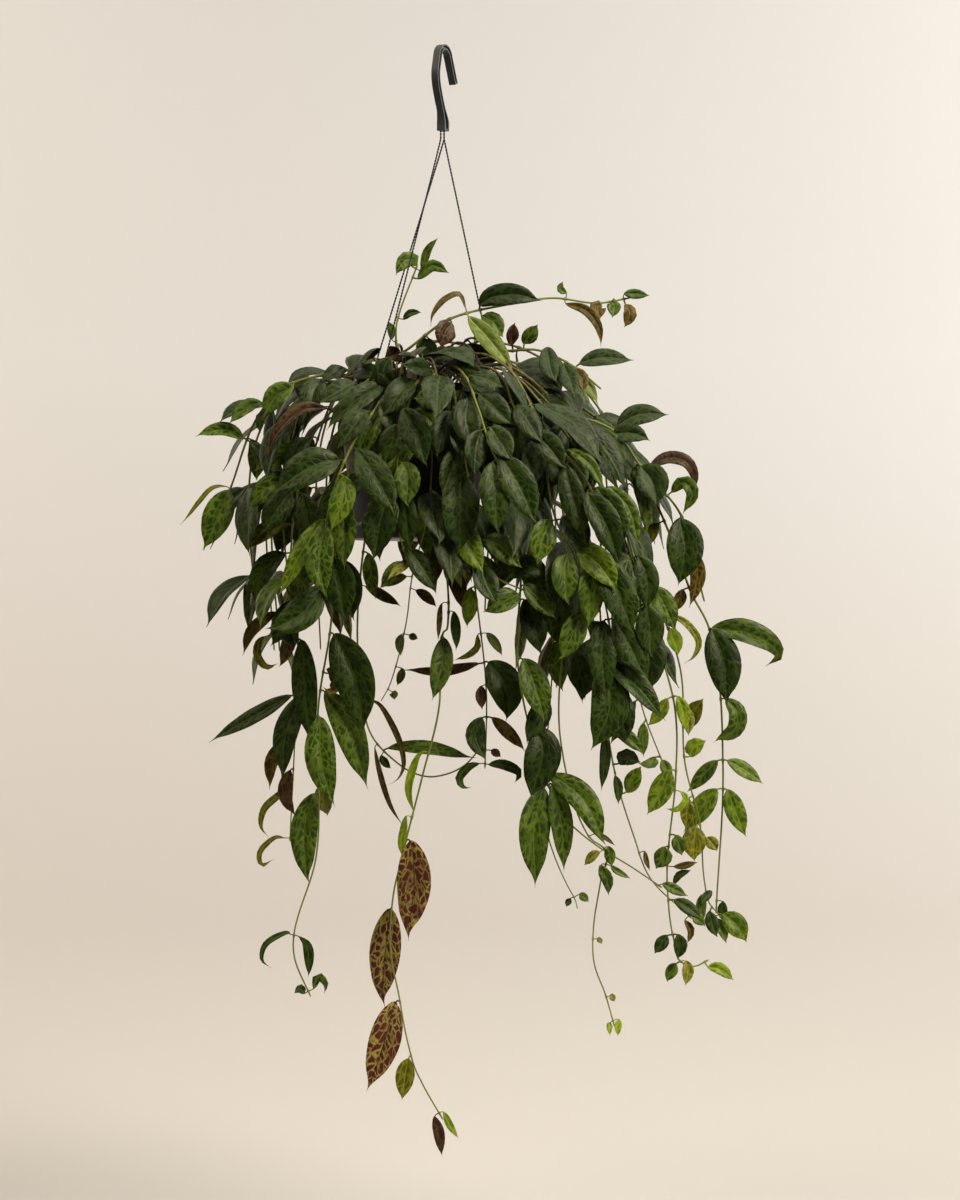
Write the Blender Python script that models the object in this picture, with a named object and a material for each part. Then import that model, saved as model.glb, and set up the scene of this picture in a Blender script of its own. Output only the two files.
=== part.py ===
"""A mottled-leaf lipstick plant in a hanging pot, about 1.1 m from its hook to its lowest tip.

The frame: +Z is up, and the viewer stands at -Y. The origin is the flat seat inside the crown of the
hook, where the hook rests on its rail, so all the rest hangs below it.
"""

import bisect
import math
import random
from functools import partial

import bmesh
import bpy
from mathutils import Matrix, Vector
from mathutils.bvhtree import BVHTree

MM = 0.001
GAP = 0.3

# The hook: a moulded crook whose plane is turned from the front view. Both arms leave its round crown
# at CROOK_OPEN degrees from upright.
HOOK_TURN = math.radians(62)
CROOK_RADIUS = 11
CROOK_OPEN = 24
HOOK_THICK = 5.3
HOOK_WIDE = 7.4
HOOK_RIB = 1.3
HOOK_WEB = 3.2
CROOK_CENTRE = -(CROOK_RADIUS - HOOK_THICK / 2)
HOOK_TIP = -31
HOOK_SHANK = ((-13, -15), (-15, -25), (-13.6, -36), (-8.4, -50), (-3, -62), (0, -72))
HOOK_EYE = 1.3
FOOT_TOP = -68
FOOT_BOTTOM = -81
FOOT_WIDE = 9.2

# The hanger wires: up to this far into three blind holes in the hook's foot, then straight down, then out
# to three holes in the pot's rim, where their ends are bent in.
WIRE_RADIUS = 0.95
WIRE_HOLE = 1.35
WIRE_TOP_SPREAD = 2.2
WIRE_SUNK = 4.2
WIRE_STRAIGHT = 9
WIRE_PAST_RIM = 4
WIRE_BENT_IN = 2.2
# Their bundle in the foot is turned by this much against the holes in the rim.
WIRE_TOP_TURN = -67
WIRE_ANGLES = {"wire_right": 7, "wire_back_left": 127, "wire_front_left": 247}

# The pot, its clip-on drip tray and the soil in it.
POT_X = -28
RIM_TOP = -338
RIM_RADIUS = 86
HOLE_RADIUS = 82
POT_TOP_RADIUS = 78
POT_BASE_RADIUS = 61
POT_BASE = -486.7
POT_WALL = 2
RIM_SKIRT = 8
RIM_THICK = 1.6
BEAD_OUT = 2.4
BEAD_HIGH = 3
DRAIN_CIRCLE = 34
DRAIN_RADIUS = 4.5
TRAY_RADIUS = 67
TRAY_BASE = -490
TRAY_HEIGHT = 14
TRAY_WALL = 1.8
TRAY_LIP = 1.6
TRAY_CHAMFER = 4
SOIL_TOP = -350
ROUND_SIDES = 20


def pot_radius(z):
    """The outside of the pot's wall at this height."""
    share = (z - POT_BASE) / (RIM_TOP - POT_BASE)
    return POT_BASE_RADIUS + (POT_TOP_RADIUS - POT_BASE_RADIUS) * share


# Each vine below is drawn on a front elevation, 1 mm to the millimetre, whose hook seat is at
# SHEET_SEAT. A point is (right, down, towards the viewer). A leaf is its kind, its width, how far its
# blade is turned from the viewer in degrees, and its midrib from the stem to the tip, where the third
# number of a point is measured from the stem instead.
SHEET_SEAT = (443, 50)
HERO_VINES = {
    "vine_top_upright": dict(
        root=(205, 40), radius=1.3,
        route=[(391, 372, 5), (391, 350, 2), (396, 326, 0), (405, 294, 0), (417, 266, 2)],
        leaves=[
            ("green", 20, 10, (417, 264), (419, 252, 4), (410, 247, 8), (405, 256, 12), (403, 267, 12)),
            ("green", 9, 0, (418, 265), (428, 247, 6), (439, 237, 6)),
            ("green", 14, 30, (413, 277), (434, 256, 10), (450, 274, 10)),
            ("old", 8, 20, (399, 318), (410, 311, 6), (422, 312, 6)),
            ("green", 9, 0, (393, 338), (391, 330, 5), (389, 321, 5)),
        ]),
    "vine_top_arch": dict(
        root=(190, 12), radius=1.5, back=20,
        route=[(398, 352, 42), (416, 342, 48), (440, 324, 56), (460, 315, 58), (476, 312, 56),
               (510, 304, 50), (540, 300, 44), (560, 298, 40), (600, 303, 36), (629, 298, 32)],
        leaves=[
            ("brown", 9, 45, (467, 313), (459, 294, 4), (444, 300, 8), (433, 314, 10), (430, 327, 10)),
            ("old", 24, 12, (480, 311), (492, 297, 8), (518, 295, 8), (543, 302, 6)),
            ("green", 21, 15, (482, 311), (494, 319, 6), (503, 338, 6)),
            ("maroon", 24, 10, (450, 319), (446, 328, 10), (440, 348, 12)),
            ("green", 25, 20, (404, 349), (413, 354, 14), (420, 374, 18)),
            ("maroon", 20, 25, (402, 350), (391, 354, 10), (380, 368, 12)),
            ("old", 22, 25, (430, 332), (424, 346, 10), (428, 366, 12)),
            ("pale", 21, 8, (464, 316), (486, 334, 14), (515, 372, 20)),
            ("brown", 11, 15, (566, 299), (585, 310, 4), (598, 326, 4), (602, 348, 2)),
            ("green", 8, 20, (560, 298), (556, 288, 2), (563, 281, 2)),
            ("brown", 18, 0, (600, 303), (594, 302, 6), (600, 319, 10)),
            ("green", 15, 10, (610, 302), (616, 296, 3), (613, 318, 8)),
            ("brown", 15, 30, (624, 300), (635, 312, 5), (625, 328, 4)),
            ("green", 11, 10, (629, 298), (639, 291, 2), (650, 296, 2)),
        ]),
    "vine_top_right": dict(
        root=(20, 30), radius=1.6,
        route=[(500, 350, 20), (530, 348, 34), (556, 358, 44), (576, 368, 50), (600, 388, 60)],
        leaves=[
            ("maroon", 15, 25, (513, 348), (510, 337, 6), (514, 322, 6)),
            ("green", 17, 20, (524, 348), (526, 337, 4), (538, 324, 4)),
            ("old", 26, 15, (545, 353), (551, 366, 10), (563, 391, 12)),
            ("old", 24, 20, (552, 355), (541, 366, 16), (545, 390, 22)),
            ("old", 22, 35, (576, 368), (603, 351, 4), (634, 361, 4)),
            ("brown", 15, 25, (578, 369), (587, 373, 4), (586, 390, 4)),
            ("pale", 18, 30, (572, 369), (590, 390, 18), (601, 406, 16)),
            ("old", 26, 15, (566, 363), (562, 380, 22), (574, 406, 26)),
        ]),
    "vine_shoulder_right": dict(
        root=(335, 38), radius=1.6, back=45,
        route=[(520, 372, 60), (568, 412, 82), (615, 432, 86), (641, 467, 84), (668, 498, 78),
               (681, 516, 76), (692, 560, 70), (704, 600, 64)],
        leaves=[
            ("old", 25, 30, (613, 431), (638, 407, 4), (669, 415, 2)),
            ("old", 22, 25, (617, 432), (633, 432, 14), (651, 440, 14)),
            ("old", 34, 10, (641, 465), (656, 478, 12), (657, 507, 14)),
            ("maroon", 15, 25, (645, 471), (668, 458, -6), (686, 462, -6), (694, 476, -8), (694, 496, -8)),
            ("green", 15, 15, (668, 494), (684, 482, 4), (692, 494, 4), (682, 514, 4)),
            ("dark", 39, 8, (683, 516), (689, 544, 12), (679, 587, 12)),
            ("brown", 18, 20, (690, 548), (706, 572, -6), (690, 608, -8)),
            ("green", 25, 12, (594, 425), (618, 446, 10), (623, 485, 12)),
            ("old", 26, 15, (568, 413), (560, 430, 18), (566, 460, 22)),
            ("dark", 24, 20, (545, 396), (556, 414, 14), (583, 428, 16)),
            ("green", 24, 15, (641, 468), (654, 504, 6), (650, 531, 6)),
        ]),
    "vine_front_right": dict(
        root=(310, 40), radius=1.5,
        route=[(500, 374, 96), (513, 406, 124), (540, 432, 134), (568, 457, 138), (594, 495, 136),
               (598, 540, 128), (602, 585, 118), (610, 628, 112)],
        leaves=[
            ("old", 26, 10, (537, 430), (548, 446, 12), (566, 471, 12)),
            ("green", 14, 15, (566, 452), (594, 455, 8), (605, 491, 8)),
            ("dark", 26, 12, (592, 490), (616, 506, 2), (626, 546, -2)),
            ("dark", 30, 10, (596, 497), (606, 520, 14), (620, 566, 14)),
            ("dark", 28, 10, (570, 461), (564, 488, 12), (590, 541, 12)),
            ("old", 26, 20, (516, 409), (528, 418, 12), (545, 446, 14)),
            ("old", 28, 10, (513, 403), (500, 420, 12), (510, 452, 16)),
            ("dark", 36, 12, (600, 560), (618, 585, 10), (634, 638, 8)),
            ("green", 30, 10, (600, 566), (588, 590, 12), (592, 632, 12)),
            ("dark", 28, 15, (609, 620), (630, 640, 6), (646, 680, 4)),
            ("dark", 30, 10, (609, 624), (596, 650, 12), (606, 700, 14)),
        ]),
    "vine_front_middle": dict(
        root=(285, 44), radius=1.5,
        route=[(462, 372, 102), (474, 398, 132), (484, 424, 142), (497, 461, 150), (508, 478, 150)],
        leaves=[
            ("dark", 31, 8, (498, 460), (493, 490, 12), (497, 536, 10)),
            ("dark", 34, 12, (503, 463), (524, 483, 10), (536, 526, 8)),
            ("old", 28, 10, (474, 395), (490, 400, 10), (512, 426, 12)),
            ("dark", 33, 6, (470, 393), (458, 415, 14), (470, 451, 18)),
            ("old", 26, 15, (487, 430), (500, 436, 8), (512, 462, 14)),
            ("old", 26, 25, (484, 426), (470, 446, 10), (474, 476, 12)),
            ("old", 24, 40, (466, 380), (484, 374, 12), (504, 388, 16)),
        ]),
    "vine_front_low": dict(
        root=(270, 56), radius=1.3,
        route=[(450, 380, 92), (458, 420, 116), (468, 479, 124), (474, 528, 122), (483, 560, 118),
               (500, 580, 116), (523, 590, 112)],
        leaves=[
            ("bright", 26, 5, (472, 522), (458, 540, 10), (484, 574, 14)),
            ("green", 24, 15, (477, 540), (496, 534, 10), (522, 570, 12)),
            ("dark", 24, 15, (505, 583), (526, 552, 4), (552, 578, 4)),
            ("green", 26, 20, (521, 589), (506, 600, 12), (484, 614, 14)),
            ("dark", 26, 20, (484, 562), (478, 580, 12), (498, 606, 14)),
            ("dark", 38, 10, (467, 474), (456, 510, 16), (460, 556, 14)),
            ("dark", 26, 20, (463, 450), (448, 466, 14), (440, 500, 16)),
            ("old", 28, 10, (456, 412), (440, 424, 16), (436, 458, 18)),
            ("green", 22, 25, (523, 590), (540, 596, 6), (556, 620, 6)),
        ]),
    "vine_right_of_middle": dict(
        root=(300, 24), radius=1.4,
        route=[(500, 362, 78), (530, 404, 112), (548, 470, 122), (557, 522, 124), (573, 552, 122),
               (584, 600, 112), (592, 640, 106), (604, 668, 100)],
        leaves=[
            ("bright", 31, 8, (572, 551), (600, 556, 10), (617, 592, 10)),
            ("green", 28, 10, (571, 549), (560, 566, 12), (566, 606, 12)),
            ("green", 28, 15, (557, 520), (538, 532, 12), (536, 566, 12)),
            ("dark", 26, 15, (556, 516), (574, 518, 8), (590, 548, 8)),
            ("dark", 40, 8, (604, 667), (622, 700, 14), (592, 752, 14)),
            ("dark", 26, 25, (604, 667), (636, 676, 12), (665, 721, 12)),
            ("green", 26, 10, (586, 610), (574, 628, 10), (560, 662, 10)),
            ("dark", 26, 15, (588, 622), (604, 636, 8), (612, 664, 8)),
            ("old", 26, 10, (540, 440), (530, 454, 12), (534, 488, 16)),
            ("old", 26, 15, (544, 456), (556, 462, 8), (570, 492, 10)),
        ]),
    "vine_front_left": dict(
        root=(285, 30), radius=1.4,
        route=[(436, 374, 96), (418, 381, 114), (409, 402, 126), (404, 424, 130), (398, 470, 130),
               (396, 495, 128), (402, 545, 120), (408, 562, 116)],
        leaves=[
            ("old", 27, 20, (417, 381), (396, 390, 12), (384, 418, 14)),
            ("old", 24, 20, (434, 375), (420, 366, 8), (398, 370, 10)),
            ("green", 22, 25, (411, 398), (428, 394, 8), (442, 409, 10)),
            ("green", 20, 15, (406, 412), (428, 412, 2), (437, 431, 2)),
            ("old", 29, 8, (406, 418), (420, 432, 16), (426, 469, 18)),
            ("dark", 27, 20, (404, 426), (392, 436, 6), (384, 464, 4)),
            ("green", 22, 15, (401, 446), (380, 456, 10), (372, 484, 10)),
            ("green", 28, 10, (399, 462), (412, 472, 12), (406, 508, 14)),
            ("dark", 36, 10, (396, 492), (376, 516, 10), (374, 562, 8)),
            ("dark", 24, 15, (397, 496), (410, 516, 10), (410, 552, 10)),
            ("old", 24, 15, (404, 550), (420, 560, 10), (438, 594, 8)),
            ("green", 14, 10, (407, 560), (392, 568, 8), (380, 590, 6)),
            ("olive", 12, 10, (408, 562), (398, 574, 4), (384, 585, 2)),
        ]),
    "vine_crown_front": dict(
        root=(262, 14), radius=1.5,
        route=[(424, 358, 34), (438, 366, 54), (452, 374, 72), (468, 388, 92)],
        leaves=[
            ("old", 22, 35, (440, 367), (470, 361, 6), (503, 388, 8)),
            ("green", 18, 20, (426, 359), (422, 350, 2), (426, 337, 0)),
            ("old", 22, 25, (426, 359), (442, 352, 6), (462, 360, 8)),
            ("old", 26, 30, (454, 376), (474, 382, 10), (494, 404, 12)),
            ("old", 28, 20, (466, 387), (452, 398, 16), (448, 430, 20)),
        ]),
    "vine_left_arch": dict(
        root=(195, 55), radius=1.6, back=40,
        route=[(350, 374, 50), (323, 375, 58), (293, 387, 62), (270, 398, 62), (256, 426, 60),
               (250, 442, 58), (238, 470, 56), (229, 492, 54)],
        leaves=[
            ("green", 16, 25, (250, 441), (225, 421, 6), (195, 435, 6)),
            ("green", 18, 35, (263, 403), (243, 402, 6), (229, 424, 8)),
            ("green", 23, 15, (294, 386), (276, 388, 10), (263, 419, 10)),
            ("dark", 11, 40, (262, 404), (258, 416, 10), (260, 434, 8)),
            ("green", 31, 8, (230, 489), (220, 510, 10), (204, 551, 10)),
            ("olive", 6, 30, (231, 487), (212, 488, 4), (199, 502, 4), (188, 516, 2), (180, 525, 0)),
            ("old", 20, 35, (350, 374), (338, 362, 6), (316, 379, 8)),
            ("old", 25, 25, (352, 377), (368, 366, 10), (390, 374, 14)),
            ("maroon", 12, 20, (354, 383), (359, 374, 4), (364, 361, 2)),
            ("dark", 14, 30, (300, 383), (306, 394, 12), (304, 412, 12)),
            ("dark", 26, 20, (322, 375), (312, 386, 16), (310, 420, 20)),
            ("green", 20, 20, (251, 440), (262, 452, -8), (256, 482, -10)),
            ("old", 22, 25, (252, 436), (270, 448, -14), (284, 474, -16)),
        ]),
    "vine_left_front": dict(
        root=(232, 48), radius=1.5,
        route=[(392, 384, 90), (374, 412, 112), (350, 450, 122), (338, 490, 122), (327, 520, 116),
               (326, 556, 108), (328, 594, 100)],
        leaves=[
            ("old", 25, 15, (388, 387), (360, 388, 14), (322, 428, 12)),
            ("old", 24, 20, (390, 384), (377, 372, 6), (392, 354, 4)),
            ("dark", 22, 20, (398, 384), (404, 374, 12), (408, 358, 14)),
            ("dark", 38, 22, (345, 462), (312, 456, 14), (272, 494, 10)),
            ("bright", 26, 15, (342, 476), (350, 492, 14), (331, 532, 14)),
            ("green", 30, 10, (327, 522), (312, 560, 12), (326, 600, 12)),
            ("bright", 23, 20, (326, 528), (296, 552, 6), (278, 601, 4)),
            ("dark", 34, 15, (328, 592), (300, 622, 12), (266, 632, 10)),
            ("dark", 34, 10, (327, 558), (346, 580, 8), (344, 622, 8)),
            ("green", 28, 20, (336, 496), (350, 520, 8), (344, 570, 8)),
            ("dark", 36, 15, (352, 448), (376, 470, 10), (392, 520, 6)),
            ("dark", 26, 25, (372, 416), (352, 420, 14), (338, 450, 14)),
            ("green", 28, 20, (378, 402), (374, 420, 16), (357, 459, 16)),
        ]),
    "vine_left_inner": dict(
        root=(222, 28), radius=1.4, back=70,
        route=[(372, 376, 66), (340, 400, 92), (312, 440, 98), (296, 500, 94), (290, 560, 86),
               (280, 612, 76), (268, 640, 70)],
        leaves=[
            ("maroon", 17, 45, (330, 410), (300, 410, 4), (276, 434, 2), (267, 460, 0)),
            ("old", 24, 15, (312, 440), (298, 446, 10), (284, 474, 8)),
            ("green", 22, 12, (307, 452), (274, 450, -2), (254, 472, -4)),
            ("green", 25, 12, (300, 480), (264, 480, -4), (246, 510, -6)),
            ("olive", 20, 20, (294, 524), (262, 526, -4), (246, 550, -6)),
            ("dark", 30, 20, (297, 492), (278, 500, 8), (262, 536, 6)),
            ("dark", 28, 15, (296, 500), (310, 514, 10), (312, 548, 10)),
            ("dark", 24, 20, (290, 552), (254, 566, 6), (254, 606, 4)),
            ("green", 26, 15, (289, 560), (302, 580, 10), (300, 614, 10)),
            ("brown", 14, 20, (280, 612), (242, 628, 4), (243, 656, 2)),
            ("olive", 10, 30, (270, 637), (258, 644, 2), (258, 657, 2), (267, 667, 4), (279, 663, 4)),
            ("dark", 24, 25, (280, 612), (290, 622, 8), (296, 650, 8)),
            ("old", 24, 30, (355, 386), (338, 388, 12), (318, 404, 14)),
        ]),
    "vine_left_trail": dict(
        root=(240, 30), radius=1.3, back=35,
        route=[(388, 370, 84), (362, 430, 118), (342, 500, 114), (332, 574, 104), (330, 632, 96),
               (322, 676, 92), (318, 717, 88), (316, 800, 80), (317, 850, 76), (309, 890, 74),
               (300, 935, 72), (295, 962, 72), (301, 979, 72), (310, 995, 72)],
        leaves=[
            ("dark", 42, 10, (330, 634), (364, 674, 12), (364, 735, 8)),
            ("green", 32, 15, (320, 690), (354, 712, 10), (368, 790, 8)),
            ("green", 32, 8, (318, 717), (316, 762, 14), (334, 808, 16)),
            ("green", 28, 8, (316, 795), (296, 824, 12), (307, 886, 12)),
            ("olive", 20, 20, (317, 784), (326, 800, -4), (331, 820, -6)),
            ("brown", 16, 30, (322, 672), (331, 669, 4), (339, 681, 8), (331, 692, 10), (322, 687, 10)),
            ("dark", 7, 25, (300, 936), (285, 933, 2), (266, 944, 4), (262, 960, 5), (272, 968, 6)),
            ("dark", 11, 10, (300, 937), (313, 946, 4), (309, 978, 4)),
            ("green", 9, 10, (307, 990), (318, 976, 3), (326, 984, 5), (324, 994, 6)),
            ("dark", 10, 10, (308, 993), (298, 984, 3), (295, 996, 4)),
            ("dark", 28, 20, (336, 545), (318, 556, 8), (300, 590, 4)),
            ("dark", 30, 15, (334, 560), (354, 576, 6), (352, 622, 4)),
        ]),
    "vine_left_low": dict(
        root=(212, 46), radius=1.2, back=110,
        route=[(350, 370, 62), (320, 430, 74), (304, 520, 66), (300, 600, 64), (297, 690, 62),
               (295, 735, 60), (293, 765, 60), (293, 806, 58), (290, 840, 58)],
        leaves=[
            ("dark", 18, 25, (297, 696), (258, 713, 4), (208, 742, 4)),
            ("old", 26, 10, (296, 700), (280, 736, 10), (283, 782, 10)),
            ("brown", 17, 25, (294, 740), (264, 758, -6), (270, 790, -8)),
            ("olive", 9, 30, (294, 778), (281, 793, 2), (265, 808, 2), (261, 826, 3), (269, 838, 4)),
            ("maroon", 18, 20, (293, 768), (272, 800, -8), (292, 820, -10)),
            ("olive", 7, 30, (290, 840), (274, 838, 2), (260, 852, 3), (262, 865, 5), (275, 858, 8)),
            ("dark", 24, 20, (300, 600), (284, 616, 4), (272, 648, 2)),
            ("brown", 20, 20, (300, 626), (280, 640, 4), (285, 660, 4)),
            ("dark", 34, 8, (299, 640), (300, 684, 12), (301, 735, 12)),
            ("old", 24, 25, (312, 476), (292, 482, 2), (264, 512, 0)),
            ("dark", 28, 15, (318, 440), (300, 450, -6), (288, 488, -8)),
            ("dark", 28, 20, (306, 506), (286, 520, -6), (274, 556, -8)),
        ]),
    "vine_u_loop": dict(
        root=(246, 20), radius=1.3, back=50,
        route=[(402, 366, 88), (388, 430, 108), (372, 500, 96), (360, 580, 84), (358, 660, 72),
               (368, 726, 62), (383, 749, 60), (400, 765, 58), (419, 775, 58), (440, 776, 60),
               (465, 765, 64), (478, 751, 68)],
        leaves=[
            ("green", 19, 40, (385, 751), (428, 744, 6), (476, 759, 10)),
            ("brown", 7, 20, (366, 700), (382, 707, 4), (399, 739, 6), (404, 764, 8), (398, 779, 8),
             (387, 785, 8)),
            ("brown", 7, 30, (379, 742), (380, 772, 6), (390, 804, 6), (404, 828, 4)),
            ("dark", 9, 10, (383, 749), (380, 762, 4), (391, 769, 6)),
            ("green", 17, 20, (364, 552), (373, 572, 6), (375, 600, 4)),
            ("brown", 12, 20, (361, 586), (386, 598, 4), (402, 606, 4)),
        ]),
    "vine_centre_left": dict(
        root=(262, 8), radius=0.95, back=85,
        route=[(424, 364, 92), (430, 430, 104), (428, 500, 96), (418, 560, 74), (411, 600, 70),
               (405, 635, 68), (393, 680, 66), (383, 702, 66)],
        leaves=[
            ("brown", 11, 10, (413, 589), (425, 593, 3), (437, 607, 3)),
            ("olive", 11, 15, (416, 577), (400, 575, 3), (382, 587, 3)),
            ("green", 8, 10, (406, 634), (412, 636, 2), (418, 639, 2)),
            ("pale", 10, 10, (404, 640), (396, 644, 2), (400, 657, 2)),
            ("green", 9, 10, (398, 668), (407, 673, 2), (397, 686, 2)),
            ("pale", 9, 10, (389, 687), (397, 690, 2), (394, 700, 2)),
        ]),
    "vine_centre_long": dict(
        root=(268, 36), radius=1.25, back=55,
        route=[(436, 372, 78), (444, 440, 100), (446, 542, 98), (446, 622, 92), (443, 641, 91),
               (438, 702, 88), (428, 745, 86), (415, 813, 84), (401, 859, 82), (393, 905, 80),
               (394, 950, 78), (396, 994, 76), (410, 1047, 74), (426, 1086, 72), (443, 1117, 70)],
        leaves=[
            ("green", 24, 8, (444, 638), (446, 668, 10), (433, 705, 10)),
            ("young", 9, 20, (427, 752), (415, 764, -3), (409, 790, -4), (415, 816, -6)),
            ("young", 9, 20, (414, 818), (404, 830, -3), (402, 846, -6), (408, 861, -9)),
            ("mottled", 35, 5, (408, 841), (422, 884, 6), (406, 941, 6)),
            ("mottled", 39, 5, (393, 912), (380, 964, 8), (389, 1014, 8)),
            ("mottled", 33, 5, (396, 1002), (383, 1045, 6), (367, 1092, 6)),
            ("olive", 20, 10, (412, 1052), (405, 1072, 6), (402, 1101, 6)),
            ("maroon", 12, 5, (440, 1112), (437, 1130, 3), (442, 1157, 3)),
            ("young", 8, 10, (443, 1116), (450, 1124, 3), (459, 1139, 3)),
            ("dark", 11, 15, (446, 612), (458, 628, 4), (456, 651, 4)),
            ("brown", 6, 10, (445, 604), (436, 620, 4), (438, 642, 4)),
            ("pale", 9, 20, (446, 566), (458, 566, 4), (462, 588, 4)),
            ("maroon", 20, 25, (446, 568), (460, 578, -6), (464, 614, -8)),
            ("maroon", 16, 20, (446, 542), (436, 556, -4), (438, 588, -4)),
        ]),
    "vine_right_of_centre": dict(
        root=(296, 10), radius=1.2, back=25,
        route=[(462, 356, 56), (474, 410, 98), (474, 470, 96), (472, 540, 92), (475, 589, 90),
               (480, 637, 88),
               (484, 672, 86), (487, 715, 84), (485, 767, 82)],
        leaves=[
            ("dark", 36, 8, (485, 662), (515, 682, 10), (509, 722, 8)),
            ("maroon", 17, 50, (481, 656), (468, 667, -5), (438, 672, -9), (402, 669, -10)),
            ("maroon", 12, 10, (486, 685), (478, 694, 6), (482, 710, 8)),
            ("brown", 15, 25, (487, 718), (510, 731, 6), (526, 751, 6)),
            ("maroon", 9, 20, (486, 750), (494, 750, 3), (501, 757, 3)),
            ("old", 22, 20, (486, 722), (464, 734, 6), (486, 761, 8)),
            ("olive", 8, 25, (478, 634), (478, 647, 4), (468, 656, 5), (453, 660, 6)),
            ("young", 17, 10, (475, 588), (468, 606, 6), (466, 628, 6)),
            ("pale", 10, 15, (479, 628), (496, 638, 3), (503, 656, 3)),
            ("dark", 10, 25, (485, 764), (468, 767, 2), (459, 778, 3), (463, 787, 4), (472, 788, 5)),
            ("dark", 12, 25, (486, 765), (504, 765, 3), (519, 773, 4), (514, 784, 5)),
            ("green", 24, 15, (473, 556), (488, 566, 6), (500, 598, 6)),
        ]),
    "vine_right_inner": dict(
        root=(288, 6), radius=1.3,
        route=[(476, 358, 66), (508, 430, 92), (520, 520, 98), (521, 602, 96), (519, 672, 92),
               (530, 732, 90), (541, 762, 88), (550, 790, 86), (562, 815, 84), (593, 842, 80),
               (632, 868, 74), (662, 888, 70)],
        leaves=[
            ("dark", 38, 10, (531, 728), (556, 740, 10), (529, 800, 12)),
            ("green", 34, 8, (549, 785), (524, 822, 12), (535, 885, 14)),
            ("green", 24, 15, (551, 790), (566, 820, 8), (564, 873, 8)),
            ("green", 28, 8, (546, 777), (594, 790, 18), (605, 848, 20)),
            ("green", 30, 12, (519, 660), (536, 680, 10), (546, 724, 10)),
            ("dark", 28, 15, (521, 600), (536, 616, 10), (540, 656, 10)),
            ("green", 30, 15, (522, 560), (540, 576, 10), (546, 616, 10)),
            ("green", 12, 20, (662, 888), (678, 889, 4), (688, 897, 6)),
            ("dark", 24, 15, (521, 540), (508, 556, 8), (500, 592, 6)),
        ]),
    "vine_right_thin": dict(
        root=(330, 14), radius=1.15, back=10,
        route=[(494, 356, 52), (546, 440, 86), (566, 560, 90), (564, 680, 82), (560, 740, 78),
               (572, 800, 74), (588, 836, 72), (604, 850, 70), (599, 882, 68), (593, 923, 67),
               (592, 957, 66), (600, 978, 66), (608, 1000, 66), (613, 1026, 66)],
        leaves=[
            ("olive", 10, 10, (604, 850), (594, 852, 4), (584, 866, 5)),
            ("green", 12, 10, (604, 852), (612, 856, 4), (612, 867, 4)),
            ("green", 7, 10, (602, 866), (618, 871, 4), (631, 879, 4)),
            ("green", 13, 10, (600, 870), (609, 880, 4), (608, 896, 5)),
            ("olive", 6, 20, (593, 940), (600, 936, 2), (602, 944, 3)),
            ("olive", 7, 10, (607, 996), (613, 991, 2), (614, 1002, 3)),
            ("young", 8, 10, (612, 1022), (620, 1026, 2), (618, 1036, 3)),
            ("young", 7, 10, (612, 1020), (607, 1026, 2), (610, 1036, 3)),
            ("dark", 30, 12, (566, 590), (552, 606, 8), (556, 648, 8)),
            ("dark", 28, 20, (565, 650), (580, 660, 6), (586, 700, 6)),
            ("brown", 5, 10, (588, 836), (604, 832, 3), (616, 846, 4)),
        ]),
    "vine_right_bud": dict(
        root=(322, 50), radius=1.0, back=-20,
        route=[(520, 386, 84), (552, 460, 100), (556, 600, 92), (548, 720, 82), (540, 786, 76),
               (546, 830, 74), (562, 873, 72), (574, 898, 72), (577, 908, 72)],
        leaves=[
            ("green", 9, 10, (574, 896), (583, 892, 2), (589, 902, 3)),
            ("dark", 7, 10, (575, 900), (568, 900, 2), (566, 907, 3)),
            ("green", 26, 15, (556, 590), (544, 606, 8), (536, 640, 8)),
            ("green", 26, 15, (553, 640), (562, 660, 8), (570, 700, 8)),
            ("dark", 26, 15, (550, 696), (540, 712, 8), (524, 744, 8)),
        ]),
    "vine_right_hang": dict(
        root=(345, 48), radius=1.3, back=40,
        route=[(544, 398, 76), (592, 470, 92), (628, 560, 88), (646, 622, 84), (668, 676, 78),
               (676, 720, 74), (676, 764, 72), (672, 820, 70), (668, 878, 68), (669, 905, 68),
               (673, 936, 68), (681, 961, 68), (694, 966, 68), (707, 961, 68)],
        leaves=[
            ("dark", 37, 12, (647, 622), (651, 658, 12), (644, 698, 12)),
            ("green", 28, 15, (646, 620), (632, 640, 10), (636, 676, 10)),
            ("young", 15, 15, (673, 698), (662, 712, 4), (648, 727, 4)),
            ("young", 15, 15, (676, 700), (688, 712, 4), (685, 732, 4)),
            ("green", 26, 10, (628, 560), (646, 572, 8), (654, 613, 8)),
            ("bright", 24, 12, (675, 772), (660, 790, 6), (647, 816, 6)),
            ("young", 8, 20, (675, 790), (686, 799, 4), (678, 809, 4), (665, 809, 4)),
            ("green", 16, 15, (671, 834), (680, 840, 4), (682, 856, 4)),
            ("green", 20, 15, (669, 846), (664, 856, 6), (655, 869, 6)),
            ("brown", 8, 15, (669, 866), (684, 868, 4), (698, 862, 4)),
            ("dark", 8, 15, (668, 884), (679, 873, 4), (692, 870, 4)),
            ("dark", 14, 10, (671, 934), (662, 941, 4), (654, 954, 4)),
            ("dark", 15, 10, (673, 938), (685, 945, 4), (677, 960, 5)),
            ("green", 13, 10, (680, 960), (671, 969, 3), (666, 982, 4)),
            ("olive", 13, 15, (682, 962), (691, 971, 4), (683, 988, 4)),
            ("young", 13, 10, (706, 961), (721, 967, 3), (734, 981, 4)),
            ("dark", 15, 20, (669, 900), (686, 903, 6), (703, 920, 8)),
        ]),
    "vine_right_curl": dict(
        root=(352, 26), radius=1.2, back=75,
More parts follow.
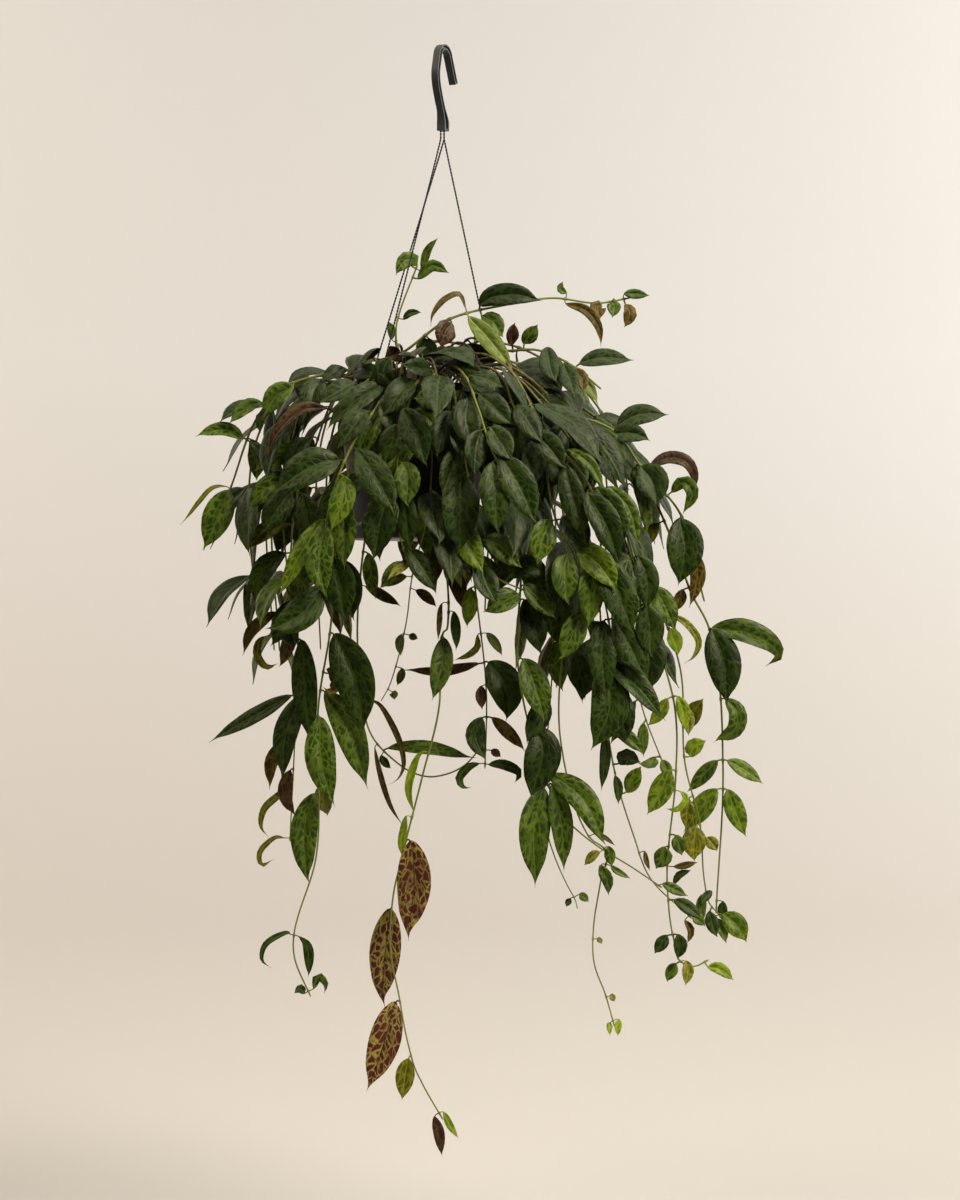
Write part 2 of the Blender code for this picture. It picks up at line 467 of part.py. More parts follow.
        route=[(540, 384, 50), (600, 450, 68), (640, 560, 70), (668, 640, 66), (682, 676, 62),
               (685, 764, 60), (694, 800, 60), (701, 831, 60), (704, 880, 60), (709, 903, 60),
               (720, 916, 60)],
        leaves=[
            ("olive", 15, 10, (693, 796), (684, 806, 6), (686, 830, 6)),
            ("olive", 26, 10, (699, 824), (691, 842, 8), (693, 862, 8)),
            ("olive", 14, 10, (702, 838), (711, 838, 4), (718, 851, 5)),
            ("bright", 24, 10, (719, 915), (736, 920, 8), (748, 942, 8)),
            ("green", 16, 25, (720, 916), (724, 932, 2), (737, 945, 2)),
            ("dark", 15, 15, (712, 908), (708, 922, 6), (717, 938, 8)),
            ("green", 12, 20, (706, 892), (696, 908, 8), (704, 922, 10)),
            ("young", 18, 10, (685, 757), (692, 745, 5), (706, 741, 6)),
            ("dark", 11, 20, (707, 896), (702, 897, 6), (695, 903, 6)),
            ("olive", 20, 20, (684, 726), (697, 711, 4), (706, 697, 4)),
            ("olive", 16, 25, (684, 706), (694, 716, 8), (690, 733, 8)),
            ("young", 18, 25, (664, 630), (675, 637, 6), (679, 656, 6)),
            ("olive", 9, 30, (661, 618), (683, 621, 4), (698, 640, 4), (694, 656, 4), (684, 664, 4)),
            ("green", 26, 20, (650, 588), (664, 600, 6), (676, 632, 6)),
        ]),
    "vine_far_right": dict(
        root=(5, 46), radius=1.4, back=60,
        route=[(556, 392, 30), (620, 440, 40), (664, 520, 44), (690, 590, 42), (709, 628, 40),
               (719, 680, 38), (722, 723, 38), (723, 761, 38), (722, 790, 38), (721, 830, 38),
               (718, 880, 38), (716, 912, 38)],
        leaves=[
            ("dark", 37, 8, (709, 630), (730, 660, 12), (726, 706, 12)),
            ("green", 28, 28, (710, 628), (742, 632, 4), (768, 643, 2), (778, 656, 0), (764, 664, -2)),
            ("green", 20, 15, (721, 700), (737, 712, 4), (734, 730, 5), (712, 741, 5)),
            ("green", 17, 20, (722, 760), (704, 772, 6), (687, 793, 6)),
            ("bright", 17, 20, (723, 761), (744, 767, 4), (764, 784, 4)),
            ("bright", 24, 12, (722, 790), (702, 804, 6), (683, 833, 6)),
            ("bright", 22, 12, (722, 791), (736, 808, 4), (746, 838, 4)),
            ("dark", 12, 15, (717, 900), (722, 912, -4), (722, 926, -6)),
            ("brown", 14, 20, (690, 588), (678, 594, -4), (676, 612, -6)),
            ("olive", 20, 25, (664, 520), (644, 540, 2), (632, 552, 2)),
        ]),
    "vine_right_low": dict(
        root=(338, 22), radius=1.15, back=95,
        route=[(520, 370, 56), (580, 450, 80), (614, 570, 84), (630, 650, 80), (640, 700, 78),
               (648, 719, 78), (655, 742, 78), (662, 762, 78)],
        leaves=[
            ("green", 14, 30, (647, 718), (640, 734, 6), (644, 757, 8)),
            ("green", 14, 15, (640, 700), (624, 722, 4), (609, 745, 4)),
            ("bright", 13, 15, (660, 757), (664, 764, 6), (671, 780, 8)),
            ("bright", 14, 15, (660, 757), (652, 768, 5), (638, 764, 6)),
        ]),
    "vine_right_slant": dict(
        root=(318, 32), radius=1.15, back=30,
        route=[(508, 366, 70), (560, 460, 104), (596, 580, 98), (606, 700, 88), (614, 762, 84),
               (621, 795, 80), (636, 836, 76), (645, 869, 72), (668, 899, 66), (690, 918, 62)],
        leaves=[
            ("bright", 18, 15, (620, 794), (634, 783, 6), (641, 765, 8)),
            ("dark", 10, 12, (616, 772), (620, 788, 6), (618, 805, 8)),
            ("old", 12, 15, (609, 734), (605, 758, 8), (601, 792, 8)),
            ("green", 15, 15, (608, 726), (628, 730, 6), (644, 754, 8)),
            ("dark", 18, 15, (613, 764), (626, 750, 8), (641, 763, 8)),
            ("green", 12, 15, (689, 917), (698, 918, 6), (706, 926, 8)),
            ("brown", 8, 20, (690, 918), (694, 932, 4), (687, 944, 6)),
            ("brown", 6, 20, (640, 852), (647, 858, 4), (650, 871, 5)),
            ("dark", 32, 12, (600, 640), (584, 662, 10), (580, 704, 10)),
            ("dark", 32, 12, (604, 688), (622, 704, 12), (628, 744, 12)),
        ]),
    "vine_front_far_right": dict(
        root=(328, 58), radius=1.4,
        route=[(532, 392, 90), (570, 440, 116), (612, 500, 120), (634, 560, 114), (640, 610, 104)],
        leaves=[
            ("green", 18, 15, (606, 489), (636, 500, 10), (639, 547, 8)),
            ("old", 30, 12, (612, 502), (600, 516, 12), (606, 552, 12)),
            ("dark", 25, 12, (634, 558), (654, 572, 8), (646, 612, 8)),
            ("dark", 28, 12, (634, 560), (620, 576, 12), (624, 612, 14)),
            ("old", 26, 15, (570, 438), (586, 436, 10), (604, 460, 10)),
            ("old", 26, 12, (580, 452), (572, 468, 14), (580, 500, 16)),
            ("dark", 30, 12, (640, 606), (654, 622, 6), (650, 660, 6)),
        ]),
}
# The vines. They are worked out in millimetres, stems first and leaves after, and each new piece is
# tried against all that is placed, so that nothing crosses.
EYE = Vector((37, -3000, -550))
NEEDED_CLEAR = 0.5
ROOT_DEPTH = 12
ROOT_RADIUS = 1.7
NODE_HALF = 1.8
STEM_SLACK = 2.7
# A leaf drawn with two points keeps this share of its bend where there is room.
BOW_KEPT = 0.5
# The foliage's rounded top: this high over the rim as far out as the flat, then falling off.
DOME_RISE = 26
DOME_FLAT = 95
DOME_FALL = 0.006
PETIOLE = 5.5
STATIONS = (0.26, 0.51, 0.78)
FEW_STATIONS = (0.3, 0.68)
CURLED_STATIONS = (0.22, 0.48, 0.75)
SQUARE = math.radians(90)
THIRD = math.radians(120)


def seen(right, down, near):
    """A point of the front elevation, moved along the sight line until it lies this near."""
    flat = Vector((right - SHEET_SEAT[0], 0, SHEET_SEAT[1] - down))
    return EYE.lerp(flat, (-EYE.y - near) / -EYE.y)


def outline(s):
    """How wide a blade is at this part of its length, as a share of its full width."""
    return 1.04 * math.sin(math.pi * min(1, s) ** 0.9) ** 0.9 * (1 - 0.1 * s)


def smooth_line(points, step=3.0):
    """A Catmull-Rom curve through the points, as a fine polyline."""
    ends = [points[0] * 2 - points[1], *points, points[-1] * 2 - points[-2]]
    line = []
    for a, b, c, d in zip(ends, ends[1:], ends[2:], ends[3:]):
        count = max(2, int((c - b).length / step))
        for i in range(count):
            t = i / count
            line.append(0.5 * (2 * b + (c - a) * t + (2 * a - 5 * b + 4 * c - d) * t * t
                               + (3 * b - a - 3 * c + d) * t ** 3))
    return [*line, points[-1].copy()]


class Line:
    """A polyline that can be read by its length."""

    def __init__(self, points):
        self.points = points
        self.far = [0.0]
        for a, b in zip(points, points[1:]):
            self.far.append(self.far[-1] + (b - a).length)
        self.length = self.far[-1]

    def at(self, s):
        s = min(max(s, 0.0), self.length)
        i = min(max(bisect.bisect_right(self.far, s) - 1, 0), len(self.points) - 2)
        span = self.far[i + 1] - self.far[i] or 1.0
        return self.points[i].lerp(self.points[i + 1], (s - self.far[i]) / span)

    def heading(self, s, reach=2.5):
        return (self.at(s + reach) - self.at(s - reach)).normalized()

    def nearest(self, point):
        """The length along the line that is nearest to this point in the front view."""
        ray = (point - EYE).normalized()
        places = [self.length * i / 300 for i in range(301)]
        reaches = [self.at(s) - EYE for s in places]
        gaps = [(reach - ray * reach.dot(ray)).length for reach in reaches]
        return places[gaps.index(min(gaps))]


def stops(line, start, end, slack):
    """Lengths between start and end where a straight run would leave the line by more than slack."""
    a, b = line.at(start), line.at(end)
    along = (b - a).normalized()
    worst, where = slack, None
    steps = int((end - start) / 3)
    for i in range(1, steps):
        s = start + (end - start) * i / steps
        off = line.at(s) - a
        gap = (off - along * off.dot(along)).length
        if gap > worst:
            worst, where = gap, s
    if where is None:
        return []
    return [*stops(line, start, where, slack), where, *stops(line, where, end, slack)]


def box_of(points):
    return [(min(p[i] for p in points), max(p[i] for p in points)) for i in range(3)]


def boxes_meet(a, b):
    return all(a[i][0] <= b[i][1] and b[i][0] <= a[i][1] for i in range(3))


class Placed:
    """All that is placed so far, as trees that a new piece is tried against."""

    def __init__(self):
        self.items = []
        self.vines = {}

    def add(self, points, faces):
        self.items.append((box_of(points), BVHTree.FromPolygons(points, faces)))

    def keep(self, stem, points, faces):
        """Keeps a vine's whole body as it now is, unless it crosses itself or another vine."""
        box, own = box_of(points), BVHTree.FromPolygons(points, faces)
        if folds_into_itself(own, faces):
            return False
        if any(stem.name != name and boxes_meet(box, other) and own.overlap(tree)
               for name, (other, tree) in self.vines.items()):
            return False
        self.vines[stem.name] = box, own
        return True

    def clear(self, points, faces, skip=None, only=None):
        box = box_of(points)
        near = [tree for i, (other, tree) in enumerate(self.items)
                if i != skip and only in (None, i) and boxes_meet(box, other)]
        if not near:
            return True
        own = BVHTree.FromPolygons(points, faces)
        return not any(own.overlap(tree) for tree in near)


def folds_into_itself(tree, faces):
    """Whether triangles that share no corner cross each other."""
    return any(a < b and not set(faces[a]) & set(faces[b]) for a, b in tree.overlap(tree))


def prism(rings, tip=None):
    """Points and triangles of a run of four-point rings, open at its start and closed at its end."""
    points = [p for ring in rings for p in ring]
    faces = []
    for k in range(len(rings) - 1):
        a, b = 4 * k, 4 * k + 4
        faces += [(a, a + 1, b), (a + 1, b + 1, b), (a + 1, a + 2, b + 2), (a + 1, b + 2, b + 1),
                  (a + 2, a + 3, b + 2), (a + 3, b + 3, b + 2), (a + 3, a, b), (a + 3, b, b + 3)]
    last = 4 * len(rings) - 4
    if tip is None:
        faces += [(last, last + 1, last + 2), (last, last + 2, last + 3)]
    else:
        points.append(tip)
        faces += [(last + i, last + (i + 1) % 4, len(points) - 1) for i in range(4)]
    return points, faces


def square_ring(centre, heading, across, turn, radius):
    """Four corners round the heading, counterclockwise, the first turned from across."""
    side = heading.cross(across)
    return [centre + (across * math.cos(turn + i * SQUARE) + side * math.sin(turn + i * SQUARE)) * radius
            for i in range(4)]


def tube_ring(centre, heading, across, turn, radius):
    """Three corners round the heading, counterclockwise, the first turned from across."""
    side = heading.cross(across)
    return [centre + (across * math.cos(turn + i * THIRD) + side * math.sin(turn + i * THIRD)) * radius
            for i in range(3)]


class Stem:
    """A vine's stem: its line, and the short nodes that leaves grow from."""

    def __init__(self, name, root, points, radius, rng):
        self.name = name
        self.root = root
        self.radius = radius
        self.rng = rng
        above = Vector((root.x, root.y, SOIL_TOP + 5))
        curve = Line(smooth_line([above, *points]))
        corners = [0.0, *stops(curve, 0.0, curve.length, STEM_SLACK), curve.length]
        self.line = Line([curve.at(s) for s in corners])
        self.nodes = []

    def girth(self, s):
        return self.radius * (1 - 0.4 * s / self.line.length)

    def trial(self, clear):
        """A plain tube round the stem, this much fatter than it."""
        places = [3.0, *[s for s in self.line.far if s > 8]]
        rings, across = [], Vector((1, 0, 0))
        for s in places:
            heading = self.line.heading(s)
            across = (across - heading * across.dot(heading)).normalized()
            rings.append(square_ring(self.line.at(s), heading, across, 0, self.radius * 1.3 + clear))
        return prism(rings, self.end(clear))

    def end(self, further=0.0):
        """The pointed bud that closes the stem."""
        return self.line.at(self.line.length) + self.line.heading(self.line.length) * (2.5 + further)

    def node_at(self, s):
        """The node nearest to this length, or a new one where none is close."""
        s = min(max(s, 8.0), self.line.length - NODE_HALF - 0.5)
        for node in self.nodes:
            if abs(node["s"] - s) < 8 and len(node["leaves"]) < 3:
                return node
        for node in self.nodes:
            if abs(node["s"] - s) < 6:
                s = node["s"] + (6.5 if s >= node["s"] else -6.5)
        s = min(max(s, 8.0), self.line.length - NODE_HALF - 0.5)
        if any(abs(node["s"] - s) < 2 * NODE_HALF + 1 for node in self.nodes):
            return None
        node = {"s": s, "leaves": [], "turn": None}
        self.nodes.append(node)
        return node

    def frames(self):
        """The rings of the stem in order, as length, heading, across, turn and node."""
        marks = [(-3.5, None)]
        for node in sorted(self.nodes, key=lambda n: n["s"]):
            marks += [(node["s"] - NODE_HALF, node), (node["s"] + NODE_HALF, node)]
        marks.append((self.line.length, None))
        full = []
        for (s, node), (then, _) in zip(marks, marks[1:] + [(None, None)]):
            full.append((s, node))
            if then is not None and then - s > 2 * NODE_HALF + 0.01:
                full += [(mid, None) for mid in self.line.far[1:-1] if mid - s > 5 and then - mid > 5]
        across, turn, found = Vector((1, 0, 0)), 0.0, []
        for s, node in full:
            heading = self.line.heading(node["s"] if node else s)
            across = (across - heading * across.dot(heading)).normalized()
            if node and node["turn"] is not None:
                side = heading.cross(across)
                wanted = math.atan2(node["turn"].dot(side), node["turn"].dot(across)) - THIRD / 2
                turn = wanted - THIRD * round((wanted - turn) / THIRD)
            found.append((s, heading, across, turn, node))
        return found[1:]


def side_directions(stem, node):
    """The three ways out of a node, the first along its turn."""
    heading = stem.line.heading(node["s"])
    first = node["turn"] - heading * node["turn"].dot(heading)
    first.normalize()
    return [Matrix.Rotation(i * THIRD, 3, heading) @ first for i in range(3)]


def leaf_line(base, out, points):
    """A leaf's midrib: it leaves the stem along its petiole and passes through its points."""
    reach = min(PETIOLE, 0.35 * (points[-1] - base).length)
    return Line(smooth_line([base, base + out * reach, *points], 2.0))


def leaf_rings(line, width, face, places, fold, fatter=0.0):
    """Rings of one blade: an edge, the top of the midrib, the other edge and the underside."""
    start = min(PETIOLE, 0.35 * line.length)
    rings = []
    for share in places:
        s = start + (line.length - start) * share
        heading = line.heading(s, 1.5)
        up = (face - heading * face.dot(heading)).normalized()
        side = up.cross(heading)
        wide = (outline(share) * width if share else 2.4) / 2 + fatter
        thick = (0.95 if not share else 0.78 - 0.2 * share) + fatter
        lift = up * (wide * math.sin(fold) if share else 0)
        reach = side * (wide * math.cos(fold) if share else wide)
        middle = line.at(s)
        if not share:
            wide = min(wide, 0.14 * width + fatter)
            reach = side * wide
        rings.append([middle + reach + lift, middle + up * thick,
                      middle - reach + lift, middle - up * thick])
    return rings, line.at(line.length) + line.heading(line.length) * fatter


def facing(middle, along, turn):
    """The way a blade faces: at the viewer, turned by this many degrees up and outwards."""
    to_eye = (EYE - middle).normalized()
    outwards = Vector((0.6 if middle.x > POT_X + 20 else -0.6, 0, 1))
    ways = [Matrix.Rotation(math.radians(turn * sign), 3, along) @ to_eye for sign in (1, -1)]
    return max(ways, key=lambda way: way.dot(outwards))


def halves(points, a, b, c, d):
    """Two triangles for four corners, split along the shorter way across."""
    if (points[a] - points[c]).length < (points[b] - points[d]).length:
        return [(a, b, c), (a, c, d)]
    return [(a, b, d), (b, c, d)]


def vine_mesh(stem):
    """One closed body: the stem's three-sided tube, with each leaf grown out of a side of its node."""
    foot = stem.root
    up = Vector((0, 0, 1))
    frames = stem.frames()
    rings = [tube_ring(Vector((foot.x, foot.y, z)), up, Vector((1, 0, 0)), 0, ROOT_RADIUS)
             for z in (SOIL_TOP - ROOT_DEPTH, SOIL_TOP + 1.5)]
    owners = [None, None]
    for s, heading, across, turn, node in frames:
        radius = stem.girth(s) * (1.35 if node else 1.0)
        rings.append(tube_ring(stem.line.at(s), heading, across, turn, radius))
        owners.append(node)
    points = [p for ring in rings for p in ring]
    faces = [(2, 1, 0)]
    for k in range(len(rings) - 1):
        a, b = 3 * k, 3 * k + 3
        node = owners[k] if owners[k] is not None and owners[k] is owners[k + 1] else None
        for i in range(3):
            j = (i + 1) % 3
            loop = (a + i, a + j, b + j, b + i)
            leaf = leaf_on_side(stem, node, points, loop) if node else None
            if leaf is None:
                faces += halves(points, *loop)
            else:
                faces += grown(points, loop, leaf)
    points.append(stem.end())
    last = 3 * len(rings) - 3
    faces += [(last + i, last + (i + 1) % 3, len(points) - 1) for i in range(3)]
    return points, faces


def leaf_on_side(stem, node, points, loop):
    """The leaf whose way out is this side of the node, if there is one."""
    middle = sum((points[i] for i in loop), Vector()) / 4
    centre = stem.line.at(node["s"])
    ways = side_directions(stem, node)
    for leaf in node["leaves"]:
        if (middle - centre).normalized().dot(ways[leaf["side"]]) > 0.9:
            return leaf
    return None


def grown(points, loop, leaf):
    """The faces of a leaf that starts from this loop of the stem."""
    rings = leaf["rings"]
    start = len(points)
    body, faces = prism(rings, leaf["tip"])
    best = min(range(4), key=lambda k: sum((points[loop[(i + k) % 4]] - rings[0][i]).length
                                           for i in range(4)))
    points += body
    faces = [tuple(start + i for i in face) for face in faces]
    for i in range(4):
        a, b = loop[(i + best) % 4], loop[(i + 1 + best) % 4]
        faces += halves(points, a, b, start + (i + 1) % 4, start + i)
    return faces


def try_leaf(stem, node, places, placed, make, tries, neck_ring):
    """Draws a leaf again and again until it crosses nothing, and joins it to its node."""
    for attempt in range(tries):
        points, width, face, fold = make(attempt)
        base = stem.line.at(node["s"])
        heading = stem.line.heading(node["s"])
        aim = points[0] - base
        aim -= heading * aim.dot(heading)
        if aim.length < 0.5:
            aim = face - heading * face.dot(heading)
        if node["turn"] is None or not node["leaves"]:
            node["turn"] = aim.normalized()
        free = [(i, way) for i, way in enumerate(side_directions(stem, node))
                if i not in [leaf["side"] for leaf in node["leaves"]]]
        side, out = max(free, key=lambda item: item[1].dot(aim))
        start = base + out * (stem.girth(node["s"]) * 1.35 * math.cos(THIRD / 2))
        line = leaf_line(start, out, points)
        rings, tip = leaf_rings(line, width, face, (0.0, *places), fold, NEEDED_CLEAR)
        blade = prism(rings, tip)
        neck = prism([square_ring(start + out * 1.2, out, heading, SQUARE / 2, 1.9), rings[0]])
        if not placed.clear(*blade) or not placed.clear(*neck, skip=stem.index):
            continue
        off_stem = square_ring(start + out * 2, out, heading, SQUARE / 2, 0.7)
        if not placed.clear(*prism([off_stem, *rings[0 if neck_ring else 1:]], tip), only=stem.index):
            continue
        if not neck_ring:
            rings = rings[1:]
        rings, tip = leaf_rings(line, width, face, (0.0, *places) if neck_ring else places, fold)
        leaf = dict(side=side, rings=rings, tip=tip, line=line, width=width, face=face, fold=fold)
        node["leaves"].append(leaf)
        if not placed.keep(stem, *vine_mesh(stem)):
            node["leaves"].remove(leaf)
            continue
        placed.add(*prism(leaf_rings(line, width, face, (0.0, *places), fold)[0], line.at(line.length)))
        return leaf
    if not node["leaves"]:
        stem.nodes.remove(node)
    return None


def hero_leaf(stem, row, placed):
    """A leaf that the front elevation draws."""
    kind, width, turn, first, *path = row
    drawn = seen(first[0], first[1], 0)
    node = stem.node_at(stem.line.nearest(drawn))
    if node is None:
        return None
    near = -stem.line.at(node["s"]).y
    rng = stem.rng
    fold = math.radians(rng.uniform(10, 24))
    width /= math.cos(fold)

    def make(attempt):
        loose = 1.3 * attempt ** 0.8
        shift = [rng.uniform(-loose, loose) for _ in range(3)]
        grow = 1 - 0.006 * attempt
        points = []
        for i, (right, down, off) in enumerate(path):
            share = (i + 1) / len(path)
            points.append(seen(right + shift[0] * share * 0.6, down + shift[1] * share * 0.6,
                               near + off + shift[2] * 1.4 * share + 0.25 * attempt * share))
        base = stem.line.at(node["s"])
        straight = min(0.85, (0 if len(path) > 2 else 1 - BOW_KEPT) + 0.03 * max(0, attempt - 8))
        chord = [base.lerp(points[-1], (i + 1) / len(points)) for i in range(len(points))]
        points = [p.lerp(flat, straight) for p, flat in zip(points, chord)]
        along = (points[-1] - base).normalized()
        face = facing(points[-1], along, turn + rng.uniform(-1, 1) * min(20, 0.9 * attempt))
        return points, width * grow, face, fold

    curled = len(path) > 2
    places = CURLED_STATIONS if curled else STATIONS if width >= 31 else FEW_STATIONS
    leaf = try_leaf(stem, node, places, placed, make, 50, width >= 27)
    if leaf:
        leaf["kind"] = kind
        leaf["curled"] = curled
    return leaf


def dome_top(place):
    """How high the plant's rounded top stands over this place."""
    outwards = math.hypot(place.x - POT_X, place.y)
    return RIM_TOP + DOME_RISE - DOME_FALL * max(0, outwards - DOME_FLAT) ** 2


def fill_leaf(stem, node, outward, step, placed):
    """A leaf that the growth rule places: it leaves its stem sideways and hangs outwards."""
    rng = stem.rng
    s = node["s"]
    share = s / stem.line.length
    base = stem.line.at(s)
    heading = stem.line.heading(s)
    side = heading.cross(outward)
    if side.length < 0.2:
        side = Vector((-outward.y, outward.x, 0))
    side.normalize()
    other = heading.cross(side)
    quarter = step * SQUARE + node["start"]
    out = side * math.cos(quarter) + other * math.sin(quarter)
    length = rng.uniform(72, 92) * (1.0 if share < 0.75 else 0.8)
    width = length * rng.uniform(0.42, 0.48)
    crown = max(0.0, min(1.0, (base.z - RIM_TOP) / 40 + 0.4))
    length *= 1 - 0.16 * crown
    fold = math.radians(rng.uniform(10, 22))

    def make(attempt):
        loose = 0.15 + 0.03 * attempt
        wobble = Vector([rng.uniform(-loose, loose) for _ in range(3)])
        aim = out * 0.75 + outward * (0.35 + 0.4 * crown) + Vector((0, 0, -1.05 + 0.6 * crown)) + wobble
        aim.normalize()
        long = length * (1 - 0.022 * attempt)
        face = outward * (0.9 - 0.5 * crown) + Vector((0, 0, 0.45 + 0.6 * crown)) + wobble * 0.8
        face += Vector((0, -0.8, 0)) * (1 - abs(outward.y))
        face.normalize()
        bulge = (out + outward * 0.5 + Vector((0, 0, 0.4))).normalized() * long * 0.12
        droop = Vector((0, 0, -0.08 * long * (1 + crown)))
        path = [base + aim * long * 0.5 + bulge, base + aim * long + droop]
        for place in path:
            place.z = min(place.z, dome_top(place))
        return path, width, face, fold

    leaf = try_leaf(stem, node, FEW_STATIONS, placed, make, 22, False)
    if leaf:
        leaf["kind"] = ("dark", "old", "green")[int(rng.uniform(0, 1) * 2.99 * (0.6 + 0.4 * share))]
        leaf["curled"] = False
    return leaf


def rooted(angle, radius):
    way = math.radians(angle)
    return Vector((POT_X + radius * math.cos(way), radius * math.sin(way), SOIL_TOP))


def place_stem(name, start, route_at, radius, placed, roots, seed):
    """A stem that clears all placed ones, drawn again with its root and route further off until it does."""
    rng = random.Random(seed)
    for attempt in range(300):
        loose = 0.4 * attempt
        from_middle = min(66, max(4, start[1] + rng.uniform(-loose, loose)))
        root = rooted(start[0] + rng.uniform(-loose, loose) * 2, from_middle)
        route = route_at(rng, loose)
        over = root.lerp(route[0], 0.5)
        over.z = max(route[0].z, RIM_TOP) + 8 + rng.uniform(0, 0.5) * min(loose, 24)
        arches = (route[0] - root).xy.length > 12 and route[0].z < RIM_TOP + 40
        stem = Stem(name, root, [over, *route] if arches else route, radius, rng)
        apart = all((root - other).xy.length > 5.6 for other in roots)
        if apart and placed.clear(*stem.trial(1.0)) and placed.keep(stem, *vine_mesh(stem)):
            roots.append(root)
            stem.index = len(placed.items)
            placed.add(*stem.trial(0.3))
            return stem
    return None


def drawn_route(points, back, rng, loose):
    """The drawn points, moved along the sight lines: the lower they are the more they lie back."""
    all_back = rng.uniform(-0.5, 0.5) * loose
    route = []
    for i, (right, down, near) in enumerate(points):
        deep = near - back * i / (len(points) - 1) + all_back + rng.uniform(-0.4, 0.4) * loose
        right += rng.uniform(-0.06, 0.06) * loose
        down += rng.uniform(-0.06, 0.06) * loose
        route.append(seen(right, down, deep))
    return route


def fill_stem(stem, start_at, end_at, placed):
    """Pairs of leaves along a stem by rule, each pair a quarter turn on from the last."""
    rng = stem.rng
    start = rng.uniform(0, SQUARE)
    top = max(range(len(stem.line.points)), key=lambda i: stem.line.points[i].z)
    s = max(start_at, stem.line.far[top] - 4) if stem.line.far[top] < end_at else start_at
    s += rng.uniform(-3, 3)
    step = 0
    while s < end_at:
        base = stem.line.at(s)
        outward = (base - Vector((POT_X, 0, base.z))).normalized()
        node = stem.node_at(s)
        if node is not None:
            node["start"] = start
            for half in (0, 2):
                if fill_leaf(stem, node, outward, step + half, placed) is None and node not in stem.nodes:
                    break
        step += 1
        s += rng.uniform(1, 1.25) * (46 if base.z > RIM_TOP - 10 else 72)


# The rest of the plant, by rule: vines all round, each with the way it grows from the pot's middle
# (0 is right, 90 is away from the viewer), how far out it hangs, its lowest point and how high it arches.
FILL_VINES = {
    "vine_fill_01": (14, 222, -650, 34),
    "vine_fill_02": (30, 150, -560, 24),
    "vine_fill_03": (42, 205, -640, 40),
    "vine_fill_04": (56, 132, -560, 20),
    "vine_fill_05": (70, 180, -520, 38),
    "vine_fill_06": (84, 122, -520, 14),
    "vine_fill_07": (99, 168, -450, 30),
    "vine_fill_08": (114, 122, -465, 12),
    "vine_fill_09": (128, 168, -600, 22),
    "vine_fill_10": (143, 120, -560, 10),
    "vine_fill_11": (157, 166, -600, 10),
    "vine_fill_12": (172, 146, -600, 6),
    "vine_fill_13": (187, 166, -560, 8),
    "vine_fill_14": (354, 150, -540, 36),
    "vine_fill_15": (346, 178, -560, 30),
    "vine_fill_16": (17, 116, -560, 20),
    "vine_fill_17": (222, 136, -540, 18),
}


def pot_guard():
    """The pot's outside, rim and soil, as one plain shell that leaves keep clear of."""
    profile = [(0, TRAY_BASE - 1), (TRAY_RADIUS + 1.5, TRAY_BASE - 1),
               (TRAY_RADIUS + 1.5, TRAY_BASE + TRAY_HEIGHT + 2), (pot_radius(RIM_TOP - 9) + 2, RIM_TOP - 9),
               (RIM_RADIUS + 1.2, RIM_TOP - 9),
               (RIM_RADIUS + 1.2, RIM_TOP + 1), (POT_TOP_RADIUS - 3, RIM_TOP + 1),
               (POT_TOP_RADIUS - 4, SOIL_TOP + 1), (0.1, SOIL_TOP + 1)]
    return lathe_points(profile, 24)


def lathe_points(profile, sides):
    points, faces = [], []
    for radius, z in profile:
        points += [Vector((POT_X + radius * math.cos(2 * math.pi * i / sides),
                           radius * math.sin(2 * math.pi * i / sides), z)) for i in range(sides)]
    for k in range(len(profile) - 1):
        for i in range(sides):
            a, b = k * sides + i, k * sides + (i + 1) % sides
            faces.append((a, b, b + sides, a + sides))
    return points, faces


def wire_guard(angle):
    """A plain tube round one hanger wire."""
    route = wire_route(angle)
    rings, across = [], Vector((1, 0, 0))
    for i, place in enumerate(route):
        heading = (route[min(i + 1, len(route) - 1)] - route[max(i - 1, 0)]).normalized()
        across = (across - heading * across.dot(heading)).normalized()
        rings.append(square_ring(place, heading, across, 0, WIRE_RADIUS + 0.9))
    return prism(rings)


def fill_route(angle, reach, lowest, arch, rng, loose):
    """Up from the soil, over the rim and down to the lowest point."""
    way = math.radians(angle + rng.uniform(-0.35, 0.35) * loose)
    reach += rng.uniform(-0.3, 0.3) * loose
    arch += rng.uniform(-0.1, 0.1) * loose
    out = Vector((math.cos(way), math.sin(way), 0))
    middle = Vector((POT_X, 0, 0))
    shape = ((0.42, RIM_TOP + arch), (0.72, RIM_TOP + arch * 0.55 - 4), (0.93, RIM_TOP - 42),
             (1.0, RIM_TOP - 105), (0.98, 0.45 * (RIM_TOP - 105) + 0.55 * lowest), (0.95, lowest))
    points = [middle + out * reach * share + Vector((0, 0, z)) for share, z in shape]
    return points if lowest < RIM_TOP - 190 else [*points[:4], points[-1]]


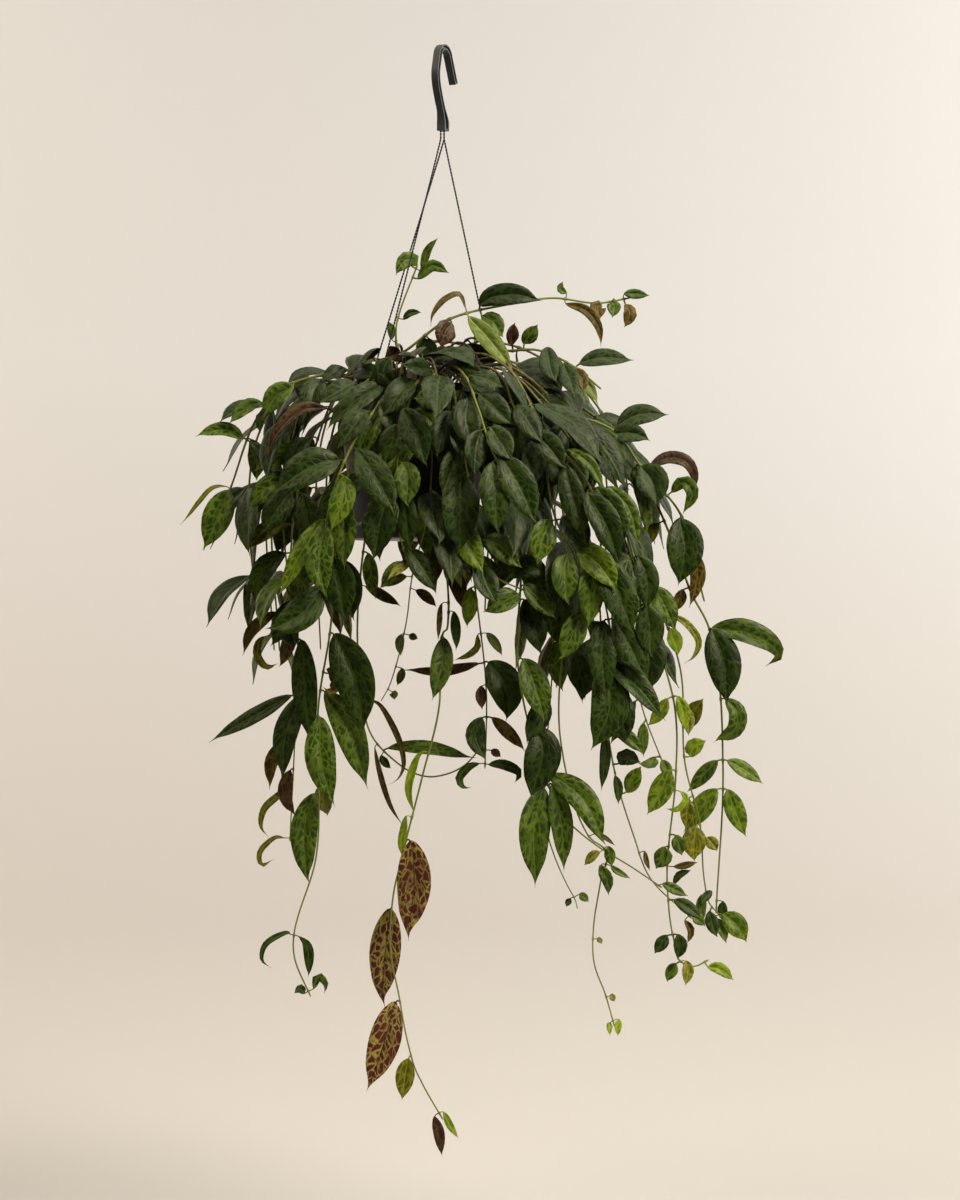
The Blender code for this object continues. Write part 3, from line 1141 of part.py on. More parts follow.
def grow_plant():
    """Every stem, then the drawn leaves, then the leaves of the rule."""
    placed = Placed()
    placed.add(*pot_guard())
    for name, angle in WIRE_ANGLES.items():
        points, faces = wire_guard(angle)
        placed.add(points, faces)
        placed.vines[name] = box_of(points), BVHTree.FromPolygons(points, faces)
    stems, roots = [], []
    for number, (name, spec) in enumerate(HERO_VINES.items()):
        route_at = partial(drawn_route, spec["route"], spec.get("back", 0))
        stem = place_stem(name, spec["root"], route_at, spec["radius"], placed, roots, 100 + number)
        if stem:
            stem.rows = spec["leaves"]
            stems.append(stem)
    for number, (name, (angle, *shape)) in enumerate(FILL_VINES.items()):
        root = (angle, 20 + 13 * (number % 4))
        stem = place_stem(name, root, partial(fill_route, angle, *shape), 1.4, placed, roots, 300 + number)
        if stem:
            stem.rows = None
            stems.append(stem)
    for stem in stems:
        for row in stem.rows or ():
            hero_leaf(stem, row, placed)
    for stem in stems:
        if stem.rows:
            first = min((node["s"] for node in stem.nodes), default=0)
            fill_stem(stem, 26, first - 12, placed)
        else:
            fill_stem(stem, 26, stem.line.length - 6, placed)
    return stems


def plain_material(name, colour, roughness):
    """A plain material of one colour."""
    material = bpy.data.materials.new(name)
    material.use_nodes = True
    shader = material.node_tree.nodes["Principled BSDF"]
    shader.inputs["Base Color"].default_value = (*colour, 1)
    shader.inputs["Roughness"].default_value = roughness
    shader.inputs["Metallic"].default_value = 0
    material.diffuse_color = (*colour, 1)
    return material


def to_object(name, points, faces, material):
    """An object of these millimetre points, in the scene, with its faces turned outwards."""
    mesh = bpy.data.meshes.new(name)
    mesh.from_pydata([Vector(p) * MM for p in points], [], faces)
    shape = bmesh.new()
    shape.from_mesh(mesh)
    bmesh.ops.recalc_face_normals(shape, faces=shape.faces)
    shape.to_mesh(mesh)
    shape.free()
    if material:
        mesh.materials.append(material)
    obj = bpy.data.objects.new(name, mesh)
    bpy.context.scene.collection.objects.link(obj)
    return obj


def turned(name, profile, centre_x, sides, material):
    """A solid turned about an upright axis from a closed profile of (radius, height) points."""
    points, rows = [], []
    for radius, height in profile:
        if radius == 0:
            rows.append([len(points)] * sides)
            points.append((centre_x, 0, height))
            continue
        rows.append([len(points) + i for i in range(sides)])
        for i in range(sides):
            way = 2 * math.pi * (i + 0.5) / sides
            points.append((centre_x + radius * math.cos(way), radius * math.sin(way), height))
    faces = []
    closed = profile[0][0] != 0
    for k in range(len(rows) if closed else len(rows) - 1):
        low, high = rows[k], rows[(k + 1) % len(rows)]
        for i in range(sides):
            j = (i + 1) % sides
            corners = [low[i], low[j], high[j], high[i]]
            faces.append(list(dict.fromkeys(corners)))
    return to_object(name, points, [f for f in faces if len(f) > 2], material)


def cut(obj, cutters):
    """Takes the cutters out of the object and removes them."""
    for cutter in cutters:
        cutter.hide_render = True
        cutter.display_type = "WIRE"
        modifier = obj.modifiers.new("Cut", "BOOLEAN")
        modifier.operation = "DIFFERENCE"
        modifier.object = cutter
    apply_modifiers(obj)
    for cutter in cutters:
        bpy.data.objects.remove(cutter)


def apply_modifiers(obj):
    graph = bpy.context.evaluated_depsgraph_get()
    graph.update()
    finished = bpy.data.meshes.new_from_object(obj.evaluated_get(graph))
    obj.modifiers.clear()
    obj.data = finished


def rod(name, bottom, top, radius, sides, start=0.0):
    """A straight prism between two points, as a cutter."""
    axis = (top - bottom).normalized()
    across = axis.orthogonal().normalized() if abs(axis.z) < 0.99 else Vector((1, 0, 0))
    side = axis.cross(across)
    points = []
    for centre in (bottom, top):
        for i in range(sides):
            way = start + 2 * math.pi * i / sides
            points.append(centre + (across * math.cos(way) + side * math.sin(way)) * radius)
    faces = [[i, (i + 1) % sides, sides + (i + 1) % sides, sides + i] for i in range(sides)]
    faces += [list(range(sides))[::-1], list(range(sides, 2 * sides))]
    return to_object(name, points, faces, None)


def hook_path():
    """The middle of the hook from its tip to its foot, in its own plane: a crown of five flats."""
    half = (90 - CROOK_OPEN) / 4
    radius = CROOK_RADIUS / math.cos(math.radians(half))
    crown = [(radius * math.cos(math.radians(90 - k * half)),
              CROOK_CENTRE + radius * math.sin(math.radians(90 - k * half))) for k in (3, 1, -1, -3)]
    fall = crown[0][1] - HOOK_TIP
    tip = (crown[0][0] + fall * math.tan(math.radians(CROOK_OPEN)), HOOK_TIP)
    return [tip, *crown, *HOOK_SHANK]


def make_hook(material):
    """An H-section swept along the path, with a solid foot that holds the wires."""
    across = Vector((-math.sin(HOOK_TURN), math.cos(HOOK_TURN), 0))
    along = Vector((math.cos(HOOK_TURN), math.sin(HOOK_TURN), 0))
    t, w, r, b = HOOK_THICK / 2, HOOK_WIDE / 2, HOOK_THICK / 2 - HOOK_RIB, HOOK_WEB / 2
    section = [(t, w), (r, w), (r, b), (-r, b), (-r, w), (-t, w),
               (-t, -w), (-r, -w), (-r, -b), (r, -b), (r, -w), (t, -w)]
    path = [along * p + Vector((0, 0, z)) for p, z in hook_path()]
    points, faces, count = [], [], len(section)
    for i, centre in enumerate(path):
        before = (centre - path[i - 1]).normalized() if i else None
        after = (path[i + 1] - centre).normalized() if i + 1 < len(path) else None
        way = ((before or after) + (after or before)).normalized()
        bend = way.dot(after or before)
        normal = way.cross(across).normalized() / bend
        for a, c in section:
            points.append(centre + normal * a + across * c)
        if i:
            start = (i - 1) * count
            faces += [[start + k, start + (k + 1) % count,
                       start + count + (k + 1) % count, start + count + k] for k in range(count)]
    faces += [list(range(count)), list(range(len(points) - count, len(points)))]
    hook = to_object("hook", points, faces, material)
    half = FOOT_WIDE / 2
    corners = [(a * half, c * half, z) for z in (FOOT_BOTTOM, FOOT_TOP) for a, c in
               ((1, 1), (-1, 1), (-1, -1), (1, -1))]
    sides = [[0, 3, 2, 1], [4, 5, 6, 7], [0, 1, 5, 4], [1, 2, 6, 5], [2, 3, 7, 6], [3, 0, 4, 7]]
    block = [along * a + across * c + Vector((0, 0, z)) for a, c, z in corners]
    foot = to_object("foot", block, sides, None)
    modifier = hook.modifiers.new("Foot", "BOOLEAN")
    modifier.operation = "UNION"
    modifier.object = foot
    foot.hide_render = True
    apply_modifiers(hook)
    bpy.data.objects.remove(foot)
    holes = []
    for angle in WIRE_ANGLES.values():
        at = wire_at(angle + WIRE_TOP_TURN, WIRE_TOP_SPREAD, FOOT_BOTTOM)
        holes.append(rod("hole", at - Vector((0, 0, 2)), at + Vector((0, 0, WIRE_SUNK + 0.8)), WIRE_HOLE, 6))
    middle = Vector((0, 0, FOOT_TOP - 2))
    holes.append(rod("eye", middle - across * 8, middle + across * 8, HOOK_EYE, 6))
    cut(hook, holes)
    return hook


def wire_at(angle, radius, z, centre=0.0):
    way = math.radians(angle)
    return Vector((centre + radius * math.cos(way), radius * math.sin(way), z))


def wire_route(angle):
    """From the foot's hole straight down, out to the rim, through its hole and round a short bent end."""
    top = wire_at(angle + WIRE_TOP_TURN, WIRE_TOP_SPREAD, FOOT_BOTTOM + WIRE_SUNK)
    rim = wire_at(angle, HOLE_RADIUS, RIM_TOP + WIRE_PAST_RIM, POT_X)
    below = wire_at(angle, HOLE_RADIUS, RIM_TOP - WIRE_PAST_RIM, POT_X)
    end = wire_at(angle, HOLE_RADIUS - WIRE_BENT_IN, below.z - 0.6 * WIRE_BENT_IN, POT_X)
    return [top, Vector((top.x, top.y, FOOT_BOTTOM - WIRE_STRAIGHT)), rim, below, end]


def make_wire(name, angle, material):
    """A curve with a round bevel and filled caps."""
    curve = bpy.data.curves.new(name, "CURVE")
    curve.dimensions = "3D"
    curve.bevel_depth = WIRE_RADIUS * MM
    curve.bevel_resolution = 1
    curve.use_fill_caps = True
    spline = curve.splines.new("POLY")
    route = wire_route(angle)
    spline.points.add(len(route) - 1)
    for point, place in zip(spline.points, route):
        point.co = (*(place * MM), 1)
    curve.materials.append(material)
    obj = bpy.data.objects.new(name, curve)
    bpy.context.scene.collection.objects.link(obj)
    return obj


def make_pot(material):
    """The pot: a tapered wall, a turned-out rim with a skirt, and a bead that holds the tray."""
    bead = TRAY_BASE + TRAY_HEIGHT + GAP
    under = RIM_TOP - RIM_THICK
    floor = POT_BASE + POT_WALL
    profile = [(0, POT_BASE), (POT_BASE_RADIUS, POT_BASE), (pot_radius(bead), bead),
               (pot_radius(bead) + BEAD_OUT, bead), (pot_radius(bead + BEAD_HIGH), bead + BEAD_HIGH),
               (pot_radius(under), under), (RIM_RADIUS - RIM_THICK, under),
               (RIM_RADIUS - RIM_THICK, RIM_TOP - RIM_SKIRT), (RIM_RADIUS, RIM_TOP - RIM_SKIRT),
               (RIM_RADIUS, RIM_TOP), (pot_radius(RIM_TOP) - POT_WALL, RIM_TOP),
               (pot_radius(floor) - POT_WALL, floor), (0, floor)]
    pot = turned("pot", profile, POT_X, ROUND_SIDES, material)
    cutters = []
    for angle in WIRE_ANGLES.values():
        at = wire_at(angle, HOLE_RADIUS, RIM_TOP, POT_X)
        cutters.append(rod("hole", at - Vector((0, 0, 4)), at + Vector((0, 0, 4)), WIRE_HOLE, 6))
        drain = wire_at(angle + 60, DRAIN_CIRCLE, POT_BASE, POT_X)
        cutters.append(rod("drain", drain - Vector((0, 0, 3)), drain + Vector((0, 0, 5)), DRAIN_RADIUS, 6))
    cut(pot, cutters)
    return pot


def make_tray(material):
    """The drip tray: a shallow dish whose lip snaps under the pot's bead."""
    top = TRAY_BASE + TRAY_HEIGHT
    floor = POT_BASE - GAP
    inside = TRAY_RADIUS - TRAY_WALL
    lip = pot_radius(top) + GAP
    profile = [(0, TRAY_BASE), (TRAY_RADIUS - TRAY_CHAMFER, TRAY_BASE),
               (TRAY_RADIUS, TRAY_BASE + TRAY_CHAMFER), (TRAY_RADIUS, top), (lip, top),
               (lip, top - TRAY_LIP), (inside, top - 1.5 * TRAY_LIP),
               (inside, floor + 1.4), (TRAY_RADIUS - TRAY_CHAMFER, floor), (0, floor)]
    return turned("drip_tray", profile, POT_X, ROUND_SIDES, material)


def make_soil(material, stems):
    """The soil: it fills the pot, with a plain three-sided hole round the foot of each vine."""
    low, high = POT_BASE + POT_WALL + GAP, SOIL_TOP
    room = POT_WALL + GAP * 1.4
    profile = [(0, low), (pot_radius(low) - room, low), (pot_radius(high) - room, high), (0, high)]
    soil = turned("soil", profile, POT_X, ROUND_SIDES, material)
    points, faces = [], []
    for stem in stems:
        foot = stem.root
        ring = ROOT_RADIUS + GAP * 2
        first = len(points)
        for z in (SOIL_TOP - ROOT_DEPTH - GAP, SOIL_TOP + 3):
            points += tube_ring(Vector((foot.x, foot.y, z)), Vector((0, 0, 1)), Vector((1, 0, 0)), 0, ring)
        faces += [[first + i, first + (i + 1) % 3, first + 3 + (i + 1) % 3, first + 3 + i] for i in range(3)]
        faces += [[first + 2, first + 1, first], [first + 3, first + 4, first + 5]]
    cut(soil, [to_object("root_holes", points, faces, None)])
    return soil


for leftover in list(bpy.data.objects):
    bpy.data.objects.remove(leftover)

hook_plastic = plain_material("moulded_plastic", (0.045, 0.05, 0.048), 0.42)
pot_plastic = plain_material("pot_plastic", (0.028, 0.029, 0.031), 0.45)
tray_plastic = plain_material("tray_plastic", (0.06, 0.055, 0.06), 0.4)
wire_steel = plain_material("dark_wire", (0.05, 0.05, 0.052), 0.4)
soil_peat = plain_material("peat", (0.03, 0.02, 0.013), 0.95)
leaf_green = plain_material("leaf", (0.045, 0.085, 0.03), 0.45)

make_hook(hook_plastic)
for wire_name, wire_angle in WIRE_ANGLES.items():
    make_wire(wire_name, wire_angle, wire_steel)
make_pot(pot_plastic)
make_tray(tray_plastic)

stems = grow_plant()
make_soil(soil_peat, stems)
for vine in stems:
    to_object(vine.name, *vine_mesh(vine), leaf_green)
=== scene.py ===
"""The looks of a mottled-leaf lipstick plant in a hanging pot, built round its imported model.

The frame is the model's own: metres, +Z up, the viewer at -Y, the origin where the hook hangs. The plant
is worked out in millimetres, by the same elevation and growth rules as its solids, and each vine's solid
is then replaced by the same vine with fine leaves. The pot, its tray, the soil, the hook and the hanger
wires are made again with round edges in the places that the frame gives.
"""

import bisect
import math
import random
from functools import partial

import bmesh
import bpy
from mathutils import Matrix, Vector, noise
from mathutils.bvhtree import BVHTree


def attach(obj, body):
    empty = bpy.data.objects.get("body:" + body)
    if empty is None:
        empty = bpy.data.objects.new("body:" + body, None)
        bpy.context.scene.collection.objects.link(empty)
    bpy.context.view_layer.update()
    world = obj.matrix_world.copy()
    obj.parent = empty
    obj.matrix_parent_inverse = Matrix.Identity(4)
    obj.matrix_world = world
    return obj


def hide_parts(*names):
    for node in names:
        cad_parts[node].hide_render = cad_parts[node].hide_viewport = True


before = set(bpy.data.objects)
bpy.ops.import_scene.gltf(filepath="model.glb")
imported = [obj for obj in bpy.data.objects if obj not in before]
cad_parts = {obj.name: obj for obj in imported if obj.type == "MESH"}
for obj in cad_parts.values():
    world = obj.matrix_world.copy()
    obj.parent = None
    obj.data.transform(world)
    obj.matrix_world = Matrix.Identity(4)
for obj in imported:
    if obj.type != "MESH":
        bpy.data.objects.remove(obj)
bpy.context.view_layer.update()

MM = 0.001

# The camera: 3 m in front of the plant, level with its middle, seeing 1.2 m from top to bottom.
EYE = Vector((37, -3000, -550))
LENS = 90
FILM = 36

# The gap that fitted pieces keep.
GAP = 0.3

# The hook: a moulded crook whose plane is turned from the front view. Both arms leave its round crown
# at CROOK_OPEN degrees from upright.
HOOK_TURN = math.radians(62)
CROOK_RADIUS = 11
CROOK_OPEN = 24
HOOK_THICK = 5.3
HOOK_WIDE = 7.4
HOOK_RIB = 1.3
HOOK_WEB = 3.2
CROOK_CENTRE = -(CROOK_RADIUS - HOOK_THICK / 2)
HOOK_TIP = -31
HOOK_SHANK = ((-13, -15), (-15, -25), (-13.6, -36), (-8.4, -50), (-3, -62), (0, -72))
FOOT_TOP = -68
FOOT_BOTTOM = -81
FOOT_WIDE = 9.2

# The hanger wires: up to this far into three blind holes in the hook's foot, then straight down, then out
# to three holes in the pot's rim, where their ends are bent in.
WIRE_RADIUS = 0.95
WIRE_HOLE = 1.35
WIRE_TOP_SPREAD = 2.2
WIRE_SUNK = 4.2
WIRE_STRAIGHT = 9
WIRE_PAST_RIM = 4
WIRE_BENT_IN = 2.2
# Their bundle in the foot is turned by this much against the holes in the rim.
WIRE_TOP_TURN = -67
WIRE_ANGLES = {"wire_right": 7, "wire_back_left": 127, "wire_front_left": 247}

# The pot, its clip-on drip tray and the soil in it.
POT_X = -28
RIM_TOP = -338
RIM_RADIUS = 86
HOLE_RADIUS = 82
POT_TOP_RADIUS = 78
POT_BASE_RADIUS = 61
POT_BASE = -486.7
POT_WALL = 2
RIM_SKIRT = 8
RIM_THICK = 1.6
BEAD_OUT = 2.4
BEAD_HIGH = 3
DRAIN_CIRCLE = 34
DRAIN_RADIUS = 4.5
TRAY_RADIUS = 67
TRAY_BASE = -490
TRAY_HEIGHT = 14
TRAY_WALL = 1.8
TRAY_LIP = 1.6
TRAY_CHAMFER = 4
SOIL_TOP = -350


def pot_radius(z):
    """The outside of the pot's wall at this height."""
    share = (z - POT_BASE) / (RIM_TOP - POT_BASE)
    return POT_BASE_RADIUS + (POT_TOP_RADIUS - POT_BASE_RADIUS) * share


def clamped(x, low=0.0, high=1.0):
    """A value held between these two."""
    return min(max(x, low), high)


def on_circle(angle, radius, z, centre=POT_X):
    """A point on a level circle, round the pot's middle unless told: 0 degrees is right, 90 is away."""
    way = math.radians(angle)
    return Vector((centre + radius * math.cos(way), radius * math.sin(way), z))


def turned_points(profile, sides):
    """Points and faces of a solid turned about the pot's axis from (radius, height) points."""
    points, faces, rows = [], [], []
    for radius, height in profile:
        if radius == 0:
            rows.append([len(points)] * sides)
            points.append((POT_X, 0, height))
            continue
        rows.append([len(points) + i for i in range(sides)])
        for i in range(sides):
            way = 2 * math.pi * i / sides
            points.append((POT_X + radius * math.cos(way), radius * math.sin(way), height))
    for low, high in zip(rows, rows[1:]):
        for i in range(sides):
            j = (i + 1) % sides
            corners = list(dict.fromkeys([low[i], low[j], high[j], high[i]]))
            faces.append(corners)
    return points, faces


# Each vine below is drawn at full size on a front elevation, in millimetres, whose hook seat is at
# SHEET_SEAT. A point is (right, down, towards the viewer). A leaf is its kind, its width, how far its
# blade is turned from the viewer in degrees, and its midrib from the stem to the tip, where the third
# number of a point is measured from the stem instead.
SHEET_SEAT = (443, 50)
HERO_VINES = []


def draw_vine(name, root, radius, route, leaves, back=0):
    """One vine of the elevation: its root is (angle, distance from the pot's middle).

    Its end lies this much further back than it is drawn.
    """
    HERO_VINES.append((name, root, radius, route, leaves, back))


draw_vine("vine_top_upright", (205, 40), 1.3, route=[
    (391, 372, 5), (391, 350, 2), (396, 326, 0), (405, 294, 0), (417, 266, 2)
], leaves=[
    ("green", 20, 10, (417, 264), (419, 252, 4), (410, 247, 8), (405, 256, 12), (403, 267, 12)),
    ("green", 9, 0, (418, 265), (428, 247, 6), (439, 237, 6)),
    ("green", 14, 30, (413, 277), (434, 256, 10), (450, 274, 10)),
    ("old", 8, 20, (399, 318), (410, 311, 6), (422, 312, 6)),
    ("green", 9, 0, (393, 338), (391, 330, 5), (389, 321, 5)),
])
draw_vine("vine_top_arch", (190, 12), 1.5, back=20, route=[
    (398, 352, 42), (416, 342, 48), (440, 324, 56), (460, 315, 58), (476, 312, 56),
    (510, 304, 50), (540, 300, 44), (560, 298, 40), (600, 303, 36), (629, 298, 32)
], leaves=[
    ("brown", 9, 45, (467, 313), (459, 294, 4), (444, 300, 8), (433, 314, 10), (430, 327, 10)),
    ("old", 24, 12, (480, 311), (492, 297, 8), (518, 295, 8), (543, 302, 6)),
    ("green", 21, 15, (482, 311), (494, 319, 6), (503, 338, 6)),
    ("maroon", 24, 10, (450, 319), (446, 328, 10), (440, 348, 12)),
    ("green", 25, 20, (404, 349), (413, 354, 14), (420, 374, 18)),
    ("maroon", 20, 25, (402, 350), (391, 354, 10), (380, 368, 12)),
    ("old", 22, 25, (430, 332), (424, 346, 10), (428, 366, 12)),
    ("pale", 21, 8, (464, 316), (486, 334, 14), (515, 372, 20)),
    ("brown", 11, 15, (566, 299), (585, 310, 4), (598, 326, 4), (602, 348, 2)),
    ("green", 8, 20, (560, 298), (556, 288, 2), (563, 281, 2)),
    ("brown", 18, 0, (600, 303), (594, 302, 6), (600, 319, 10)),
    ("green", 15, 10, (610, 302), (616, 296, 3), (613, 318, 8)),
    ("brown", 15, 30, (624, 300), (635, 312, 5), (625, 328, 4)),
    ("green", 11, 10, (629, 298), (639, 291, 2), (650, 296, 2)),
])
draw_vine("vine_top_right", (20, 30), 1.6, route=[
    (500, 350, 20), (530, 348, 34), (556, 358, 44), (576, 368, 50), (600, 388, 60)
], leaves=[
    ("maroon", 15, 25, (513, 348), (510, 337, 6), (514, 322, 6)),
    ("green", 17, 20, (524, 348), (526, 337, 4), (538, 324, 4)),
    ("old", 26, 15, (545, 353), (551, 366, 10), (563, 391, 12)),
    ("old", 24, 20, (552, 355), (541, 366, 16), (545, 390, 22)),
    ("old", 22, 35, (576, 368), (603, 351, 4), (634, 361, 4)),
    ("brown", 15, 25, (578, 369), (587, 373, 4), (586, 390, 4)),
    ("pale", 18, 30, (572, 369), (590, 390, 18), (601, 406, 16)),
    ("old", 26, 15, (566, 363), (562, 380, 22), (574, 406, 26)),
])
draw_vine("vine_shoulder_right", (335, 38), 1.6, back=45, route=[
    (520, 372, 60), (568, 412, 82), (615, 432, 86), (641, 467, 84), (668, 498, 78),
    (681, 516, 76), (692, 560, 70), (704, 600, 64)
], leaves=[
    ("old", 25, 30, (613, 431), (638, 407, 4), (669, 415, 2)),
    ("old", 22, 25, (617, 432), (633, 432, 14), (651, 440, 14)),
    ("old", 34, 10, (641, 465), (656, 478, 12), (657, 507, 14)),
    ("maroon", 15, 25, (645, 471), (668, 458, -6), (686, 462, -6), (694, 476, -8), (694, 496, -8)),
    ("green", 15, 15, (668, 494), (684, 482, 4), (692, 494, 4), (682, 514, 4)),
    ("dark", 39, 8, (683, 516), (689, 544, 12), (679, 587, 12)),
    ("brown", 18, 20, (690, 548), (706, 572, -6), (690, 608, -8)),
    ("green", 25, 12, (594, 425), (618, 446, 10), (623, 485, 12)),
    ("old", 26, 15, (568, 413), (560, 430, 18), (566, 460, 22)),
    ("dark", 24, 20, (545, 396), (556, 414, 14), (583, 428, 16)),
    ("green", 24, 15, (641, 468), (654, 504, 6), (650, 531, 6)),
])
draw_vine("vine_front_right", (310, 40), 1.5, route=[
    (500, 374, 96), (513, 406, 124), (540, 432, 134), (568, 457, 138), (594, 495, 136),
    (598, 540, 128), (602, 585, 118), (610, 628, 112)
], leaves=[
    ("old", 26, 10, (537, 430), (548, 446, 12), (566, 471, 12)),
    ("green", 14, 15, (566, 452), (594, 455, 8), (605, 491, 8)),
    ("dark", 26, 12, (592, 490), (616, 506, 2), (626, 546, -2)),
    ("dark", 30, 10, (596, 497), (606, 520, 14), (620, 566, 14)),
    ("dark", 28, 10, (570, 461), (564, 488, 12), (590, 541, 12)),
    ("old", 26, 20, (516, 409), (528, 418, 12), (545, 446, 14)),
    ("old", 28, 10, (513, 403), (500, 420, 12), (510, 452, 16)),
    ("dark", 36, 12, (600, 560), (618, 585, 10), (634, 638, 8)),
    ("green", 30, 10, (600, 566), (588, 590, 12), (592, 632, 12)),
    ("dark", 28, 15, (609, 620), (630, 640, 6), (646, 680, 4)),
    ("dark", 30, 10, (609, 624), (596, 650, 12), (606, 700, 14)),
])
draw_vine("vine_front_middle", (285, 44), 1.5, route=[
    (462, 372, 102), (474, 398, 132), (484, 424, 142), (497, 461, 150), (508, 478, 150)
], leaves=[
    ("dark", 31, 8, (498, 460), (493, 490, 12), (497, 536, 10)),
    ("dark", 34, 12, (503, 463), (524, 483, 10), (536, 526, 8)),
    ("old", 28, 10, (474, 395), (490, 400, 10), (512, 426, 12)),
    ("dark", 33, 6, (470, 393), (458, 415, 14), (470, 451, 18)),
    ("old", 26, 15, (487, 430), (500, 436, 8), (512, 462, 14)),
    ("old", 26, 25, (484, 426), (470, 446, 10), (474, 476, 12)),
    ("old", 24, 40, (466, 380), (484, 374, 12), (504, 388, 16)),
])
draw_vine("vine_front_low", (270, 56), 1.3, route=[
    (450, 380, 92), (458, 420, 116), (468, 479, 124), (474, 528, 122), (483, 560, 118),
    (500, 580, 116), (523, 590, 112)
], leaves=[
    ("bright", 26, 5, (472, 522), (458, 540, 10), (484, 574, 14)),
    ("green", 24, 15, (477, 540), (496, 534, 10), (522, 570, 12)),
    ("dark", 24, 15, (505, 583), (526, 552, 4), (552, 578, 4)),
    ("green", 26, 20, (521, 589), (506, 600, 12), (484, 614, 14)),
    ("dark", 26, 20, (484, 562), (478, 580, 12), (498, 606, 14)),
    ("dark", 38, 10, (467, 474), (456, 510, 16), (460, 556, 14)),
    ("dark", 26, 20, (463, 450), (448, 466, 14), (440, 500, 16)),
    ("old", 28, 10, (456, 412), (440, 424, 16), (436, 458, 18)),
    ("green", 22, 25, (523, 590), (540, 596, 6), (556, 620, 6)),
])
draw_vine("vine_right_of_middle", (300, 24), 1.4, route=[
    (500, 362, 78), (530, 404, 112), (548, 470, 122), (557, 522, 124), (573, 552, 122),
    (584, 600, 112), (592, 640, 106), (604, 668, 100)
], leaves=[
    ("bright", 31, 8, (572, 551), (600, 556, 10), (617, 592, 10)),
    ("green", 28, 10, (571, 549), (560, 566, 12), (566, 606, 12)),
    ("green", 28, 15, (557, 520), (538, 532, 12), (536, 566, 12)),
    ("dark", 26, 15, (556, 516), (574, 518, 8), (590, 548, 8)),
    ("dark", 40, 8, (604, 667), (622, 700, 14), (592, 752, 14)),
    ("dark", 26, 25, (604, 667), (636, 676, 12), (665, 721, 12)),
    ("green", 26, 10, (586, 610), (574, 628, 10), (560, 662, 10)),
    ("dark", 26, 15, (588, 622), (604, 636, 8), (612, 664, 8)),
    ("old", 26, 10, (540, 440), (530, 454, 12), (534, 488, 16)),
    ("old", 26, 15, (544, 456), (556, 462, 8), (570, 492, 10)),
])
draw_vine("vine_front_left", (285, 30), 1.4, route=[
    (436, 374, 96), (418, 381, 114), (409, 402, 126), (404, 424, 130), (398, 470, 130),
    (396, 495, 128), (402, 545, 120), (408, 562, 116)
], leaves=[
    ("old", 27, 20, (417, 381), (396, 390, 12), (384, 418, 14)),
    ("old", 24, 20, (434, 375), (420, 366, 8), (398, 370, 10)),
    ("green", 22, 25, (411, 398), (428, 394, 8), (442, 409, 10)),
    ("green", 20, 15, (406, 412), (428, 412, 2), (437, 431, 2)),
    ("old", 29, 8, (406, 418), (420, 432, 16), (426, 469, 18)),
    ("dark", 27, 20, (404, 426), (392, 436, 6), (384, 464, 4)),
    ("green", 22, 15, (401, 446), (380, 456, 10), (372, 484, 10)),
    ("green", 28, 10, (399, 462), (412, 472, 12), (406, 508, 14)),
    ("dark", 36, 10, (396, 492), (376, 516, 10), (374, 562, 8)),
    ("dark", 24, 15, (397, 496), (410, 516, 10), (410, 552, 10)),
    ("old", 24, 15, (404, 550), (420, 560, 10), (438, 594, 8)),
    ("green", 14, 10, (407, 560), (392, 568, 8), (380, 590, 6)),
    ("olive", 12, 10, (408, 562), (398, 574, 4), (384, 585, 2)),
])
draw_vine("vine_crown_front", (262, 14), 1.5, route=[
    (424, 358, 34), (438, 366, 54), (452, 374, 72), (468, 388, 92)
], leaves=[
    ("old", 22, 35, (440, 367), (470, 361, 6), (503, 388, 8)),
    ("green", 18, 20, (426, 359), (422, 350, 2), (426, 337, 0)),
    ("old", 22, 25, (426, 359), (442, 352, 6), (462, 360, 8)),
    ("old", 26, 30, (454, 376), (474, 382, 10), (494, 404, 12)),
    ("old", 28, 20, (466, 387), (452, 398, 16), (448, 430, 20)),
])
draw_vine("vine_left_arch", (195, 55), 1.6, back=40, route=[
    (350, 374, 50), (323, 375, 58), (293, 387, 62), (270, 398, 62), (256, 426, 60),
    (250, 442, 58), (238, 470, 56), (229, 492, 54)
], leaves=[
    ("green", 16, 25, (250, 441), (225, 421, 6), (195, 435, 6)),
    ("green", 18, 35, (263, 403), (243, 402, 6), (229, 424, 8)),
    ("green", 23, 15, (294, 386), (276, 388, 10), (263, 419, 10)),
    ("dark", 11, 40, (262, 404), (258, 416, 10), (260, 434, 8)),
    ("green", 31, 8, (230, 489), (220, 510, 10), (204, 551, 10)),
    ("olive", 6, 30, (231, 487), (212, 488, 4), (199, 502, 4), (188, 516, 2), (180, 525, 0)),
    ("old", 20, 35, (350, 374), (338, 362, 6), (316, 379, 8)),
    ("old", 25, 25, (352, 377), (368, 366, 10), (390, 374, 14)),
    ("maroon", 12, 20, (354, 383), (359, 374, 4), (364, 361, 2)),
    ("dark", 14, 30, (300, 383), (306, 394, 12), (304, 412, 12)),
    ("dark", 26, 20, (322, 375), (312, 386, 16), (310, 420, 20)),
    ("green", 20, 20, (251, 440), (262, 452, -8), (256, 482, -10)),
    ("old", 22, 25, (252, 436), (270, 448, -14), (284, 474, -16)),
])
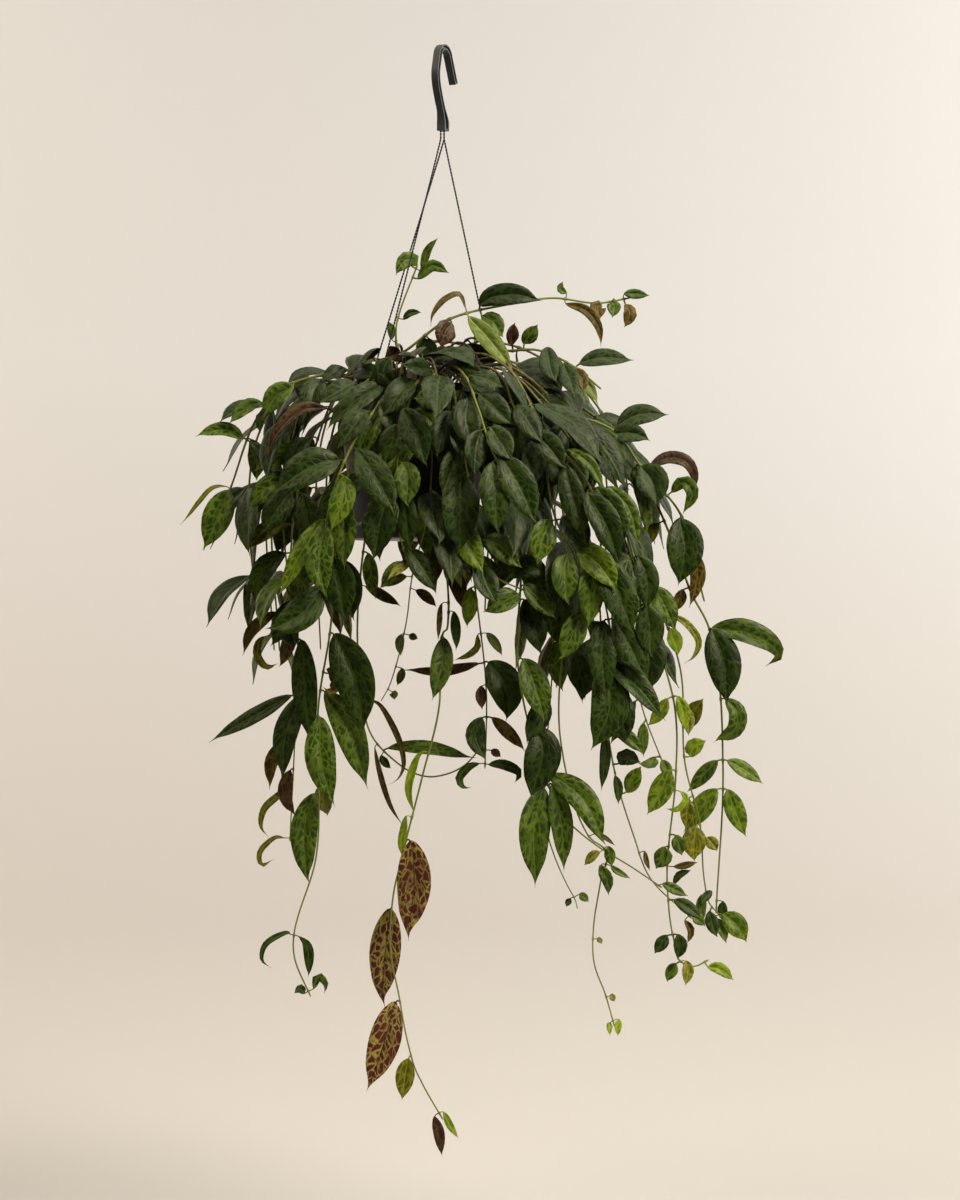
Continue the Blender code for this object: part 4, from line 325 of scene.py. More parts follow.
draw_vine("vine_left_front", (232, 48), 1.5, route=[
    (392, 384, 90), (374, 412, 112), (350, 450, 122), (338, 490, 122), (327, 520, 116),
    (326, 556, 108), (328, 594, 100)
], leaves=[
    ("old", 25, 15, (388, 387), (360, 388, 14), (322, 428, 12)),
    ("old", 24, 20, (390, 384), (377, 372, 6), (392, 354, 4)),
    ("dark", 22, 20, (398, 384), (404, 374, 12), (408, 358, 14)),
    ("dark", 38, 22, (345, 462), (312, 456, 14), (272, 494, 10)),
    ("bright", 26, 15, (342, 476), (350, 492, 14), (331, 532, 14)),
    ("green", 30, 10, (327, 522), (312, 560, 12), (326, 600, 12)),
    ("bright", 23, 20, (326, 528), (296, 552, 6), (278, 601, 4)),
    ("dark", 34, 15, (328, 592), (300, 622, 12), (266, 632, 10)),
    ("dark", 34, 10, (327, 558), (346, 580, 8), (344, 622, 8)),
    ("green", 28, 20, (336, 496), (350, 520, 8), (344, 570, 8)),
    ("dark", 36, 15, (352, 448), (376, 470, 10), (392, 520, 6)),
    ("dark", 26, 25, (372, 416), (352, 420, 14), (338, 450, 14)),
    ("green", 28, 20, (378, 402), (374, 420, 16), (357, 459, 16)),
])
draw_vine("vine_left_inner", (222, 28), 1.4, back=70, route=[
    (372, 376, 66), (340, 400, 92), (312, 440, 98), (296, 500, 94), (290, 560, 86),
    (280, 612, 76), (268, 640, 70)
], leaves=[
    ("maroon", 17, 45, (330, 410), (300, 410, 4), (276, 434, 2), (267, 460, 0)),
    ("old", 24, 15, (312, 440), (298, 446, 10), (284, 474, 8)),
    ("green", 22, 12, (307, 452), (274, 450, -2), (254, 472, -4)),
    ("green", 25, 12, (300, 480), (264, 480, -4), (246, 510, -6)),
    ("olive", 20, 20, (294, 524), (262, 526, -4), (246, 550, -6)),
    ("dark", 30, 20, (297, 492), (278, 500, 8), (262, 536, 6)),
    ("dark", 28, 15, (296, 500), (310, 514, 10), (312, 548, 10)),
    ("dark", 24, 20, (290, 552), (254, 566, 6), (254, 606, 4)),
    ("green", 26, 15, (289, 560), (302, 580, 10), (300, 614, 10)),
    ("brown", 14, 20, (280, 612), (242, 628, 4), (243, 656, 2)),
    ("olive", 10, 30, (270, 637), (258, 644, 2), (258, 657, 2), (267, 667, 4), (279, 663, 4)),
    ("dark", 24, 25, (280, 612), (290, 622, 8), (296, 650, 8)),
    ("old", 24, 30, (355, 386), (338, 388, 12), (318, 404, 14)),
])
draw_vine("vine_left_trail", (240, 30), 1.3, back=35, route=[
    (388, 370, 84), (362, 430, 118), (342, 500, 114), (332, 574, 104), (330, 632, 96),
    (322, 676, 92), (318, 717, 88), (316, 800, 80), (317, 850, 76), (309, 890, 74),
    (300, 935, 72), (295, 962, 72), (301, 979, 72), (310, 995, 72)
], leaves=[
    ("dark", 42, 10, (330, 634), (364, 674, 12), (364, 735, 8)),
    ("green", 32, 15, (320, 690), (354, 712, 10), (368, 790, 8)),
    ("green", 32, 8, (318, 717), (316, 762, 14), (334, 808, 16)),
    ("green", 28, 8, (316, 795), (296, 824, 12), (307, 886, 12)),
    ("olive", 20, 20, (317, 784), (326, 800, -4), (331, 820, -6)),
    ("brown", 16, 30, (322, 672), (331, 669, 4), (339, 681, 8), (331, 692, 10), (322, 687, 10)),
    ("dark", 7, 25, (300, 936), (285, 933, 2), (266, 944, 4), (262, 960, 5), (272, 968, 6)),
    ("dark", 11, 10, (300, 937), (313, 946, 4), (309, 978, 4)),
    ("green", 9, 10, (307, 990), (318, 976, 3), (326, 984, 5), (324, 994, 6)),
    ("dark", 10, 10, (308, 993), (298, 984, 3), (295, 996, 4)),
    ("dark", 28, 20, (336, 545), (318, 556, 8), (300, 590, 4)),
    ("dark", 30, 15, (334, 560), (354, 576, 6), (352, 622, 4)),
])
draw_vine("vine_left_low", (212, 46), 1.2, back=110, route=[
    (350, 370, 62), (320, 430, 74), (304, 520, 66), (300, 600, 64), (297, 690, 62),
    (295, 735, 60), (293, 765, 60), (293, 806, 58), (290, 840, 58)
], leaves=[
    ("dark", 18, 25, (297, 696), (258, 713, 4), (208, 742, 4)),
    ("old", 26, 10, (296, 700), (280, 736, 10), (283, 782, 10)),
    ("brown", 17, 25, (294, 740), (264, 758, -6), (270, 790, -8)),
    ("olive", 9, 30, (294, 778), (281, 793, 2), (265, 808, 2), (261, 826, 3), (269, 838, 4)),
    ("maroon", 18, 20, (293, 768), (272, 800, -8), (292, 820, -10)),
    ("olive", 7, 30, (290, 840), (274, 838, 2), (260, 852, 3), (262, 865, 5), (275, 858, 8)),
    ("dark", 24, 20, (300, 600), (284, 616, 4), (272, 648, 2)),
    ("brown", 20, 20, (300, 626), (280, 640, 4), (285, 660, 4)),
    ("dark", 34, 8, (299, 640), (300, 684, 12), (301, 735, 12)),
    ("old", 24, 25, (312, 476), (292, 482, 2), (264, 512, 0)),
    ("dark", 28, 15, (318, 440), (300, 450, -6), (288, 488, -8)),
    ("dark", 28, 20, (306, 506), (286, 520, -6), (274, 556, -8)),
])
draw_vine("vine_u_loop", (246, 20), 1.3, back=50, route=[
    (402, 366, 88), (388, 430, 108), (372, 500, 96), (360, 580, 84), (358, 660, 72),
    (368, 726, 62), (383, 749, 60), (400, 765, 58), (419, 775, 58), (440, 776, 60),
    (465, 765, 64), (478, 751, 68)
], leaves=[
    ("green", 19, 40, (385, 751), (428, 744, 6), (476, 759, 10)),
    ("brown", 7, 20, (366, 700), (382, 707, 4), (399, 739, 6), (404, 764, 8), (398, 779, 8),
     (387, 785, 8)),
    ("brown", 7, 30, (379, 742), (380, 772, 6), (390, 804, 6), (404, 828, 4)),
    ("dark", 9, 10, (383, 749), (380, 762, 4), (391, 769, 6)),
    ("green", 17, 20, (364, 552), (373, 572, 6), (375, 600, 4)),
    ("brown", 12, 20, (361, 586), (386, 598, 4), (402, 606, 4)),
])
draw_vine("vine_centre_left", (262, 8), 0.95, back=85, route=[
    (424, 364, 92), (430, 430, 104), (428, 500, 96), (418, 560, 74), (411, 600, 70),
    (405, 635, 68), (393, 680, 66), (383, 702, 66)
], leaves=[
    ("brown", 11, 10, (413, 589), (425, 593, 3), (437, 607, 3)),
    ("olive", 11, 15, (416, 577), (400, 575, 3), (382, 587, 3)),
    ("green", 8, 10, (406, 634), (412, 636, 2), (418, 639, 2)),
    ("pale", 10, 10, (404, 640), (396, 644, 2), (400, 657, 2)),
    ("green", 9, 10, (398, 668), (407, 673, 2), (397, 686, 2)),
    ("pale", 9, 10, (389, 687), (397, 690, 2), (394, 700, 2)),
])
draw_vine("vine_centre_long", (268, 36), 1.25, back=55, route=[
    (436, 372, 78), (444, 440, 100), (446, 542, 98), (446, 622, 92), (443, 641, 91),
    (438, 702, 88), (428, 745, 86), (415, 813, 84), (401, 859, 82), (393, 905, 80),
    (394, 950, 78), (396, 994, 76), (410, 1047, 74), (426, 1086, 72), (443, 1117, 70)
], leaves=[
    ("green", 24, 8, (444, 638), (446, 668, 10), (433, 705, 10)),
    ("young", 9, 20, (427, 752), (415, 764, -3), (409, 790, -4), (415, 816, -6)),
    ("young", 9, 20, (414, 818), (404, 830, -3), (402, 846, -6), (408, 861, -9)),
    ("mottled", 35, 5, (408, 841), (422, 884, 6), (406, 941, 6)),
    ("mottled", 39, 5, (393, 912), (380, 964, 8), (389, 1014, 8)),
    ("mottled", 33, 5, (396, 1002), (383, 1045, 6), (367, 1092, 6)),
    ("olive", 20, 10, (412, 1052), (405, 1072, 6), (402, 1101, 6)),
    ("maroon", 12, 5, (440, 1112), (437, 1130, 3), (442, 1157, 3)),
    ("young", 8, 10, (443, 1116), (450, 1124, 3), (459, 1139, 3)),
    ("dark", 11, 15, (446, 612), (458, 628, 4), (456, 651, 4)),
    ("brown", 6, 10, (445, 604), (436, 620, 4), (438, 642, 4)),
    ("pale", 9, 20, (446, 566), (458, 566, 4), (462, 588, 4)),
    ("maroon", 20, 25, (446, 568), (460, 578, -6), (464, 614, -8)),
    ("maroon", 16, 20, (446, 542), (436, 556, -4), (438, 588, -4)),
])
draw_vine("vine_right_of_centre", (296, 10), 1.2, back=25, route=[
    (462, 356, 56), (474, 410, 98), (474, 470, 96), (472, 540, 92), (475, 589, 90),
    (480, 637, 88),
    (484, 672, 86), (487, 715, 84), (485, 767, 82)
], leaves=[
    ("dark", 36, 8, (485, 662), (515, 682, 10), (509, 722, 8)),
    ("maroon", 17, 50, (481, 656), (468, 667, -5), (438, 672, -9), (402, 669, -10)),
    ("maroon", 12, 10, (486, 685), (478, 694, 6), (482, 710, 8)),
    ("brown", 15, 25, (487, 718), (510, 731, 6), (526, 751, 6)),
    ("maroon", 9, 20, (486, 750), (494, 750, 3), (501, 757, 3)),
    ("old", 22, 20, (486, 722), (464, 734, 6), (486, 761, 8)),
    ("olive", 8, 25, (478, 634), (478, 647, 4), (468, 656, 5), (453, 660, 6)),
    ("young", 17, 10, (475, 588), (468, 606, 6), (466, 628, 6)),
    ("pale", 10, 15, (479, 628), (496, 638, 3), (503, 656, 3)),
    ("dark", 10, 25, (485, 764), (468, 767, 2), (459, 778, 3), (463, 787, 4), (472, 788, 5)),
    ("dark", 12, 25, (486, 765), (504, 765, 3), (519, 773, 4), (514, 784, 5)),
    ("green", 24, 15, (473, 556), (488, 566, 6), (500, 598, 6)),
])
draw_vine("vine_right_inner", (288, 6), 1.3, route=[
    (476, 358, 66), (508, 430, 92), (520, 520, 98), (521, 602, 96), (519, 672, 92),
    (530, 732, 90), (541, 762, 88), (550, 790, 86), (562, 815, 84), (593, 842, 80),
    (632, 868, 74), (662, 888, 70)
], leaves=[
    ("dark", 38, 10, (531, 728), (556, 740, 10), (529, 800, 12)),
    ("green", 34, 8, (549, 785), (524, 822, 12), (535, 885, 14)),
    ("green", 24, 15, (551, 790), (566, 820, 8), (564, 873, 8)),
    ("green", 28, 8, (546, 777), (594, 790, 18), (605, 848, 20)),
    ("green", 30, 12, (519, 660), (536, 680, 10), (546, 724, 10)),
    ("dark", 28, 15, (521, 600), (536, 616, 10), (540, 656, 10)),
    ("green", 30, 15, (522, 560), (540, 576, 10), (546, 616, 10)),
    ("green", 12, 20, (662, 888), (678, 889, 4), (688, 897, 6)),
    ("dark", 24, 15, (521, 540), (508, 556, 8), (500, 592, 6)),
])
draw_vine("vine_right_thin", (330, 14), 1.15, back=10, route=[
    (494, 356, 52), (546, 440, 86), (566, 560, 90), (564, 680, 82), (560, 740, 78),
    (572, 800, 74), (588, 836, 72), (604, 850, 70), (599, 882, 68), (593, 923, 67),
    (592, 957, 66), (600, 978, 66), (608, 1000, 66), (613, 1026, 66)
], leaves=[
    ("olive", 10, 10, (604, 850), (594, 852, 4), (584, 866, 5)),
    ("green", 12, 10, (604, 852), (612, 856, 4), (612, 867, 4)),
    ("green", 7, 10, (602, 866), (618, 871, 4), (631, 879, 4)),
    ("green", 13, 10, (600, 870), (609, 880, 4), (608, 896, 5)),
    ("olive", 6, 20, (593, 940), (600, 936, 2), (602, 944, 3)),
    ("olive", 7, 10, (607, 996), (613, 991, 2), (614, 1002, 3)),
    ("young", 8, 10, (612, 1022), (620, 1026, 2), (618, 1036, 3)),
    ("young", 7, 10, (612, 1020), (607, 1026, 2), (610, 1036, 3)),
    ("dark", 30, 12, (566, 590), (552, 606, 8), (556, 648, 8)),
    ("dark", 28, 20, (565, 650), (580, 660, 6), (586, 700, 6)),
    ("brown", 5, 10, (588, 836), (604, 832, 3), (616, 846, 4)),
])
draw_vine("vine_right_bud", (322, 50), 1.0, back=-20, route=[
    (520, 386, 84), (552, 460, 100), (556, 600, 92), (548, 720, 82), (540, 786, 76),
    (546, 830, 74), (562, 873, 72), (574, 898, 72), (577, 908, 72)
], leaves=[
    ("green", 9, 10, (574, 896), (583, 892, 2), (589, 902, 3)),
    ("dark", 7, 10, (575, 900), (568, 900, 2), (566, 907, 3)),
    ("green", 26, 15, (556, 590), (544, 606, 8), (536, 640, 8)),
    ("green", 26, 15, (553, 640), (562, 660, 8), (570, 700, 8)),
    ("dark", 26, 15, (550, 696), (540, 712, 8), (524, 744, 8)),
])
draw_vine("vine_right_hang", (345, 48), 1.3, back=40, route=[
    (544, 398, 76), (592, 470, 92), (628, 560, 88), (646, 622, 84), (668, 676, 78),
    (676, 720, 74), (676, 764, 72), (672, 820, 70), (668, 878, 68), (669, 905, 68),
    (673, 936, 68), (681, 961, 68), (694, 966, 68), (707, 961, 68)
], leaves=[
    ("dark", 37, 12, (647, 622), (651, 658, 12), (644, 698, 12)),
    ("green", 28, 15, (646, 620), (632, 640, 10), (636, 676, 10)),
    ("young", 15, 15, (673, 698), (662, 712, 4), (648, 727, 4)),
    ("young", 15, 15, (676, 700), (688, 712, 4), (685, 732, 4)),
    ("green", 26, 10, (628, 560), (646, 572, 8), (654, 613, 8)),
    ("bright", 24, 12, (675, 772), (660, 790, 6), (647, 816, 6)),
    ("young", 8, 20, (675, 790), (686, 799, 4), (678, 809, 4), (665, 809, 4)),
    ("green", 16, 15, (671, 834), (680, 840, 4), (682, 856, 4)),
    ("green", 20, 15, (669, 846), (664, 856, 6), (655, 869, 6)),
    ("brown", 8, 15, (669, 866), (684, 868, 4), (698, 862, 4)),
    ("dark", 8, 15, (668, 884), (679, 873, 4), (692, 870, 4)),
    ("dark", 14, 10, (671, 934), (662, 941, 4), (654, 954, 4)),
    ("dark", 15, 10, (673, 938), (685, 945, 4), (677, 960, 5)),
    ("green", 13, 10, (680, 960), (671, 969, 3), (666, 982, 4)),
    ("olive", 13, 15, (682, 962), (691, 971, 4), (683, 988, 4)),
    ("young", 13, 10, (706, 961), (721, 967, 3), (734, 981, 4)),
    ("dark", 15, 20, (669, 900), (686, 903, 6), (703, 920, 8)),
])
draw_vine("vine_right_curl", (352, 26), 1.2, back=75, route=[
    (540, 384, 50), (600, 450, 68), (640, 560, 70), (668, 640, 66), (682, 676, 62),
    (685, 764, 60), (694, 800, 60), (701, 831, 60), (704, 880, 60), (709, 903, 60),
    (720, 916, 60)
], leaves=[
    ("olive", 15, 10, (693, 796), (684, 806, 6), (686, 830, 6)),
    ("olive", 26, 10, (699, 824), (691, 842, 8), (693, 862, 8)),
    ("olive", 14, 10, (702, 838), (711, 838, 4), (718, 851, 5)),
    ("bright", 24, 10, (719, 915), (736, 920, 8), (748, 942, 8)),
    ("green", 16, 25, (720, 916), (724, 932, 2), (737, 945, 2)),
    ("dark", 15, 15, (712, 908), (708, 922, 6), (717, 938, 8)),
    ("green", 12, 20, (706, 892), (696, 908, 8), (704, 922, 10)),
    ("young", 18, 10, (685, 757), (692, 745, 5), (706, 741, 6)),
    ("dark", 11, 20, (707, 896), (702, 897, 6), (695, 903, 6)),
    ("olive", 20, 20, (684, 726), (697, 711, 4), (706, 697, 4)),
    ("olive", 16, 25, (684, 706), (694, 716, 8), (690, 733, 8)),
    ("young", 18, 25, (664, 630), (675, 637, 6), (679, 656, 6)),
    ("olive", 9, 30, (661, 618), (683, 621, 4), (698, 640, 4), (694, 656, 4), (684, 664, 4)),
    ("green", 26, 20, (650, 588), (664, 600, 6), (676, 632, 6)),
])
draw_vine("vine_far_right", (5, 46), 1.4, back=60, route=[
    (556, 392, 30), (620, 440, 40), (664, 520, 44), (690, 590, 42), (709, 628, 40),
    (719, 680, 38), (722, 723, 38), (723, 761, 38), (722, 790, 38), (721, 830, 38),
    (718, 880, 38), (716, 912, 38)
], leaves=[
    ("dark", 37, 8, (709, 630), (730, 660, 12), (726, 706, 12)),
    ("green", 28, 28, (710, 628), (742, 632, 4), (768, 643, 2), (778, 656, 0), (764, 664, -2)),
    ("green", 20, 15, (721, 700), (737, 712, 4), (734, 730, 5), (712, 741, 5)),
    ("green", 17, 20, (722, 760), (704, 772, 6), (687, 793, 6)),
    ("bright", 17, 20, (723, 761), (744, 767, 4), (764, 784, 4)),
    ("bright", 24, 12, (722, 790), (702, 804, 6), (683, 833, 6)),
    ("bright", 22, 12, (722, 791), (736, 808, 4), (746, 838, 4)),
    ("dark", 12, 15, (717, 900), (722, 912, -4), (722, 926, -6)),
    ("brown", 14, 20, (690, 588), (678, 594, -4), (676, 612, -6)),
    ("olive", 20, 25, (664, 520), (644, 540, 2), (632, 552, 2)),
])
draw_vine("vine_right_low", (338, 22), 1.15, back=95, route=[
    (520, 370, 56), (580, 450, 80), (614, 570, 84), (630, 650, 80), (640, 700, 78),
    (648, 719, 78), (655, 742, 78), (662, 762, 78)
], leaves=[
    ("green", 14, 30, (647, 718), (640, 734, 6), (644, 757, 8)),
    ("green", 14, 15, (640, 700), (624, 722, 4), (609, 745, 4)),
    ("bright", 13, 15, (660, 757), (664, 764, 6), (671, 780, 8)),
    ("bright", 14, 15, (660, 757), (652, 768, 5), (638, 764, 6)),
])
draw_vine("vine_right_slant", (318, 32), 1.15, back=30, route=[
    (508, 366, 70), (560, 460, 104), (596, 580, 98), (606, 700, 88), (614, 762, 84),
    (621, 795, 80), (636, 836, 76), (645, 869, 72), (668, 899, 66), (690, 918, 62)
], leaves=[
    ("bright", 18, 15, (620, 794), (634, 783, 6), (641, 765, 8)),
    ("dark", 10, 12, (616, 772), (620, 788, 6), (618, 805, 8)),
    ("old", 12, 15, (609, 734), (605, 758, 8), (601, 792, 8)),
    ("green", 15, 15, (608, 726), (628, 730, 6), (644, 754, 8)),
    ("dark", 18, 15, (613, 764), (626, 750, 8), (641, 763, 8)),
    ("green", 12, 15, (689, 917), (698, 918, 6), (706, 926, 8)),
    ("brown", 8, 20, (690, 918), (694, 932, 4), (687, 944, 6)),
    ("brown", 6, 20, (640, 852), (647, 858, 4), (650, 871, 5)),
    ("dark", 32, 12, (600, 640), (584, 662, 10), (580, 704, 10)),
    ("dark", 32, 12, (604, 688), (622, 704, 12), (628, 744, 12)),
])
draw_vine("vine_front_far_right", (328, 58), 1.4, route=[
    (532, 392, 90), (570, 440, 116), (612, 500, 120), (634, 560, 114), (640, 610, 104)
], leaves=[
    ("green", 18, 15, (606, 489), (636, 500, 10), (639, 547, 8)),
    ("old", 30, 12, (612, 502), (600, 516, 12), (606, 552, 12)),
    ("dark", 25, 12, (634, 558), (654, 572, 8), (646, 612, 8)),
    ("dark", 28, 12, (634, 560), (620, 576, 12), (624, 612, 14)),
    ("old", 26, 15, (570, 438), (586, 436, 10), (604, 460, 10)),
    ("old", 26, 12, (580, 452), (572, 468, 14), (580, 500, 16)),
    ("dark", 30, 12, (640, 606), (654, 622, 6), (650, 660, 6)),
])


# The vines. They are worked out in millimetres, stems first and leaves after, and each new piece is
# tried against all that is placed, so that nothing crosses.
NEEDED_CLEAR = 0.5
# Roots: how deep and thick, how far apart, and between which distances from the pot's middle.
ROOT_DEPTH = 12
ROOT_RADIUS = 1.7
ROOTS_APART = 5.6
ROOT_CIRCLE = (4, 66)
# Nodes, the short swollen lengths of stem that leaves grow from, and the bud at its end.
NODE_HALF = 1.8
NODE_SWELL = 1.35
NODES_APART = 6.5
FIRST_NODE = 8.0
BUD = 2.5
# A stem's straight runs may leave its curve by this much.
STEM_SLACK = 2.7
# How often a stem, a drawn leaf and a leaf of the rule are tried.
STEM_TRIES = 300
DRAWN_TRIES = 50
RULE_TRIES = 22
# Leaves at least this wide take three rings of points, or a ring at their neck.
WIDE_LEAF = 31
NECKED_LEAF = 27
# A leaf drawn with two points keeps this share of its bend where there is room.
BOW_KEPT = 0.5
# The foliage's rounded top: this high over the rim as far out as the flat, then falling off.
DOME_RISE = 26
DOME_FLAT = 95
DOME_FALL = 0.006
# A leaf's stalk, its neck there, and where its rings are as shares of the blade.
PETIOLE = 5.5
NECK_WIDE = 2.4
NECK_THICK = 0.95
STATIONS = (0.26, 0.51, 0.78)
FEW_STATIONS = (0.3, 0.68)
CURLED_STATIONS = (0.22, 0.48, 0.75)
SQUARE = math.radians(90)
THIRD = math.radians(120)


def seen(right, down, near):
    """A point of the front elevation, moved along the sight line until it lies this near."""
    flat = Vector((right - SHEET_SEAT[0], 0, SHEET_SEAT[1] - down))
    return EYE.lerp(flat, (-EYE.y - near) / -EYE.y)


def outline(s):
    """How wide a blade is at this part of its length, as a share of its full width."""
    return 1.04 * math.sin(math.pi * min(1, s) ** 0.9) ** 0.9 * (1 - 0.1 * s)


def smooth_line(points, step=3.0):
    """A Catmull-Rom curve through the points, as a fine polyline."""
    ends = [points[0] * 2 - points[1], *points, points[-1] * 2 - points[-2]]
    line = []
    for a, b, c, d in zip(ends, ends[1:], ends[2:], ends[3:]):
        count = max(2, int((c - b).length / step))
        for i in range(count):
            t = i / count
            line.append(0.5 * (2 * b + (c - a) * t + (2 * a - 5 * b + 4 * c - d) * t * t
                               + (3 * b - a - 3 * c + d) * t ** 3))
    return [*line, points[-1].copy()]


def along_path(path):
    """The way along a run of points at each of them."""
    return [(after - before).normalized() for before, after in zip(path[:1] + path, path[1:] + path[-1:])]


def carried(headings):
    """A way across each heading in turn, carried on from the last without a twist."""
    across = Vector((1, 0, 0))
    for heading in headings:
        across = (across - heading * across.dot(heading)).normalized()
        yield across


class Line:
    """A polyline that can be read by its length."""

    def __init__(self, points):
        self.points = points
        self.far = [0.0]
        for a, b in zip(points, points[1:]):
            self.far.append(self.far[-1] + (b - a).length)
        self.length = self.far[-1]

    def at(self, s):
        """The point at this length."""
        s = clamped(s, 0.0, self.length)
        i = clamped(bisect.bisect_right(self.far, s) - 1, 0, len(self.points) - 2)
        span = self.far[i + 1] - self.far[i] or 1.0
        return self.points[i].lerp(self.points[i + 1], (s - self.far[i]) / span)

    def heading(self, s, reach=2.5):
        """The way the line runs at this length, taken over a short reach to both sides."""
        return (self.at(s + reach) - self.at(s - reach)).normalized()

    def nearest(self, point):
        """The length along the line that is nearest to this point in the front view."""
        ray = (point - EYE).normalized()
        places = [self.length * i / 300 for i in range(301)]
        reaches = [self.at(s) - EYE for s in places]
        gaps = [(reach - ray * reach.dot(ray)).length for reach in reaches]
        return places[gaps.index(min(gaps))]


def stops(line, start, end, slack):
    """Lengths between start and end where a straight run would leave the line by more than slack."""
    a, b = line.at(start), line.at(end)
    along = (b - a).normalized()
    worst, where = slack, None
    steps = int((end - start) / 3)
    for i in range(1, steps):
        s = start + (end - start) * i / steps
        off = line.at(s) - a
        gap = (off - along * off.dot(along)).length
        if gap > worst:
            worst, where = gap, s
    if where is None:
        return []
    return [*stops(line, start, where, slack), where, *stops(line, where, end, slack)]


def box_of(points):
    """The lowest and highest value along each axis."""
    return [(min(p[i] for p in points), max(p[i] for p in points)) for i in range(3)]


def boxes_meet(a, b):
    """Whether two boxes touch or overlap."""
    return all(a[i][0] <= b[i][1] and b[i][0] <= a[i][1] for i in range(3))


class Placed:
    """All that is placed so far, as trees that a new piece is tried against."""

    def __init__(self):
        self.items = []
        self.vines = {}

    def add(self, points, faces):
        """Keeps a shape that each later piece has to clear."""
        self.items.append((box_of(points), BVHTree.FromPolygons(points, faces)))

    def keep(self, stem, points, faces):
        """Keeps a vine's whole body as it now is, unless it crosses itself or another vine."""
        box, own = box_of(points), BVHTree.FromPolygons(points, faces)
        if folds_into_itself(own, faces):
            return False
        if any(stem.name != name and boxes_meet(box, other) and own.overlap(tree)
               for name, (other, tree) in self.vines.items()):
            return False
        self.vines[stem.name] = box, own
        return True

    def clear(self, points, faces, skip=None, only=None):
        """Whether this shape crosses no placed item: any, any but one, or only one."""
        box = box_of(points)
        near = [tree for i, (other, tree) in enumerate(self.items)
                if i != skip and only in (None, i) and boxes_meet(box, other)]
        if not near:
            return True
        own = BVHTree.FromPolygons(points, faces)
        return not any(own.overlap(tree) for tree in near)


def folds_into_itself(tree, faces):
    """Whether triangles that share no corner cross each other."""
    return any(a < b and not set(faces[a]) & set(faces[b]) for a, b in tree.overlap(tree))


def prism(rings, tip=None):
    """Points and triangles of a run of four-point rings, open at its start and closed at its end."""
    points = [p for corners in rings for p in corners]
    faces = []
    for k in range(len(rings) - 1):
        a, b = 4 * k, 4 * k + 4
        faces += [(a, a + 1, b), (a + 1, b + 1, b), (a + 1, a + 2, b + 2), (a + 1, b + 2, b + 1),
                  (a + 2, a + 3, b + 2), (a + 3, b + 3, b + 2), (a + 3, a, b), (a + 3, b, b + 3)]
    last = 4 * len(rings) - 4
    if tip is None:
        faces += [(last, last + 1, last + 2), (last, last + 2, last + 3)]
    else:
        points.append(tip)
        faces += [(last + i, last + (i + 1) % 4, len(points) - 1) for i in range(4)]
    return points, faces


def ring(centre, heading, across, turn, radius, corners=4):
    """Corners round the heading, counterclockwise, the first turned from across."""
    side, ways = heading.cross(across), [turn + i * math.tau / corners for i in range(corners)]
    return [centre + (across * math.cos(way) + side * math.sin(way)) * radius for way in ways]


class Stem:
    """A vine's stem: its line, the short nodes that leaves grow from, and the rows of its drawn leaves."""

    def __init__(self, name, root, points, radius, rng):
        self.name = name
        self.root = root
        self.radius = radius
        self.rng = rng
        above = Vector((root.x, root.y, SOIL_TOP + 5))
        curve = Line(smooth_line([above, *points]))
        corners = [0.0, *stops(curve, 0.0, curve.length, STEM_SLACK), curve.length]
        self.line = Line([curve.at(s) for s in corners])
        self.nodes, self.rows = [], ()

    def girth(self, s):
        """The stem's radius, which tapers towards its end."""
        return self.radius * (1 - 0.4 * s / self.line.length)

    def trial(self, clear):
        """A plain tube round the stem, this much fatter than it."""
        places = [3.0, *[s for s in self.line.far if s > 8]]
        headings = [self.line.heading(s) for s in places]
        rings = [ring(self.line.at(s), heading, across, 0, self.radius * 1.3 + clear)
                 for s, heading, across in zip(places, headings, carried(headings))]
        return prism(rings, self.end(clear))

    def end(self, further=0.0):
        """The pointed bud that closes the stem."""
        return self.line.at(self.line.length) + self.line.heading(self.line.length) * (BUD + further)

    def node_at(self, s):
        """The node nearest to this length, or a new one where none is close."""
        last = self.line.length - NODE_HALF - 0.5
        s = clamped(s, FIRST_NODE, last)
        for node in self.nodes:
            if abs(node["s"] - s) < FIRST_NODE and len(node["leaves"]) < 3:
                return node
        for node in self.nodes:
            if abs(node["s"] - s) < 6:
                s = node["s"] + (NODES_APART if s >= node["s"] else -NODES_APART)
        s = clamped(s, FIRST_NODE, last)
        if any(abs(node["s"] - s) < 2 * NODE_HALF + 1 for node in self.nodes):
            return None
        node = {"s": s, "leaves": [], "turn": None}
        self.nodes.append(node)
        return node

    def frames(self):
        """The rings of the stem in order, as length, heading, across, turn and node."""
        marks = [(-3.5, None)]
        for node in sorted(self.nodes, key=lambda n: n["s"]):
            marks += [(node["s"] - NODE_HALF, node), (node["s"] + NODE_HALF, node)]
        marks.append((self.line.length, None))
        full = []
        for (s, node), (then, _) in zip(marks, marks[1:] + [(None, None)]):
            full.append((s, node))
            if then is not None and then - s > 2 * NODE_HALF + 0.01:
                full += [(mid, None) for mid in self.line.far[1:-1] if mid - s > 5 and then - mid > 5]
        turn, found = 0.0, []
        headings = [self.line.heading(node["s"] if node else s) for s, node in full]
        for (s, node), heading, across in zip(full, headings, carried(headings)):
            if node and node["turn"] is not None:
                side = heading.cross(across)
                wanted = math.atan2(node["turn"].dot(side), node["turn"].dot(across)) - THIRD / 2
                turn = wanted - THIRD * round((wanted - turn) / THIRD)
            found.append((s, heading, across, turn, node))
        return found[1:]


